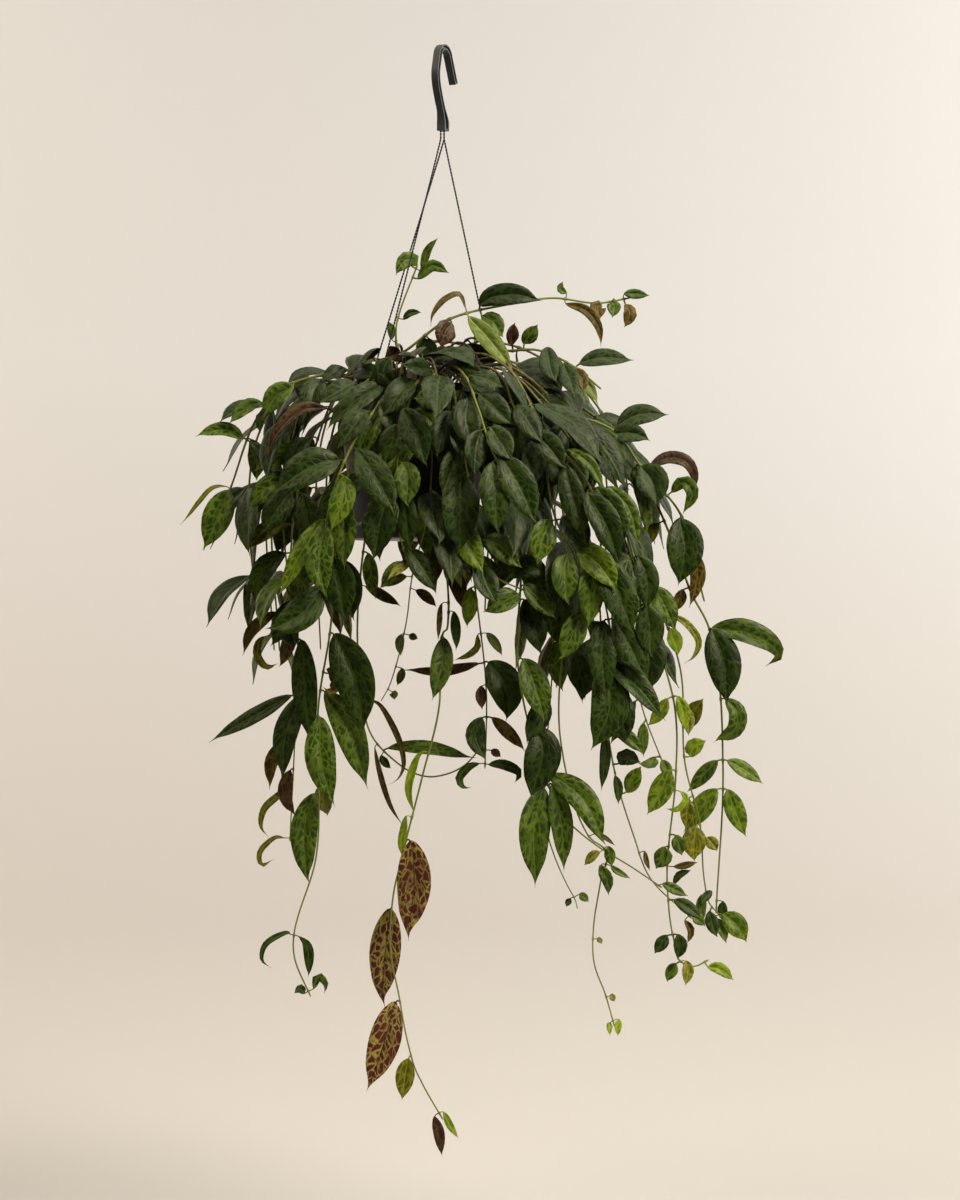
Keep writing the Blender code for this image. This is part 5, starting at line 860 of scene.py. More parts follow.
def side_directions(stem, node):
    """The three ways out of a node, the first along its turn."""
    heading = stem.line.heading(node["s"])
    first = node["turn"] - heading * node["turn"].dot(heading)
    first.normalize()
    return [Matrix.Rotation(i * THIRD, 3, heading) @ first for i in range(3)]


def petiole_length(length):
    """How much of a leaf's length is its petiole: less than usual on a very short leaf."""
    return min(PETIOLE, 0.35 * length)


def leaf_line(base, out, points):
    """A leaf's midrib: it leaves the stem along its petiole and passes through its points."""
    reach = petiole_length((points[-1] - base).length)
    return Line(smooth_line([base, base + out * reach, *points], 2.0))


def leaf_rings(line, width, face, places, fold, fatter=0.0):
    """Rings of one blade: an edge, the top of the midrib, the other edge and the underside."""
    start = petiole_length(line.length)
    rings = []
    for share in places:
        s = start + (line.length - start) * share
        heading = line.heading(s, 1.5)
        up = (face - heading * face.dot(heading)).normalized()
        side = up.cross(heading)
        middle = line.at(s)
        if share:
            wide, thick = outline(share) * width / 2 + fatter, 0.78 - 0.2 * share + fatter
            reach, lift = side * (wide * math.cos(fold)), up * (wide * math.sin(fold))
        else:
            wide, thick = min(NECK_WIDE / 2, 0.14 * width) + fatter, NECK_THICK + fatter
            reach, lift = side * wide, up * 0
        rings.append([middle + reach + lift, middle + up * thick,
                      middle - reach + lift, middle - up * thick])
    return rings, line.at(line.length) + line.heading(line.length) * fatter


def facing(middle, along, turn):
    """The way a blade faces: at the viewer, turned by this many degrees up and outwards."""
    to_eye = (EYE - middle).normalized()
    outwards = Vector((0.6 if middle.x > POT_X + 20 else -0.6, 0, 1))
    ways = [Matrix.Rotation(math.radians(turn * sign), 3, along) @ to_eye for sign in (1, -1)]
    return max(ways, key=lambda way: way.dot(outwards))


def halves(points, a, b, c, d):
    """Two triangles for four corners, split along the shorter way across."""
    if (points[a] - points[c]).length < (points[b] - points[d]).length:
        return [(a, b, c), (a, c, d)]
    return [(a, b, d), (b, c, d)]


def vine_mesh(stem):
    """One closed body: the stem's three-sided tube, with each leaf grown out of a side of its node."""
    foot, up, across = stem.root, Vector((0, 0, 1)), Vector((1, 0, 0))
    rings = [ring(Vector((foot.x, foot.y, z)), up, across, 0, ROOT_RADIUS, 3)
             for z in (SOIL_TOP - ROOT_DEPTH, SOIL_TOP + 1.5)]
    owners = [None, None]
    for s, heading, across, turn, node in stem.frames():
        radius = stem.girth(s) * (NODE_SWELL if node else 1.0)
        rings.append(ring(stem.line.at(s), heading, across, turn, radius, 3))
        owners.append(node)
    points = [p for corners in rings for p in corners]
    faces = [(2, 1, 0)]
    for k in range(len(rings) - 1):
        a, b = 3 * k, 3 * k + 3
        node = owners[k] if owners[k] is not None and owners[k] is owners[k + 1] else None
        for i in range(3):
            j = (i + 1) % 3
            loop = (a + i, a + j, b + j, b + i)
            leaf = leaf_on_side(stem, node, points, loop) if node else None
            if leaf is None:
                faces += halves(points, *loop)
            else:
                faces += grown(points, loop, leaf)
    points.append(stem.end())
    last = 3 * len(rings) - 3
    faces += [(last + i, last + (i + 1) % 3, len(points) - 1) for i in range(3)]
    return points, faces


def leaf_on_side(stem, node, points, loop):
    """The leaf whose way out is this side of the node, if there is one."""
    middle = sum((points[i] for i in loop), Vector()) / 4
    centre = stem.line.at(node["s"])
    ways = side_directions(stem, node)
    for leaf in node["leaves"]:
        if (middle - centre).normalized().dot(ways[leaf["side"]]) > 0.9:
            return leaf
    return None


def grown(points, loop, leaf):
    """The faces of a leaf that starts from this loop of the stem."""
    rings = leaf["rings"]
    start = len(points)
    body, faces = prism(rings, leaf["tip"])
    best = min(range(4), key=lambda k: sum((points[loop[(i + k) % 4]] - rings[0][i]).length
                                           for i in range(4)))
    points += body
    faces = [tuple(start + i for i in face) for face in faces]
    for i in range(4):
        a, b = loop[(i + best) % 4], loop[(i + 1 + best) % 4]
        faces += halves(points, a, b, start + (i + 1) % 4, start + i)
    return faces


def try_leaf(stem, node, places, placed, make, tries, neck_ring):
    """Draws a leaf again and again until it crosses nothing, and joins it to its node."""
    for attempt in range(tries):
        points, width, face, fold = make(attempt)
        base = stem.line.at(node["s"])
        heading = stem.line.heading(node["s"])
        aim = points[0] - base
        aim -= heading * aim.dot(heading)
        if aim.length < 0.5:
            aim = face - heading * face.dot(heading)
        if node["turn"] is None or not node["leaves"]:
            node["turn"] = aim.normalized()
        free = [(i, way) for i, way in enumerate(side_directions(stem, node))
                if i not in [leaf["side"] for leaf in node["leaves"]]]
        side, out = max(free, key=lambda item: item[1].dot(aim))
        start = base + out * (stem.girth(node["s"]) * NODE_SWELL * math.cos(THIRD / 2))
        line = leaf_line(start, out, points)
        rings, tip = leaf_rings(line, width, face, (0.0, *places), fold, NEEDED_CLEAR)
        blade = prism(rings, tip)
        neck = prism([ring(start + out * 1.2, out, heading, SQUARE / 2, 1.9), rings[0]])
        if not placed.clear(*blade) or not placed.clear(*neck, skip=stem.index):
            continue
        off_stem = ring(start + out * 2, out, heading, SQUARE / 2, 0.7)
        if not placed.clear(*prism([off_stem, *rings[0 if neck_ring else 1:]], tip), only=stem.index):
            continue
        rings, tip = leaf_rings(line, width, face, (0.0, *places) if neck_ring else places, fold)
        leaf = dict(side=side, rings=rings, tip=tip, line=line, width=width, face=face, fold=fold)
        node["leaves"].append(leaf)
        if not placed.keep(stem, *vine_mesh(stem)):
            node["leaves"].remove(leaf)
            continue
        placed.add(*prism(leaf_rings(line, width, face, (0.0, *places), fold)[0], line.at(line.length)))
        return leaf
    if not node["leaves"]:
        stem.nodes.remove(node)
    return None


def hero_leaf(stem, row, placed):
    """A leaf that the front elevation draws."""
    kind, width, turn, first, *path = row
    drawn = seen(first[0], first[1], 0)
    node = stem.node_at(stem.line.nearest(drawn))
    if node is None:
        return
    near = -stem.line.at(node["s"]).y
    rng = stem.rng
    fold = math.radians(rng.uniform(10, 24))
    width /= math.cos(fold)

    def make(attempt):
        """The leaf's points, width, face and fold, moved further from the drawing at each attempt."""
        loose = 1.3 * attempt ** 0.8
        shift = [rng.uniform(-loose, loose) for _ in range(3)]
        grow = 1 - 0.006 * attempt
        points = []
        for i, (right, down, off) in enumerate(path):
            share = (i + 1) / len(path)
            points.append(seen(right + shift[0] * share * 0.6, down + shift[1] * share * 0.6,
                               near + off + shift[2] * 1.4 * share + 0.25 * attempt * share))
        base = stem.line.at(node["s"])
        straight = min(0.85, (0 if len(path) > 2 else 1 - BOW_KEPT) + 0.03 * max(0, attempt - 8))
        chord = [base.lerp(points[-1], (i + 1) / len(points)) for i in range(len(points))]
        points = [p.lerp(flat, straight) for p, flat in zip(points, chord)]
        along = (points[-1] - base).normalized()
        face = facing(points[-1], along, turn + rng.uniform(-1, 1) * min(20, 0.9 * attempt))
        return points, width * grow, face, fold

    places = CURLED_STATIONS if len(path) > 2 else STATIONS if width >= WIDE_LEAF else FEW_STATIONS
    leaf = try_leaf(stem, node, places, placed, make, DRAWN_TRIES, width >= NECKED_LEAF)
    if leaf:
        leaf["kind"] = kind


def dome_top(place):
    """How high the plant's rounded top stands over this place."""
    outwards = math.hypot(place.x - POT_X, place.y)
    return RIM_TOP + DOME_RISE - DOME_FALL * max(0, outwards - DOME_FLAT) ** 2


def fill_leaf(stem, node, outward, step, placed):
    """A leaf that the growth rule places: it leaves its stem sideways and hangs outwards."""
    rng = stem.rng
    s = node["s"]
    share = s / stem.line.length
    base = stem.line.at(s)
    heading = stem.line.heading(s)
    side = heading.cross(outward)
    if side.length < 0.2:
        side = Vector((-outward.y, outward.x, 0))
    side.normalize()
    other = heading.cross(side)
    quarter = step * SQUARE + node["start"]
    out = side * math.cos(quarter) + other * math.sin(quarter)
    length = rng.uniform(72, 92) * (1.0 if share < 0.75 else 0.8)
    width = length * rng.uniform(0.42, 0.48)
    crown = clamped((base.z - RIM_TOP) / 40 + 0.4)
    length *= 1 - 0.16 * crown
    fold = math.radians(rng.uniform(10, 22))

    def make(attempt):
        """The leaf's points, width, face and fold, looser at each attempt."""
        loose = 0.15 + 0.03 * attempt
        wobble = Vector([rng.uniform(-loose, loose) for _ in range(3)])
        aim = out * 0.75 + outward * (0.35 + 0.4 * crown) + Vector((0, 0, -1.05 + 0.6 * crown)) + wobble
        aim.normalize()
        long = length * (1 - 0.022 * attempt)
        face = outward * (0.9 - 0.5 * crown) + Vector((0, 0, 0.45 + 0.6 * crown)) + wobble * 0.8
        face += Vector((0, -0.8, 0)) * (1 - abs(outward.y))
        face.normalize()
        bulge = (out + outward * 0.5 + Vector((0, 0, 0.4))).normalized() * long * 0.12
        droop = Vector((0, 0, -0.08 * long * (1 + crown)))
        path = [base + aim * long * 0.5 + bulge, base + aim * long + droop]
        for place in path:
            place.z = min(place.z, dome_top(place))
        return path, width, face, fold

    leaf = try_leaf(stem, node, FEW_STATIONS, placed, make, RULE_TRIES, False)
    if leaf:
        leaf["kind"] = ("dark", "old", "green")[int(rng.uniform(0, 1) * 2.99 * (0.6 + 0.4 * share))]
    return leaf


def place_stem(name, start, route_at, radius, placed, roots, seed):
    """A stem that clears all placed ones, drawn again with its root and route further off until it does."""
    rng = random.Random(seed)
    for attempt in range(STEM_TRIES):
        loose = 0.4 * attempt
        from_middle = clamped(start[1] + rng.uniform(-loose, loose), *ROOT_CIRCLE)
        root = on_circle(start[0] + rng.uniform(-loose, loose) * 2, from_middle, SOIL_TOP)
        route = route_at(rng, loose)
        over = root.lerp(route[0], 0.5)
        over.z = max(route[0].z, RIM_TOP) + 8 + rng.uniform(0, 0.5) * min(loose, 24)
        arches = (route[0] - root).xy.length > 12 and route[0].z < RIM_TOP + 40
        stem = Stem(name, root, [over, *route] if arches else route, radius, rng)
        apart = all((root - other).xy.length > ROOTS_APART for other in roots)
        if apart and placed.clear(*stem.trial(1.0)) and placed.keep(stem, *vine_mesh(stem)):
            roots.append(root)
            stem.index = len(placed.items)
            placed.add(*stem.trial(0.3))
            return stem
    return None


def drawn_route(points, back, rng, loose):
    """The drawn points, moved along the sight lines: the lower they are the more they lie back."""
    all_back = rng.uniform(-0.5, 0.5) * loose
    route = []
    for i, (right, down, near) in enumerate(points):
        deep = near - back * i / (len(points) - 1) + all_back + rng.uniform(-0.4, 0.4) * loose
        right += rng.uniform(-0.06, 0.06) * loose
        down += rng.uniform(-0.06, 0.06) * loose
        route.append(seen(right, down, deep))
    return route


def fill_stem(stem, start_at, end_at, placed):
    """Pairs of leaves along a stem by rule, each pair a quarter turn on from the last."""
    rng = stem.rng
    start = rng.uniform(0, SQUARE)
    top = max(range(len(stem.line.points)), key=lambda i: stem.line.points[i].z)
    s = max(start_at, stem.line.far[top] - 4) if stem.line.far[top] < end_at else start_at
    s += rng.uniform(-3, 3)
    step = 0
    while s < end_at:
        base = stem.line.at(s)
        outward = (base - Vector((POT_X, 0, base.z))).normalized()
        node = stem.node_at(s)
        if node is not None:
            node["start"] = start
            for half in (0, 2):
                if fill_leaf(stem, node, outward, step + half, placed) is None and node not in stem.nodes:
                    break
        step += 1
        s += rng.uniform(1, 1.25) * (46 if base.z > RIM_TOP - 10 else 72)


# The rest of the plant, by rule: vines all round, each with the way it grows from the pot's middle
# (0 is right, 90 is away from the viewer), how far out it hangs, its lowest point and how high it arches.
FILL_VINES = (
    (14, 222, -650, 34), (30, 150, -560, 24), (42, 205, -640, 40), (56, 132, -560, 20),
    (70, 180, -520, 38), (84, 122, -520, 14), (99, 168, -450, 30), (114, 122, -465, 12),
    (128, 168, -600, 22), (143, 120, -560, 10), (157, 166, -600, 10), (172, 146, -600, 6),
    (187, 166, -560, 8), (354, 150, -540, 36), (346, 178, -560, 30), (17, 116, -560, 20),
    (222, 136, -540, 18),
)


def pot_guard():
    """The pot's outside, rim and soil, as one plain shell that leaves keep clear of."""
    profile = [(0, TRAY_BASE - 1), (TRAY_RADIUS + 1.5, TRAY_BASE - 1),
               (TRAY_RADIUS + 1.5, TRAY_BASE + TRAY_HEIGHT + 2), (pot_radius(RIM_TOP - 9) + 2, RIM_TOP - 9),
               (RIM_RADIUS + 1.2, RIM_TOP - 9), (RIM_RADIUS + 1.2, RIM_TOP + 1),
               (POT_TOP_RADIUS - 3, RIM_TOP + 1), (POT_TOP_RADIUS - 4, SOIL_TOP + 1), (0.1, SOIL_TOP + 1)]
    return turned_points(profile, 24)


def wire_guard(angle):
    """A plain tube round one hanger wire."""
    route = wire_route(angle)
    headings = along_path(route)
    return prism([ring(place, heading, across, 0, WIRE_RADIUS + 0.9)
                  for place, heading, across in zip(route, headings, carried(headings))])


def fill_route(angle, reach, lowest, arch, rng, loose):
    """Up from the soil, over the rim and down to the lowest point."""
    way = math.radians(angle + rng.uniform(-0.35, 0.35) * loose)
    reach += rng.uniform(-0.3, 0.3) * loose
    arch += rng.uniform(-0.1, 0.1) * loose
    out = Vector((math.cos(way), math.sin(way), 0))
    middle = Vector((POT_X, 0, 0))
    shape = ((0.42, RIM_TOP + arch), (0.72, RIM_TOP + arch * 0.55 - 4), (0.93, RIM_TOP - 42),
             (1.0, RIM_TOP - 105), (0.98, 0.45 * (RIM_TOP - 105) + 0.55 * lowest), (0.95, lowest))
    points = [middle + out * reach * share + Vector((0, 0, z)) for share, z in shape]
    return points if lowest < RIM_TOP - 190 else [*points[:4], points[-1]]


def grow_plant():
    """Every stem, then the drawn leaves, then the leaves of the rule."""
    placed = Placed()
    placed.add(*pot_guard())
    for name, angle in WIRE_ANGLES.items():
        placed.add(*wire_guard(angle))
        placed.vines[name] = placed.items[-1]
    stems, roots = [], []
    for number, (name, root, radius, route, leaves, back) in enumerate(HERO_VINES):
        stem = place_stem(name, root, partial(drawn_route, route, back), radius, placed, roots, 100 + number)
        if stem:
            stem.rows = leaves
            stems.append(stem)
    for number, (angle, *shape) in enumerate(FILL_VINES):
        name, root = "vine_fill_%02d" % (number + 1), (angle, 20 + 13 * (number % 4))
        stem = place_stem(name, root, partial(fill_route, angle, *shape), 1.4, placed, roots, 300 + number)
        if stem:
            stems.append(stem)
    for stem in stems:
        for row in stem.rows:
            hero_leaf(stem, row, placed)
    for stem in stems:
        if stem.rows:
            first = min((node["s"] for node in stem.nodes), default=0)
            fill_stem(stem, 26, first - 12, placed)
        else:
            fill_stem(stem, 26, stem.line.length - 6, placed)
    return stems


def wire_route(angle):
    """From the foot's hole straight down, out to the rim, through its hole and round a short bent end."""
    top = on_circle(angle + WIRE_TOP_TURN, WIRE_TOP_SPREAD, FOOT_BOTTOM + WIRE_SUNK, centre=0)
    rim = on_circle(angle, HOLE_RADIUS, RIM_TOP + WIRE_PAST_RIM)
    below = on_circle(angle, HOLE_RADIUS, RIM_TOP - WIRE_PAST_RIM)
    end = on_circle(angle, HOLE_RADIUS - WIRE_BENT_IN, below.z - 0.6 * WIRE_BENT_IN)
    return [top, Vector((top.x, top.y, FOOT_BOTTOM - WIRE_STRAIGHT)), rim, below, end]


# Materials. Each starts from what the real thing is made of.


def linear(colour):
    """An sRGB hex colour as the linear values that shaders take."""
    channels = [int(colour[i:i + 2], 16) / 255 for i in (1, 3, 5)]
    return [c / 12.92 if c <= 0.04045 else ((c + 0.055) / 1.055) ** 2.4 for c in channels] + [1.0]


def join(tree, node, links):
    """Links outputs of other nodes into this node's sockets."""
    for key, output in links.items():
        tree.links.new(output, node.inputs[key])


def add(tree, kind, settings=None, links=None):
    """Adds a node, with its properties, socket values or colour stops, and with its sockets' links."""
    node = tree.nodes.new("ShaderNode" + kind)
    for key, value in (settings or {}).items():
        if key == "stops":
            for stop, (position, colour) in zip(node.color_ramp.elements, value):
                stop.position, stop.color = position, linear(colour)
        elif isinstance(key, int) or key in node.inputs:
            node.inputs[key].default_value = value
        else:
            setattr(node, key, value)
    join(tree, node, links or {})
    return node


def new_material(name, settings):
    """An empty material with one Principled shader: its node tree and that shader."""
    material = bpy.data.materials.new(name)
    material.use_nodes = True
    shader = material.node_tree.nodes["Principled BSDF"]
    for key, value in settings.items():
        shader.inputs[key].default_value = value
    return material, material.node_tree, shader


# The size of the cells between a leaf's veins, in millimetres: each is a little longer, and narrower.
CELL = 7.0
# The net of veins sways this far to and fro over this many millimetres, and fades in clouds of this size.
SWAY, SWAY_SIZE, CLOUD_SIZE = 8, 7, 16
# Plant wax is a thin film that takes a little blue out of what it mirrors.
WAX = {"IOR": 1.36, "Specular Tint": linear("#fdf8de")}

# For each kind of leaf: the colour of its cells, of the net of veins round them and of its midrib, how
# wide and how strong the net is, and how rough the wax is.
LEAF_TOPS = {
    "old": ("#17240a", "#394b1c", "#434e1e", 0.2, 0.85, 0.45),
    "dark": ("#152305", "#374b10", "#3c4c10", 0.21, 0.85, 0.43),
    "green": ("#283a08", "#5e7220", "#586a20", 0.22, 0.85, 0.43),
    "bright": ("#3c540a", "#7c8e24", "#728424", 0.22, 0.8, 0.42),
    "young": ("#5a7412", "#98a62a", "#8e9c32", 0.24, 0.8, 0.42),
    "olive": ("#4c4c0a", "#8a8824", "#84822a", 0.18, 0.75, 0.42),
    "pale": ("#5e6e28", "#929c50", "#98a05c", 0.22, 0.7, 0.5),
    "brown": ("#3a2808", "#70601e", "#685620", 0.18, 0.8, 0.46),
    "maroon": ("#2e160c", "#544220", "#42281a", 0.17, 0.8, 0.44),
    "mottled": ("#4a1e1a", "#948440", "#2c1412", 0.14, 1.0, 0.46),
}
# The undersides are as rough as each other.
BACK_ROUGHNESS = 0.55
LEAF_BACKS = {
    "old": ("#322a12", "#525420", "#46421e", 0.22, 0.8),
    "dark": ("#342c0e", "#565c1a", "#46461e", 0.22, 0.8),
    "green": ("#3a360b", "#646e1c", "#586020", 0.22, 0.8),
    "bright": ("#526610", "#849a28", "#84983a", 0.24, 0.8),
    "young": ("#728620", "#a0ac38", "#a2a840", 0.24, 0.7),
    "olive": ("#584a12", "#8a842c", "#827a2c", 0.24, 0.8),
    "pale": ("#908e42", "#b8ae5e", "#bab068", 0.26, 0.7),
    "brown": ("#46240c", "#7a5a22", "#62421c", 0.24, 0.85),
    "maroon": ("#421812", "#6e542c", "#442016", 0.24, 0.9),
    "mottled": ("#4e1c1a", "#99903a", "#2c1412", 0.26, 1.0),
}


def waxy_leaf(name, cell_colour, net_colour, rib_colour, net_width, strength, roughness):
    """Living leaf under clear wax: dark cells in a paler net of veins, uneven from leaf to leaf.

    The mesh gives each point its place on its own leaf in millimetres, leaned along the side veins, so
    the net follows the leaf however it bends.
    """
    material, tree, shader = new_material(name, dict(WAX, Roughness=roughness))
    place = add(tree, "Attribute", {"attribute_name": "vein_place"}).outputs["Vector"]
    share = add(tree, "Attribute", {"attribute_name": "leaf_share"}).outputs["Vector"]
    parts = add(tree, "SeparateXYZ", links={0: share})
    spot = add(tree, "SeparateXYZ", links={0: place})
    sway = add(tree, "TexNoise", {"Scale": 1 / SWAY_SIZE, "Detail": 2}, {"Vector": place})
    bent = add(tree, "VectorMath", {"operation": "MULTIPLY_ADD", 1: (SWAY, SWAY, 0)},
               {0: sway.outputs["Color"], 2: place})
    flat = add(tree, "Mapping", {"Scale": (0.8 / CELL, 1.3 / CELL, 1)}, {"Vector": bent.outputs[0]})
    cells = add(tree, "TexVoronoi", {"feature": "DISTANCE_TO_EDGE", "Scale": 1}, {"Vector": flat.outputs[0]})
    to_edge = cells.outputs["Distance"]
    net = add(tree, "MapRange", {"From Min": 0.03, "From Max": net_width, "To Min": strength, "To Max": 0},
              {"Value": to_edge})
    cloud = add(tree, "TexNoise", {"Scale": 1 / CLOUD_SIZE, "Detail": 1}, {"Vector": place})
    fade = add(tree, "MapRange", {"From Min": 0.3, "From Max": 0.62, "To Min": 0.35, "To Max": 1},
               {"Value": cloud.outputs[0]})
    shown = add(tree, "Math", {"operation": "MULTIPLY"}, {0: net.outputs[0], 1: fade.outputs[0]})
    marbled = add(tree, "Mix", {"data_type": "RGBA", 6: linear(cell_colour), 7: linear(net_colour)},
                  {0: shown.outputs[0]})
    off_rib = add(tree, "Math", {"operation": "ABSOLUTE"}, {0: spot.outputs["Y"]})
    rib = add(tree, "MapRange", {"From Min": 0.35, "From Max": 0.9, "To Min": 0.75, "To Max": 0},
              {"Value": off_rib.outputs[0]})
    ribbed = add(tree, "Mix", {"data_type": "RGBA", 7: linear(rib_colour)},
                 {0: rib.outputs[0], 6: marbled.outputs[2]})
    lightness = add(tree, "MapRange", {"To Min": 0.72, "To Max": 1.4}, {"Value": parts.outputs["Z"]})
    varied = add(tree, "HueSaturation", links={"Color": ribbed.outputs[2], "Value": lightness.outputs[0]})
    height = add(tree, "MapRange", {"From Max": 0.3, "To Max": 1, "interpolation_type": "SMOOTHSTEP"},
                 {"Value": to_edge})
    bump = add(tree, "Bump", {"Strength": 0.5, "Distance": 0.35 * MM}, {"Height": height.outputs[0]})
    join(tree, shader, {"Base Color": varied.outputs[0], "Normal": bump.outputs[0]})
    return material


def green_stem():
    """Soft stem: olive green and smooth where it is young, brown and barky towards the pot."""
    material, tree, shader = new_material("stem_bark", dict(Roughness=0.55, IOR=1.45))
    share = add(tree, "Attribute", {"attribute_name": "leaf_share"}).outputs["Vector"]
    place = add(tree, "Attribute", {"attribute_name": "vein_place"}).outputs["Vector"]
    parts = add(tree, "SeparateXYZ", links={0: share})
    flecks = add(tree, "TexNoise", {"Scale": 1 / 3, "Detail": 3}, {"Vector": place})
    age = add(tree, "Math", {"operation": "ADD"}, {0: parts.outputs["X"], 1: flecks.outputs[0]})
    ramp = add(tree, "ValToRGB", {"stops": ((0.5, "#3c2f1a"), (1, "#79802c"))}, {0: age.outputs[0]})
    ramp.color_ramp.elements.new(0.82).color = linear("#6a6328")
    bump = add(tree, "Bump", {"Strength": 0.5, "Distance": 0.2 * MM}, {"Height": flecks.outputs[0]})
    join(tree, shader, {"Base Color": ramp.outputs[0], "Normal": bump.outputs[0]})
    return material


def moulded_plastic(name, colour, roughness, grain):
    """Recycled polypropylene from a mould: dark grey with a fine grain and a faint cloudiness."""
    material, tree, shader = new_material(name, dict(Roughness=roughness, IOR=1.49))
    place = add(tree, "TexCoord").outputs["Object"]
    cloud = add(tree, "TexNoise", {"Scale": 1 / (18 * MM), "Detail": 3}, {"Vector": place})
    tone = add(tree, "MapRange", {"From Min": 0.3, "From Max": 0.7, "To Min": 0.82, "To Max": 1.2},
               {"Value": cloud.outputs[0]})
    varied = add(tree, "HueSaturation", {"Color": linear(colour)}, {"Value": tone.outputs[0]})
    shine = add(tree, "MapRange", {"To Min": roughness - 0.08, "To Max": roughness + 0.1},
                {"Value": cloud.outputs[0]})
    # The mould's spark-eroded grain is finer than the render shows, so it is drawn a little coarse.
    texture = add(tree, "TexNoise", {"Scale": 1 / (grain * MM), "Detail": 2}, {"Vector": place})
    bump = add(tree, "Bump", {"Strength": 0.25, "Distance": 0.1 * MM}, {"Height": texture.outputs[0]})
    join(tree, shader, {"Base Color": varied.outputs[0], "Roughness": shine.outputs[0],
                        "Normal": bump.outputs[0]})
    return material


def coated_steel():
    """Drawn steel wire with a thin dark coat, brighter in patches here and there."""
    material, tree, shader = new_material("coated_steel_wire", dict(Metallic=1, Roughness=0.42))
    place = add(tree, "TexCoord").outputs["Object"]
    bright_patches = add(tree, "TexNoise", {"Scale": 1 / (5 * MM), "Detail": 3}, {"Vector": place})
    ramp = add(tree, "ValToRGB", {"stops": ((0.4, "#181b20"), (0.68, "#3e424a"))}, {0: bright_patches.outputs[0]})
    join(tree, shader, {"Base Color": ramp.outputs[0]})
    return material


def potting_peat():
    """Damp peat: very dark brown crumbs with lighter fibre."""
    material, tree, shader = new_material("potting_peat", dict(Roughness=0.95, IOR=1.4))
    place = add(tree, "TexCoord").outputs["Object"]
    crumbs = add(tree, "TexNoise", {"Scale": 1 / (4 * MM), "Detail": 5}, {"Vector": place})
    ramp = add(tree, "ValToRGB", {"stops": ((0.38, "#17100b"), (0.7, "#4a3626"))}, {0: crumbs.outputs[0]})
    bump = add(tree, "Bump", {"Strength": 0.8, "Distance": 0.8 * MM}, {"Height": crumbs.outputs[0]})
    join(tree, shader, {"Base Color": ramp.outputs[0], "Normal": bump.outputs[0]})
    return material


def backdrop_paper_painted_shade():
    """Matt cream paper with painted shade, which makes it a touch warmer and darker low down."""
    material, tree, shader = new_material("backdrop_paper_painted_shade", dict(Roughness=0.95))
    place = add(tree, "TexCoord").outputs["Object"]
    parts = add(tree, "SeparateXYZ", links={0: place})
    height = add(tree, "MapRange", {"From Min": -1.4, "From Max": 1.6}, {"Value": parts.outputs["Z"]})
    # Painted shade: the ramp darkens and warms the paper towards the floor.
    ramp = add(tree, "ValToRGB", {"stops": ((0, "#d5cec5"), (0.5, "#e4e4e1"))}, {0: height.outputs[0]})
    join(tree, shader, {"Base Color": ramp.outputs[0]})
    return material


# Shapes.

# The turned plastic parts have this many sides, enough to look round.
TURNED_SIDES = 96


def make_piece(name, points, faces, material, replaced, slot, smooth_under=40):
    """A piece from millimetre points, riding on the model's one body in place of its solids."""
    mesh = bpy.data.meshes.new(name)
    mesh.from_pydata([tuple(c * MM for c in p) for p in points], [], faces)
    mesh.materials.append(material)
    shape = bmesh.new()
    shape.from_mesh(mesh)
    bmesh.ops.recalc_face_normals(shape, faces=shape.faces)
    shape.to_mesh(mesh)
    shape.free()
    mesh.shade_smooth()
    mesh.set_sharp_from_angle(angle=math.radians(smooth_under))
    piece = bpy.data.objects.new(name, mesh)
    bpy.context.scene.collection.objects.link(piece)
    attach(piece, "root")
    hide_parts(replaced)
    return piece


def tube_faces(start, sides):
    """The faces between one ring of points and the next."""
    return [(start + k, start + (k + 1) % sides, start + sides + (k + 1) % sides, start + sides + k)
            for k in range(sides)]


def tube(rings, first=0):
    """Points and faces of a run of rings, closed flat at both ends."""
    points, sides = [p for corners in rings for p in corners], len(rings[0])
    faces = [face for k in range(len(rings) - 1) for face in tube_faces(first + k * sides, sides)]
    ends = first, first + len(points) - sides
    return points, faces + [tuple(range(end, end + sides)) for end in ends]


def round_edges(piece, radius):
    """A small round, in two steps, on every edge sharper than 35 degrees."""
    modifier = piece.modifiers.new("Round edges", "BEVEL")
    modifier.width = radius * MM
    modifier.segments = 2
    modifier.limit_method = "ANGLE"
    modifier.angle_limit = math.radians(35)


def bore(piece, spots, radius, low, high, sides=16):
    """Round holes through the piece, at these places."""
    for x, y in spots:
        bpy.ops.mesh.primitive_cylinder_add(vertices=sides, radius=radius * MM, depth=(high - low) * MM,
                                            location=(x * MM, y * MM, (low + high) / 2 * MM))
        drill = bpy.context.object
        modifier = piece.modifiers.new("Hole", "BOOLEAN")
        modifier.operation = "DIFFERENCE"
        modifier.object = drill
        graph = bpy.context.evaluated_depsgraph_get()
        graph.update()
        drilled = bpy.data.meshes.new_from_object(piece.evaluated_get(graph))
        piece.modifiers.clear()
        piece.data = drilled
        bpy.data.objects.remove(drill)


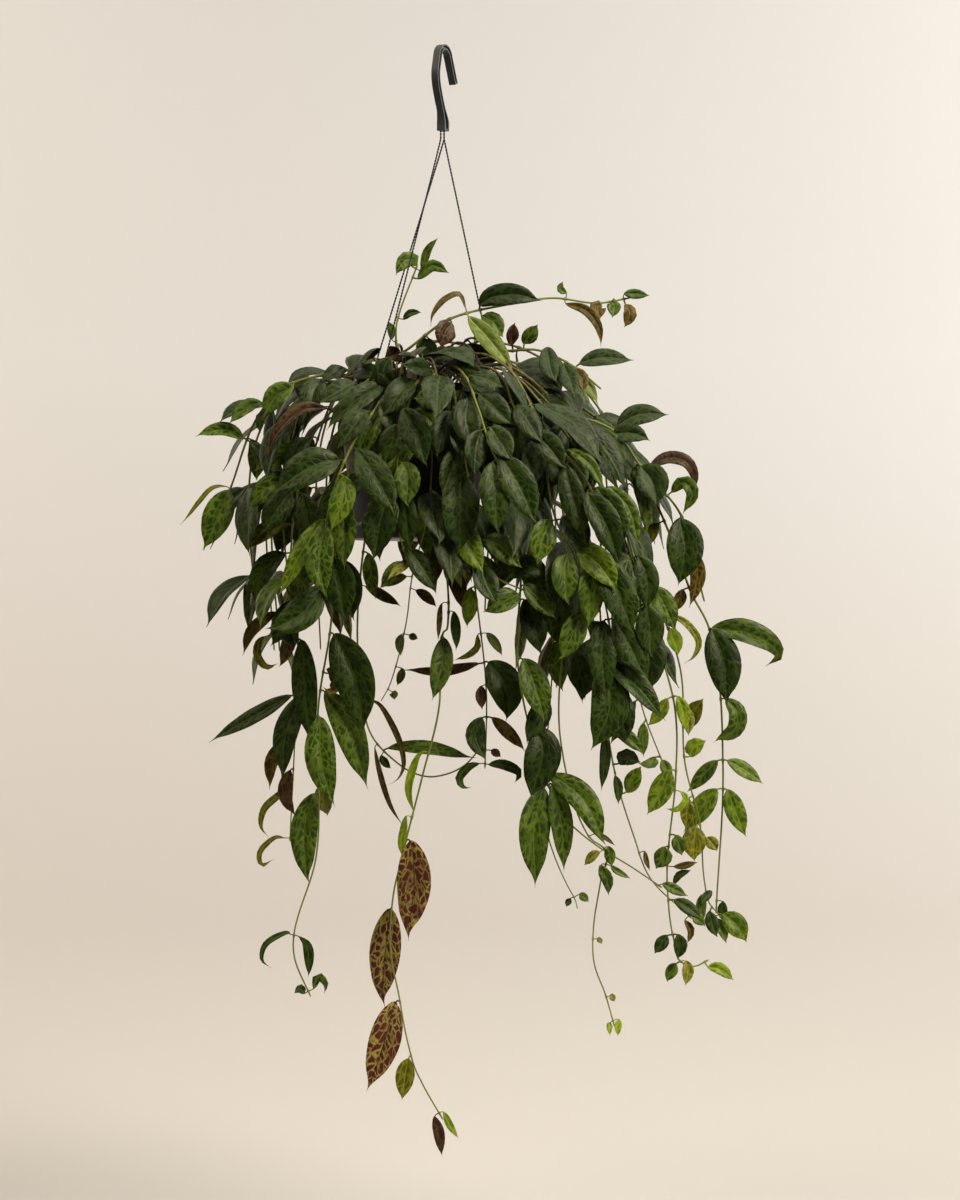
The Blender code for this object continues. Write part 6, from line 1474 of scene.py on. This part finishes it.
def make_pot(material):
    """The pot: a tapered wall, a turned-out rim with a skirt, and a bead that holds the tray."""
    bead = TRAY_BASE + TRAY_HEIGHT + GAP
    inside = pot_radius(RIM_TOP) - POT_WALL
    under, floor = RIM_TOP - RIM_THICK, POT_BASE + POT_WALL
    profile = [(0, POT_BASE), (POT_BASE_RADIUS, POT_BASE), (pot_radius(bead), bead),
               (pot_radius(bead) + BEAD_OUT, bead), (pot_radius(bead + BEAD_HIGH), bead + BEAD_HIGH),
               (pot_radius(under), under), (RIM_RADIUS - RIM_THICK, under),
               (RIM_RADIUS - RIM_THICK, RIM_TOP - RIM_SKIRT), (RIM_RADIUS, RIM_TOP - RIM_SKIRT),
               (RIM_RADIUS, RIM_TOP), (inside, RIM_TOP), (pot_radius(floor) - POT_WALL, floor), (0, floor)]
    pot = make_piece("moulded_pot", *turned_points(profile, TURNED_SIDES), material, "pot", "pot_plastic")
    rim = [on_circle(angle, HOLE_RADIUS, 0).xy for angle in WIRE_ANGLES.values()]
    bore(pot, rim, WIRE_HOLE + 0.3, RIM_TOP - 5, RIM_TOP + 3)
    drains = [on_circle(angle + 60, DRAIN_CIRCLE, 0).xy for angle in WIRE_ANGLES.values()]
    bore(pot, drains, DRAIN_RADIUS, POT_BASE - 3, POT_BASE + 4, 24)
    round_edges(pot, 0.5)


def make_tray(material):
    """The drip tray: a shallow dish whose lip snaps under the pot's bead."""
    top = TRAY_BASE + TRAY_HEIGHT
    floor = POT_BASE - GAP
    inside = TRAY_RADIUS - TRAY_WALL
    lip = pot_radius(top) + GAP
    flat, bend = TRAY_RADIUS - TRAY_CHAMFER, 0.3 * TRAY_CHAMFER
    profile = [(0, TRAY_BASE), (flat, TRAY_BASE), (TRAY_RADIUS - bend, TRAY_BASE + bend),
               (TRAY_RADIUS, TRAY_BASE + TRAY_CHAMFER), (TRAY_RADIUS, top), (lip, top),
               (lip, top - TRAY_LIP), (inside, top - 1.5 * TRAY_LIP), (inside, floor + 1.4),
               (flat, floor), (0, floor)]
    shape = turned_points(profile, TURNED_SIDES)
    tray = make_piece("clip_on_tray", *shape, material, "drip_tray", "tray_plastic")
    round_edges(tray, 0.4)


def make_soil(material):
    """Peat with a crumbled top, and loose crumbs half sunk in it."""
    low, edge = POT_BASE + POT_WALL + GAP, pot_radius(SOIL_TOP) - POT_WALL - GAP * 1.4
    rings, sides = 44, 120
    profile = [(0, low), (pot_radius(low) - POT_WALL - GAP * 1.4, low)]
    profile += [(edge * (rings - k) / rings, SOIL_TOP) for k in range(rings + 1)]
    points, faces = turned_points(profile, sides)
    rough = []
    for x, y, z in points:
        lump = 0.0
        if z > SOIL_TOP - 1:
            inner = min(1.0, (edge - math.hypot(x - POT_X, y)) / 4)
            lumps, grains = noise.noise((x / 9, y / 9, 3)), noise.noise((x / 3, y / 3, 7))
            lump = inner * (2.2 * lumps + 1.2 * grains - 0.8)
        rough.append((x, y, z + lump))
    draw, crumbs, corners = random.Random(7), 260, 5
    for _ in range(crumbs):
        middle = on_circle(draw.uniform(0, 360), (edge - 4) * draw.random() ** 0.5, SOIL_TOP - 0.3)
        size, first = draw.uniform(0.8, 2.3), len(rough)
        for turn in range(corners):
            way = turn * math.tau / corners + draw.uniform(-0.3, 0.3)
            rough.append((middle.x + math.cos(way) * size, middle.y + math.sin(way) * size,
                          middle.z + draw.uniform(-0.3, 0.4) * size))
        rough += [(middle.x, middle.y, middle.z + size * 0.8), (middle.x, middle.y, middle.z - size * 0.8)]
        for turn in range(corners):
            a, b = first + turn, first + (turn + 1) % corners
            faces += [(a, b, first + corners), (b, a, first + corners + 1)]
    make_piece("peat_surface", rough, faces, material, "soil", "soil", 60)


def hook_middle():
    """The middle of the hook in its own plane, from its tip round the crown to its foot."""
    ways = [math.radians(way) for way in range(CROOK_OPEN, 181 - CROOK_OPEN, 6)]
    crook = [(CROOK_RADIUS * math.cos(way), CROOK_CENTRE + CROOK_RADIUS * math.sin(way)) for way in ways]
    fall = crook[0][1] - HOOK_TIP
    lean = math.tan(math.radians(CROOK_OPEN))
    tip = [(crook[0][0] + fall * lean * (1 - k / 5), HOOK_TIP + fall * k / 5) for k in range(5)]
    bends = [Vector((x, 0, z)) for x, z in (*crook[-2:], *HOOK_SHANK, (0, FOOT_BOTTOM))]
    shank = [(p.x, p.z) for p in smooth_line(bends, 1.6) if p.z < crook[-1][1] - 0.5]
    return tip + crook + shank


def make_hook(material):
    """An H-section along the hook's path: it swells into the foot, where the recesses run out."""
    across = Vector((-math.sin(HOOK_TURN), math.cos(HOOK_TURN), 0))
    along = Vector((math.cos(HOOK_TURN), math.sin(HOOK_TURN), 0))
    path = [along * p + Vector((0, 0, z)) for p, z in hook_middle()]
    rings = []
    for i, (centre, heading) in enumerate(zip(path, along_path(path))):
        normal, lower = heading.cross(across).normalized(), i > len(path) // 2
        foot = clamped((FOOT_TOP + 8 - centre.z) / 12) if lower else 0.0
        thick = (HOOK_THICK + (FOOT_WIDE - HOOK_THICK) * foot) / 2
        wide = (HOOK_WIDE + (FOOT_WIDE - HOOK_WIDE) * foot) / 2
        closed = clamped((FOOT_BOTTOM + 4 - centre.z) / 2.5) if lower else {0: 1.0, 1: 0.35}.get(i, 0.0)
        rib = thick - HOOK_RIB - foot * 0.7
        web = HOOK_WEB / 2 + (wide - 0.25 - HOOK_WEB / 2) * closed
        half = ((thick, wide), (rib, wide), (rib, web), (-rib, web), (-rib, wide), (-thick, wide))
        section = (*half, *[(-a, -c) for a, c in half])
        rings.append([centre + normal * a + across * c for a, c in section])
    hook = make_piece("moulded_hook", *tube(rings), material, "hook", "hook_plastic")
    round_edges(hook, 0.35)


def make_wires(material):
    """Each hanger wire: two strands twisted together, straight out of the foot and bent into the rim."""
    twist, strand, sides, step = 6.5, WIRE_RADIUS / 2, 6, 0.8
    for name, angle in WIRE_ANGLES.items():
        corners = wire_route(angle)
        route = Line([p for a, b in zip(corners, corners[1:]) for p in (a.lerp(b, 0.08), a.lerp(b, 0.92))])
        count = int(route.length / step)
        lengths = [route.length * i / count for i in range(count + 1)]
        headings = [route.heading(s, 1.2) for s in lengths]
        points, faces = [], []
        for half in (0, math.pi):
            rings = []
            for s, heading, across in zip(lengths, headings, carried(headings)):
                middle = ring(route.at(s), heading, across, half + math.tau * s / twist, strand)[0]
                rings.append(ring(middle, heading, across, 0, strand * 1.05, sides))
            more_points, more_faces = tube(rings, len(points))
            points, faces = points + more_points, faces + more_faces
        make_piece("twisted_" + name, points, faces, material, name, "hanger_wire", 80)


# The vines again, as they look: the same stems and leaves, with fine round forms.

ACROSS = (-1.0, -0.84, -0.62, -0.36, -0.13, 0.0, 0.13, 0.36, 0.62, 0.84, 1.0)
AROUND = len(ACROSS) * 2 - 2
PETIOLE_RADIUS = 0.85
BLADE_HALF_THICK = 0.32
RIB_DEPTH = 0.8
# A leaf narrower than this has a thinner stalk and blade.
NARROW_LEAF = 14
# A blade takes between these numbers of rings, about this far apart.
BLADE_RINGS = (9, 22)
RINGS_APART = 3.6


class FineStem:
    """A stem's polyline rounded off into one smooth curve that still passes its corners."""

    def __init__(self, stem):
        self.line = stem.line
        ways = [(b - a).normalized() for a, b in zip(self.line.points, self.line.points[1:])]
        spans = [b - a for a, b in zip(self.line.far, self.line.far[1:])]
        self.ways = [ways[0]]
        for i in range(1, len(ways)):
            self.ways.append((ways[i - 1] * spans[i] + ways[i] * spans[i - 1]).normalized())
        self.ways.append(ways[-1])

    def at(self, s):
        """The point at this length."""
        far = self.line.far
        i = clamped(bisect.bisect_right(far, s) - 1, 0, len(far) - 2)
        span = far[i + 1] - far[i]
        t = clamped((s - far[i]) / span)
        a, b = self.line.points[i], self.line.points[i + 1]
        return (a * (2 * t ** 3 - 3 * t * t + 1) + self.ways[i] * span * (t ** 3 - 2 * t * t + t)
                + b * (3 * t * t - 2 * t ** 3) + self.ways[i + 1] * span * (t ** 3 - t * t))


def ease(x):
    """A step from 0 to 1 with soft ends."""
    x = clamped(x)
    return x * x * (3 - 2 * x)


def blade_half_width(share, width):
    """Half the blade's width: full shoulders, then drawn in to a thin drip tip."""
    body = math.sin(math.pi * min(1, share / 0.95) ** 0.86) ** 0.72 * (1 - 0.1 * share)
    tail = 0.075 * (1 - share) / 0.15
    full = body * (1 - 0.45 * ease((share - 0.74) / 0.2)) if share < 0.95 else 0
    return max(full, min(tail, 0.075), 0.004) * width / 2


def blade_ups(line, face, places):
    """Which way is up at each place on a leaf: its face at mid-blade, carried towards both ends."""
    headings = [line.heading(d, 1.5) for d in places]
    ups, middle = [face] * len(places), len(places) // 2
    for k in (middle, *range(middle - 1, -1, -1), *range(middle + 1, len(places))):
        near = ups[k + (k < middle) - (k > middle)]
        ups[k] = (near - headings[k] * near.dot(headings[k])).normalized()
    return ups


def leaf_stations(length, start):
    """Places along a leaf's midrib: a few on the petiole, then close together at both ends of the blade."""
    count = int(clamped(length / RINGS_APART, *BLADE_RINGS))
    petiole = [start * k / 3 for k in range(3)]
    blade = [start + (length - start) * (0.5 - 0.5 * math.cos(math.pi * (k / count) ** 0.96))
             for k in range(count + 1)]
    return petiole + blade


def leaf_body(stem, fine, node, leaf, number, body):
    """One leaf as a closed body: a round petiole that widens into a thin pillowed blade."""
    line, width, fold, face = leaf["line"], leaf["width"], leaf["fold"], leaf["face"]
    start = petiole_length(line.length)
    draw = random.Random(number)
    chance = min(1, 0.62 * draw.random() + 0.42 * node["s"] / stem.line.length)
    wave_start, wave_count = draw.uniform(0, 6), draw.uniform(2.2, 3.6)
    wave, cup = draw.uniform(0.01, 0.045), draw.uniform(0.03, 0.08)
    curl, hook = draw.uniform(-0.02, 0.05), draw.uniform(-0.11, 0.11)
    shift = fine.at(node["s"]) - line.at(0)
    first, rings = len(body.points), 0
    places_along = leaf_stations(line.length, start)
    for d, up in zip(places_along, blade_ups(line, face, places_along)):
        side = up.cross(line.heading(d, 1.5))
        centre = line.at(d) + shift * (1 - ease(d / (start + 8)))
        share = max(0.0, (d - start) / (line.length - start))
        blade = ease(share / 0.07) if share else 0.0
        last = share > 0.999
        stalk = PETIOLE_RADIUS * (0.62 if width < NARROW_LEAF else 1.0)
        half = blade_half_width(share, width) if share else stalk
        half = max(half, stalk) if share < 0.1 else half
        centre += up * (curl * width * math.sin(math.pi * share))
        centre += side * (hook * ease((share - 0.86) / 0.14) * width)
        if last:
            body.point(centre, line.length, 0, share, 0, chance, number)
            break
        thin = BLADE_HALF_THICK * (0.6 if width < NARROW_LEAF else 1.0)
        for upper, places in ((True, ACROSS[::-1]), (False, ACROSS[1:-1])):
            for v in places:
                round_form = stalk * math.sqrt(max(0.0, 1 - v * v))
                pillow = math.sin(fold) * abs(v) + cup * math.sin(math.pi * min(1, abs(v) * 1.02))
                pillow -= 0.10 * abs(v) ** 4
                rise = wave_start + wave_count * math.tau * share + (2 if v > 0 else 0)
                pillow += wave * v * v * math.sin(rise)
                groove = -0.25 * math.exp(-(v * half / 0.9) ** 2) * (1 - share)
                body_thick = thin * (1 - v ** 6)
                if upper:
                    lift = (1 - blade) * round_form + blade * (pillow * half + body_thick + groove)
                else:
                    rib = RIB_DEPTH * math.exp(-(v * half / 1.0) ** 2) * (1 - 0.8 * share)
                    lift = -(1 - blade) * round_form + blade * (pillow * half - body_thick - rib)
                reach = half * v * ((1 - blade) + blade * math.cos(fold))
                body.point(centre + side * reach + up * lift, d - start, v * half, share, v, chance, number)
        rings += 1
    body.close(first, rings, AROUND, len(ACROSS) - 1, leaf["kind"])


def stem_body(stem, fine, number, body):
    """The stem: a round tube from below the soil, swollen at its nodes, tapering to a bud."""
    length, sides, foot = stem.line.length, 8, stem.root
    marks, count = [node["s"] for node in stem.nodes], int(length / 5)
    places = [length * k / count for k in range(count + 1)]
    places += [s + step for s in marks for step in (-2.4, -1, 0, 1, 2.4) if 3 < s + step < length - 1]
    places.sort()
    places = [s for s, then in zip(places, places[1:] + [1e9]) if then - s > 0.6]
    centres = [Vector((foot.x, foot.y, SOIL_TOP - 8)), Vector((foot.x, foot.y, SOIL_TOP + 2))]
    reach = [(-10, ROOT_RADIUS), (-3, ROOT_RADIUS)]
    for s in places:
        knob = max((math.exp(-((s - mark) / 1.7) ** 2) for mark in marks), default=0.0)
        centres.append(fine.at(s))
        reach.append((s, stem.girth(s) * (1 + 0.55 * knob)))
    first, headings = len(body.points), along_path(centres)
    for centre, heading, across, (s, radius) in zip(centres, headings, carried(headings), reach):
        for k, spot in enumerate(ring(centre, heading, across, 0, radius, sides)):
            body.point(spot, s, radius * k * math.tau / sides, s / length, 0, 0.5, number)
    body.point(centres[-1] + headings[-1] * BUD, length, 0, 1, 0, 0.5, number)
    body.close(first, len(centres), sides, sides, "stem")


class VineBody:
    """The points, faces and point values of one vine, gathered body by body."""

    def __init__(self):
        self.points, self.faces, self.skins, self.place, self.share = [], [], [], [], []

    def point(self, spot, along, across, share, v, chance, number):
        """Adds a point, with the values that its materials read."""
        self.points.append(tuple(spot * MM))
        self.place += (along - 0.6 * abs(across), across, 13.0 * number)
        self.share += (share, v, chance)

    def close(self, first, rings, sides, upper, kind):
        """Faces round the rings, with a flat end at the start and a point at the tip."""
        def skin(k):
            """The kind and the surface of this side."""
            return kind, "stem" if kind == "stem" else "top" if k < upper else "back"

        self.faces.append(tuple(range(first + sides - 1, first - 1, -1)))
        self.skins.append(skin(0))
        for k in range(rings - 1):
            self.faces += tube_faces(first + k * sides, sides)
        a, point = first + (rings - 1) * sides, first + rings * sides
        self.faces += [(a + k, a + (k + 1) % sides, point) for k in range(sides)]
        self.skins += [skin(k) for k in range(sides)] * rings


def make_vine(stem, number, skins):
    """The vine as one piece, with a material for the stem and two for each kind of leaf on it."""
    fine, body = FineStem(stem), VineBody()
    stem_body(stem, fine, number, body)
    leaves = [(node, leaf) for node in stem.nodes for leaf in node["leaves"]]
    for k, (node, leaf) in enumerate(leaves):
        leaf_body(stem, fine, node, leaf, 100 * number + k, body)
    mesh = bpy.data.meshes.new(stem.name)
    mesh.from_pydata(body.points, [], body.faces)
    used = sorted(set(body.skins))
    for kind, surface in used:
        mesh.materials.append(skins[kind, surface])
    slots = {skin: i for i, skin in enumerate(used)}
    mesh.polygons.foreach_set("material_index", [slots[skin] for skin in body.skins])
    for name, values in (("vein_place", body.place), ("leaf_share", body.share)):
        mesh.attributes.new(name, "FLOAT_VECTOR", "POINT").data.foreach_set("vector", values)
    mesh.shade_smooth()
    mesh.set_sharp_from_angle(angle=math.radians(65))
    piece = bpy.data.objects.new("living_" + stem.name, mesh)
    bpy.context.scene.collection.objects.link(piece)
    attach(piece, "root")
    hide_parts(stem.name)


# The studio: a seamless paper sweep, large soft lights and the camera.


def make_sweep(material):
    """One sheet of paper: the floor, a wide bend and the wall behind."""
    front_y, floor_z, wall_y, top_z, bend, half_wide = -0.6, -1.24, 4.9, 5.5, 1.6, 7.0
    section = [(front_y, floor_z), (wall_y - bend, floor_z)]
    for k in range(1, 13):
        way = math.radians(90 * k / 12)
        section.append((wall_y - bend + bend * math.sin(way), floor_z + bend - bend * math.cos(way)))
    section.append((wall_y, top_z))
    points = [(x, y, z) for y, z in section for x in (-half_wide, half_wide)]
    faces = [(2 * k, 2 * k + 1, 2 * k + 3, 2 * k + 2) for k in range(len(section) - 1)]
    mesh = bpy.data.meshes.new("paper_sweep")
    mesh.from_pydata(points, [], faces)
    mesh.materials.append(material)
    mesh.shade_smooth()
    sweep = bpy.data.objects.new("paper_sweep", mesh)
    bpy.context.scene.collection.objects.link(sweep)


def soft_light(name, place, aim, size, watts, colour):
    """A flat soft box that looks at a point."""
    light = bpy.data.lights.new(name, "AREA")
    light.shape = "RECTANGLE"
    light.size, light.size_y = size
    light.energy = watts
    light.color = linear(colour)[:3]
    box = bpy.data.objects.new(name, light)
    box.location = place
    box.rotation_euler = (Vector(aim) - Vector(place)).to_track_quat("-Z", "Y").to_euler()
    bpy.context.scene.collection.objects.link(box)


def make_studio():
    """Soft light on the plant from both sides and above, more on the wall behind, and the camera."""
    scene, plant = bpy.context.scene, (0, 0, -0.5)
    make_sweep(backdrop_paper_painted_shade())
    soft_light("key_box", (-1.7, -1.9, 2.2), plant, (1.8, 1.8), 46, "#fff4e0")
    soft_light("side_box", (2.0, -1.9, 1.6), plant, (1.6, 2.0), 125, "#fffaf0")
    soft_light("top_box", (0.3, 0.2, 1.9), plant, (2.2, 2.2), 30, "#fffaf0")
    soft_light("wall_left", (-3.6, 2.8, 1.5), (0.3, 4.9, 0.0), (2.4, 3.6), 84, "#ffeee2")
    soft_light("wall_right", (3.6, 2.8, 1.5), (-0.3, 4.9, 0.0), (2.4, 3.6), 124, "#fffdfa")
    world = bpy.data.worlds.new("room")
    world.use_nodes = True
    # The room is seen as pale as the paper all round, but adds only a faint light of its own.
    room = world.node_tree.nodes["Background"]
    room.inputs["Color"].default_value = linear("#f0e6d8")
    seen_or_lit = add(world.node_tree, "LightPath")
    strength = add(world.node_tree, "MapRange", {"To Min": 0.05, "To Max": 0.95},
                   {"Value": seen_or_lit.outputs["Is Camera Ray"]})
    join(world.node_tree, room, {"Strength": strength.outputs[0]})
    scene.world = world
    scene.view_settings.view_transform = "Standard"
    camera = bpy.data.cameras.new("camera")
    camera.lens, camera.sensor_width = LENS, FILM
    holder = bpy.data.objects.new("camera", camera)
    holder.location = EYE * MM
    holder.rotation_euler = (math.radians(90), 0, 0)
    scene.collection.objects.link(holder)
    scene.camera = holder


make_studio()

hook_plastic = moulded_plastic("hook_polypropylene", "#3a3d3c", 0.4, 0.5)
pot_plastic = moulded_plastic("pot_polypropylene", "#232222", 0.45, 0.6)
tray_plastic = moulded_plastic("tray_polypropylene", "#37343a", 0.42, 0.6)
make_hook(hook_plastic)
make_wires(coated_steel())
make_pot(pot_plastic)
make_tray(tray_plastic)
make_soil(potting_peat())

skins = {("stem", "stem"): green_stem()}
for kind in LEAF_TOPS:
    skins[kind, "top"] = waxy_leaf(kind + "_leaf_top", *LEAF_TOPS[kind])
    skins[kind, "back"] = waxy_leaf(kind + "_leaf_back", *LEAF_BACKS[kind], BACK_ROUGHNESS)
for number, stem in enumerate(grow_plant()):
    make_vine(stem, number, skins)
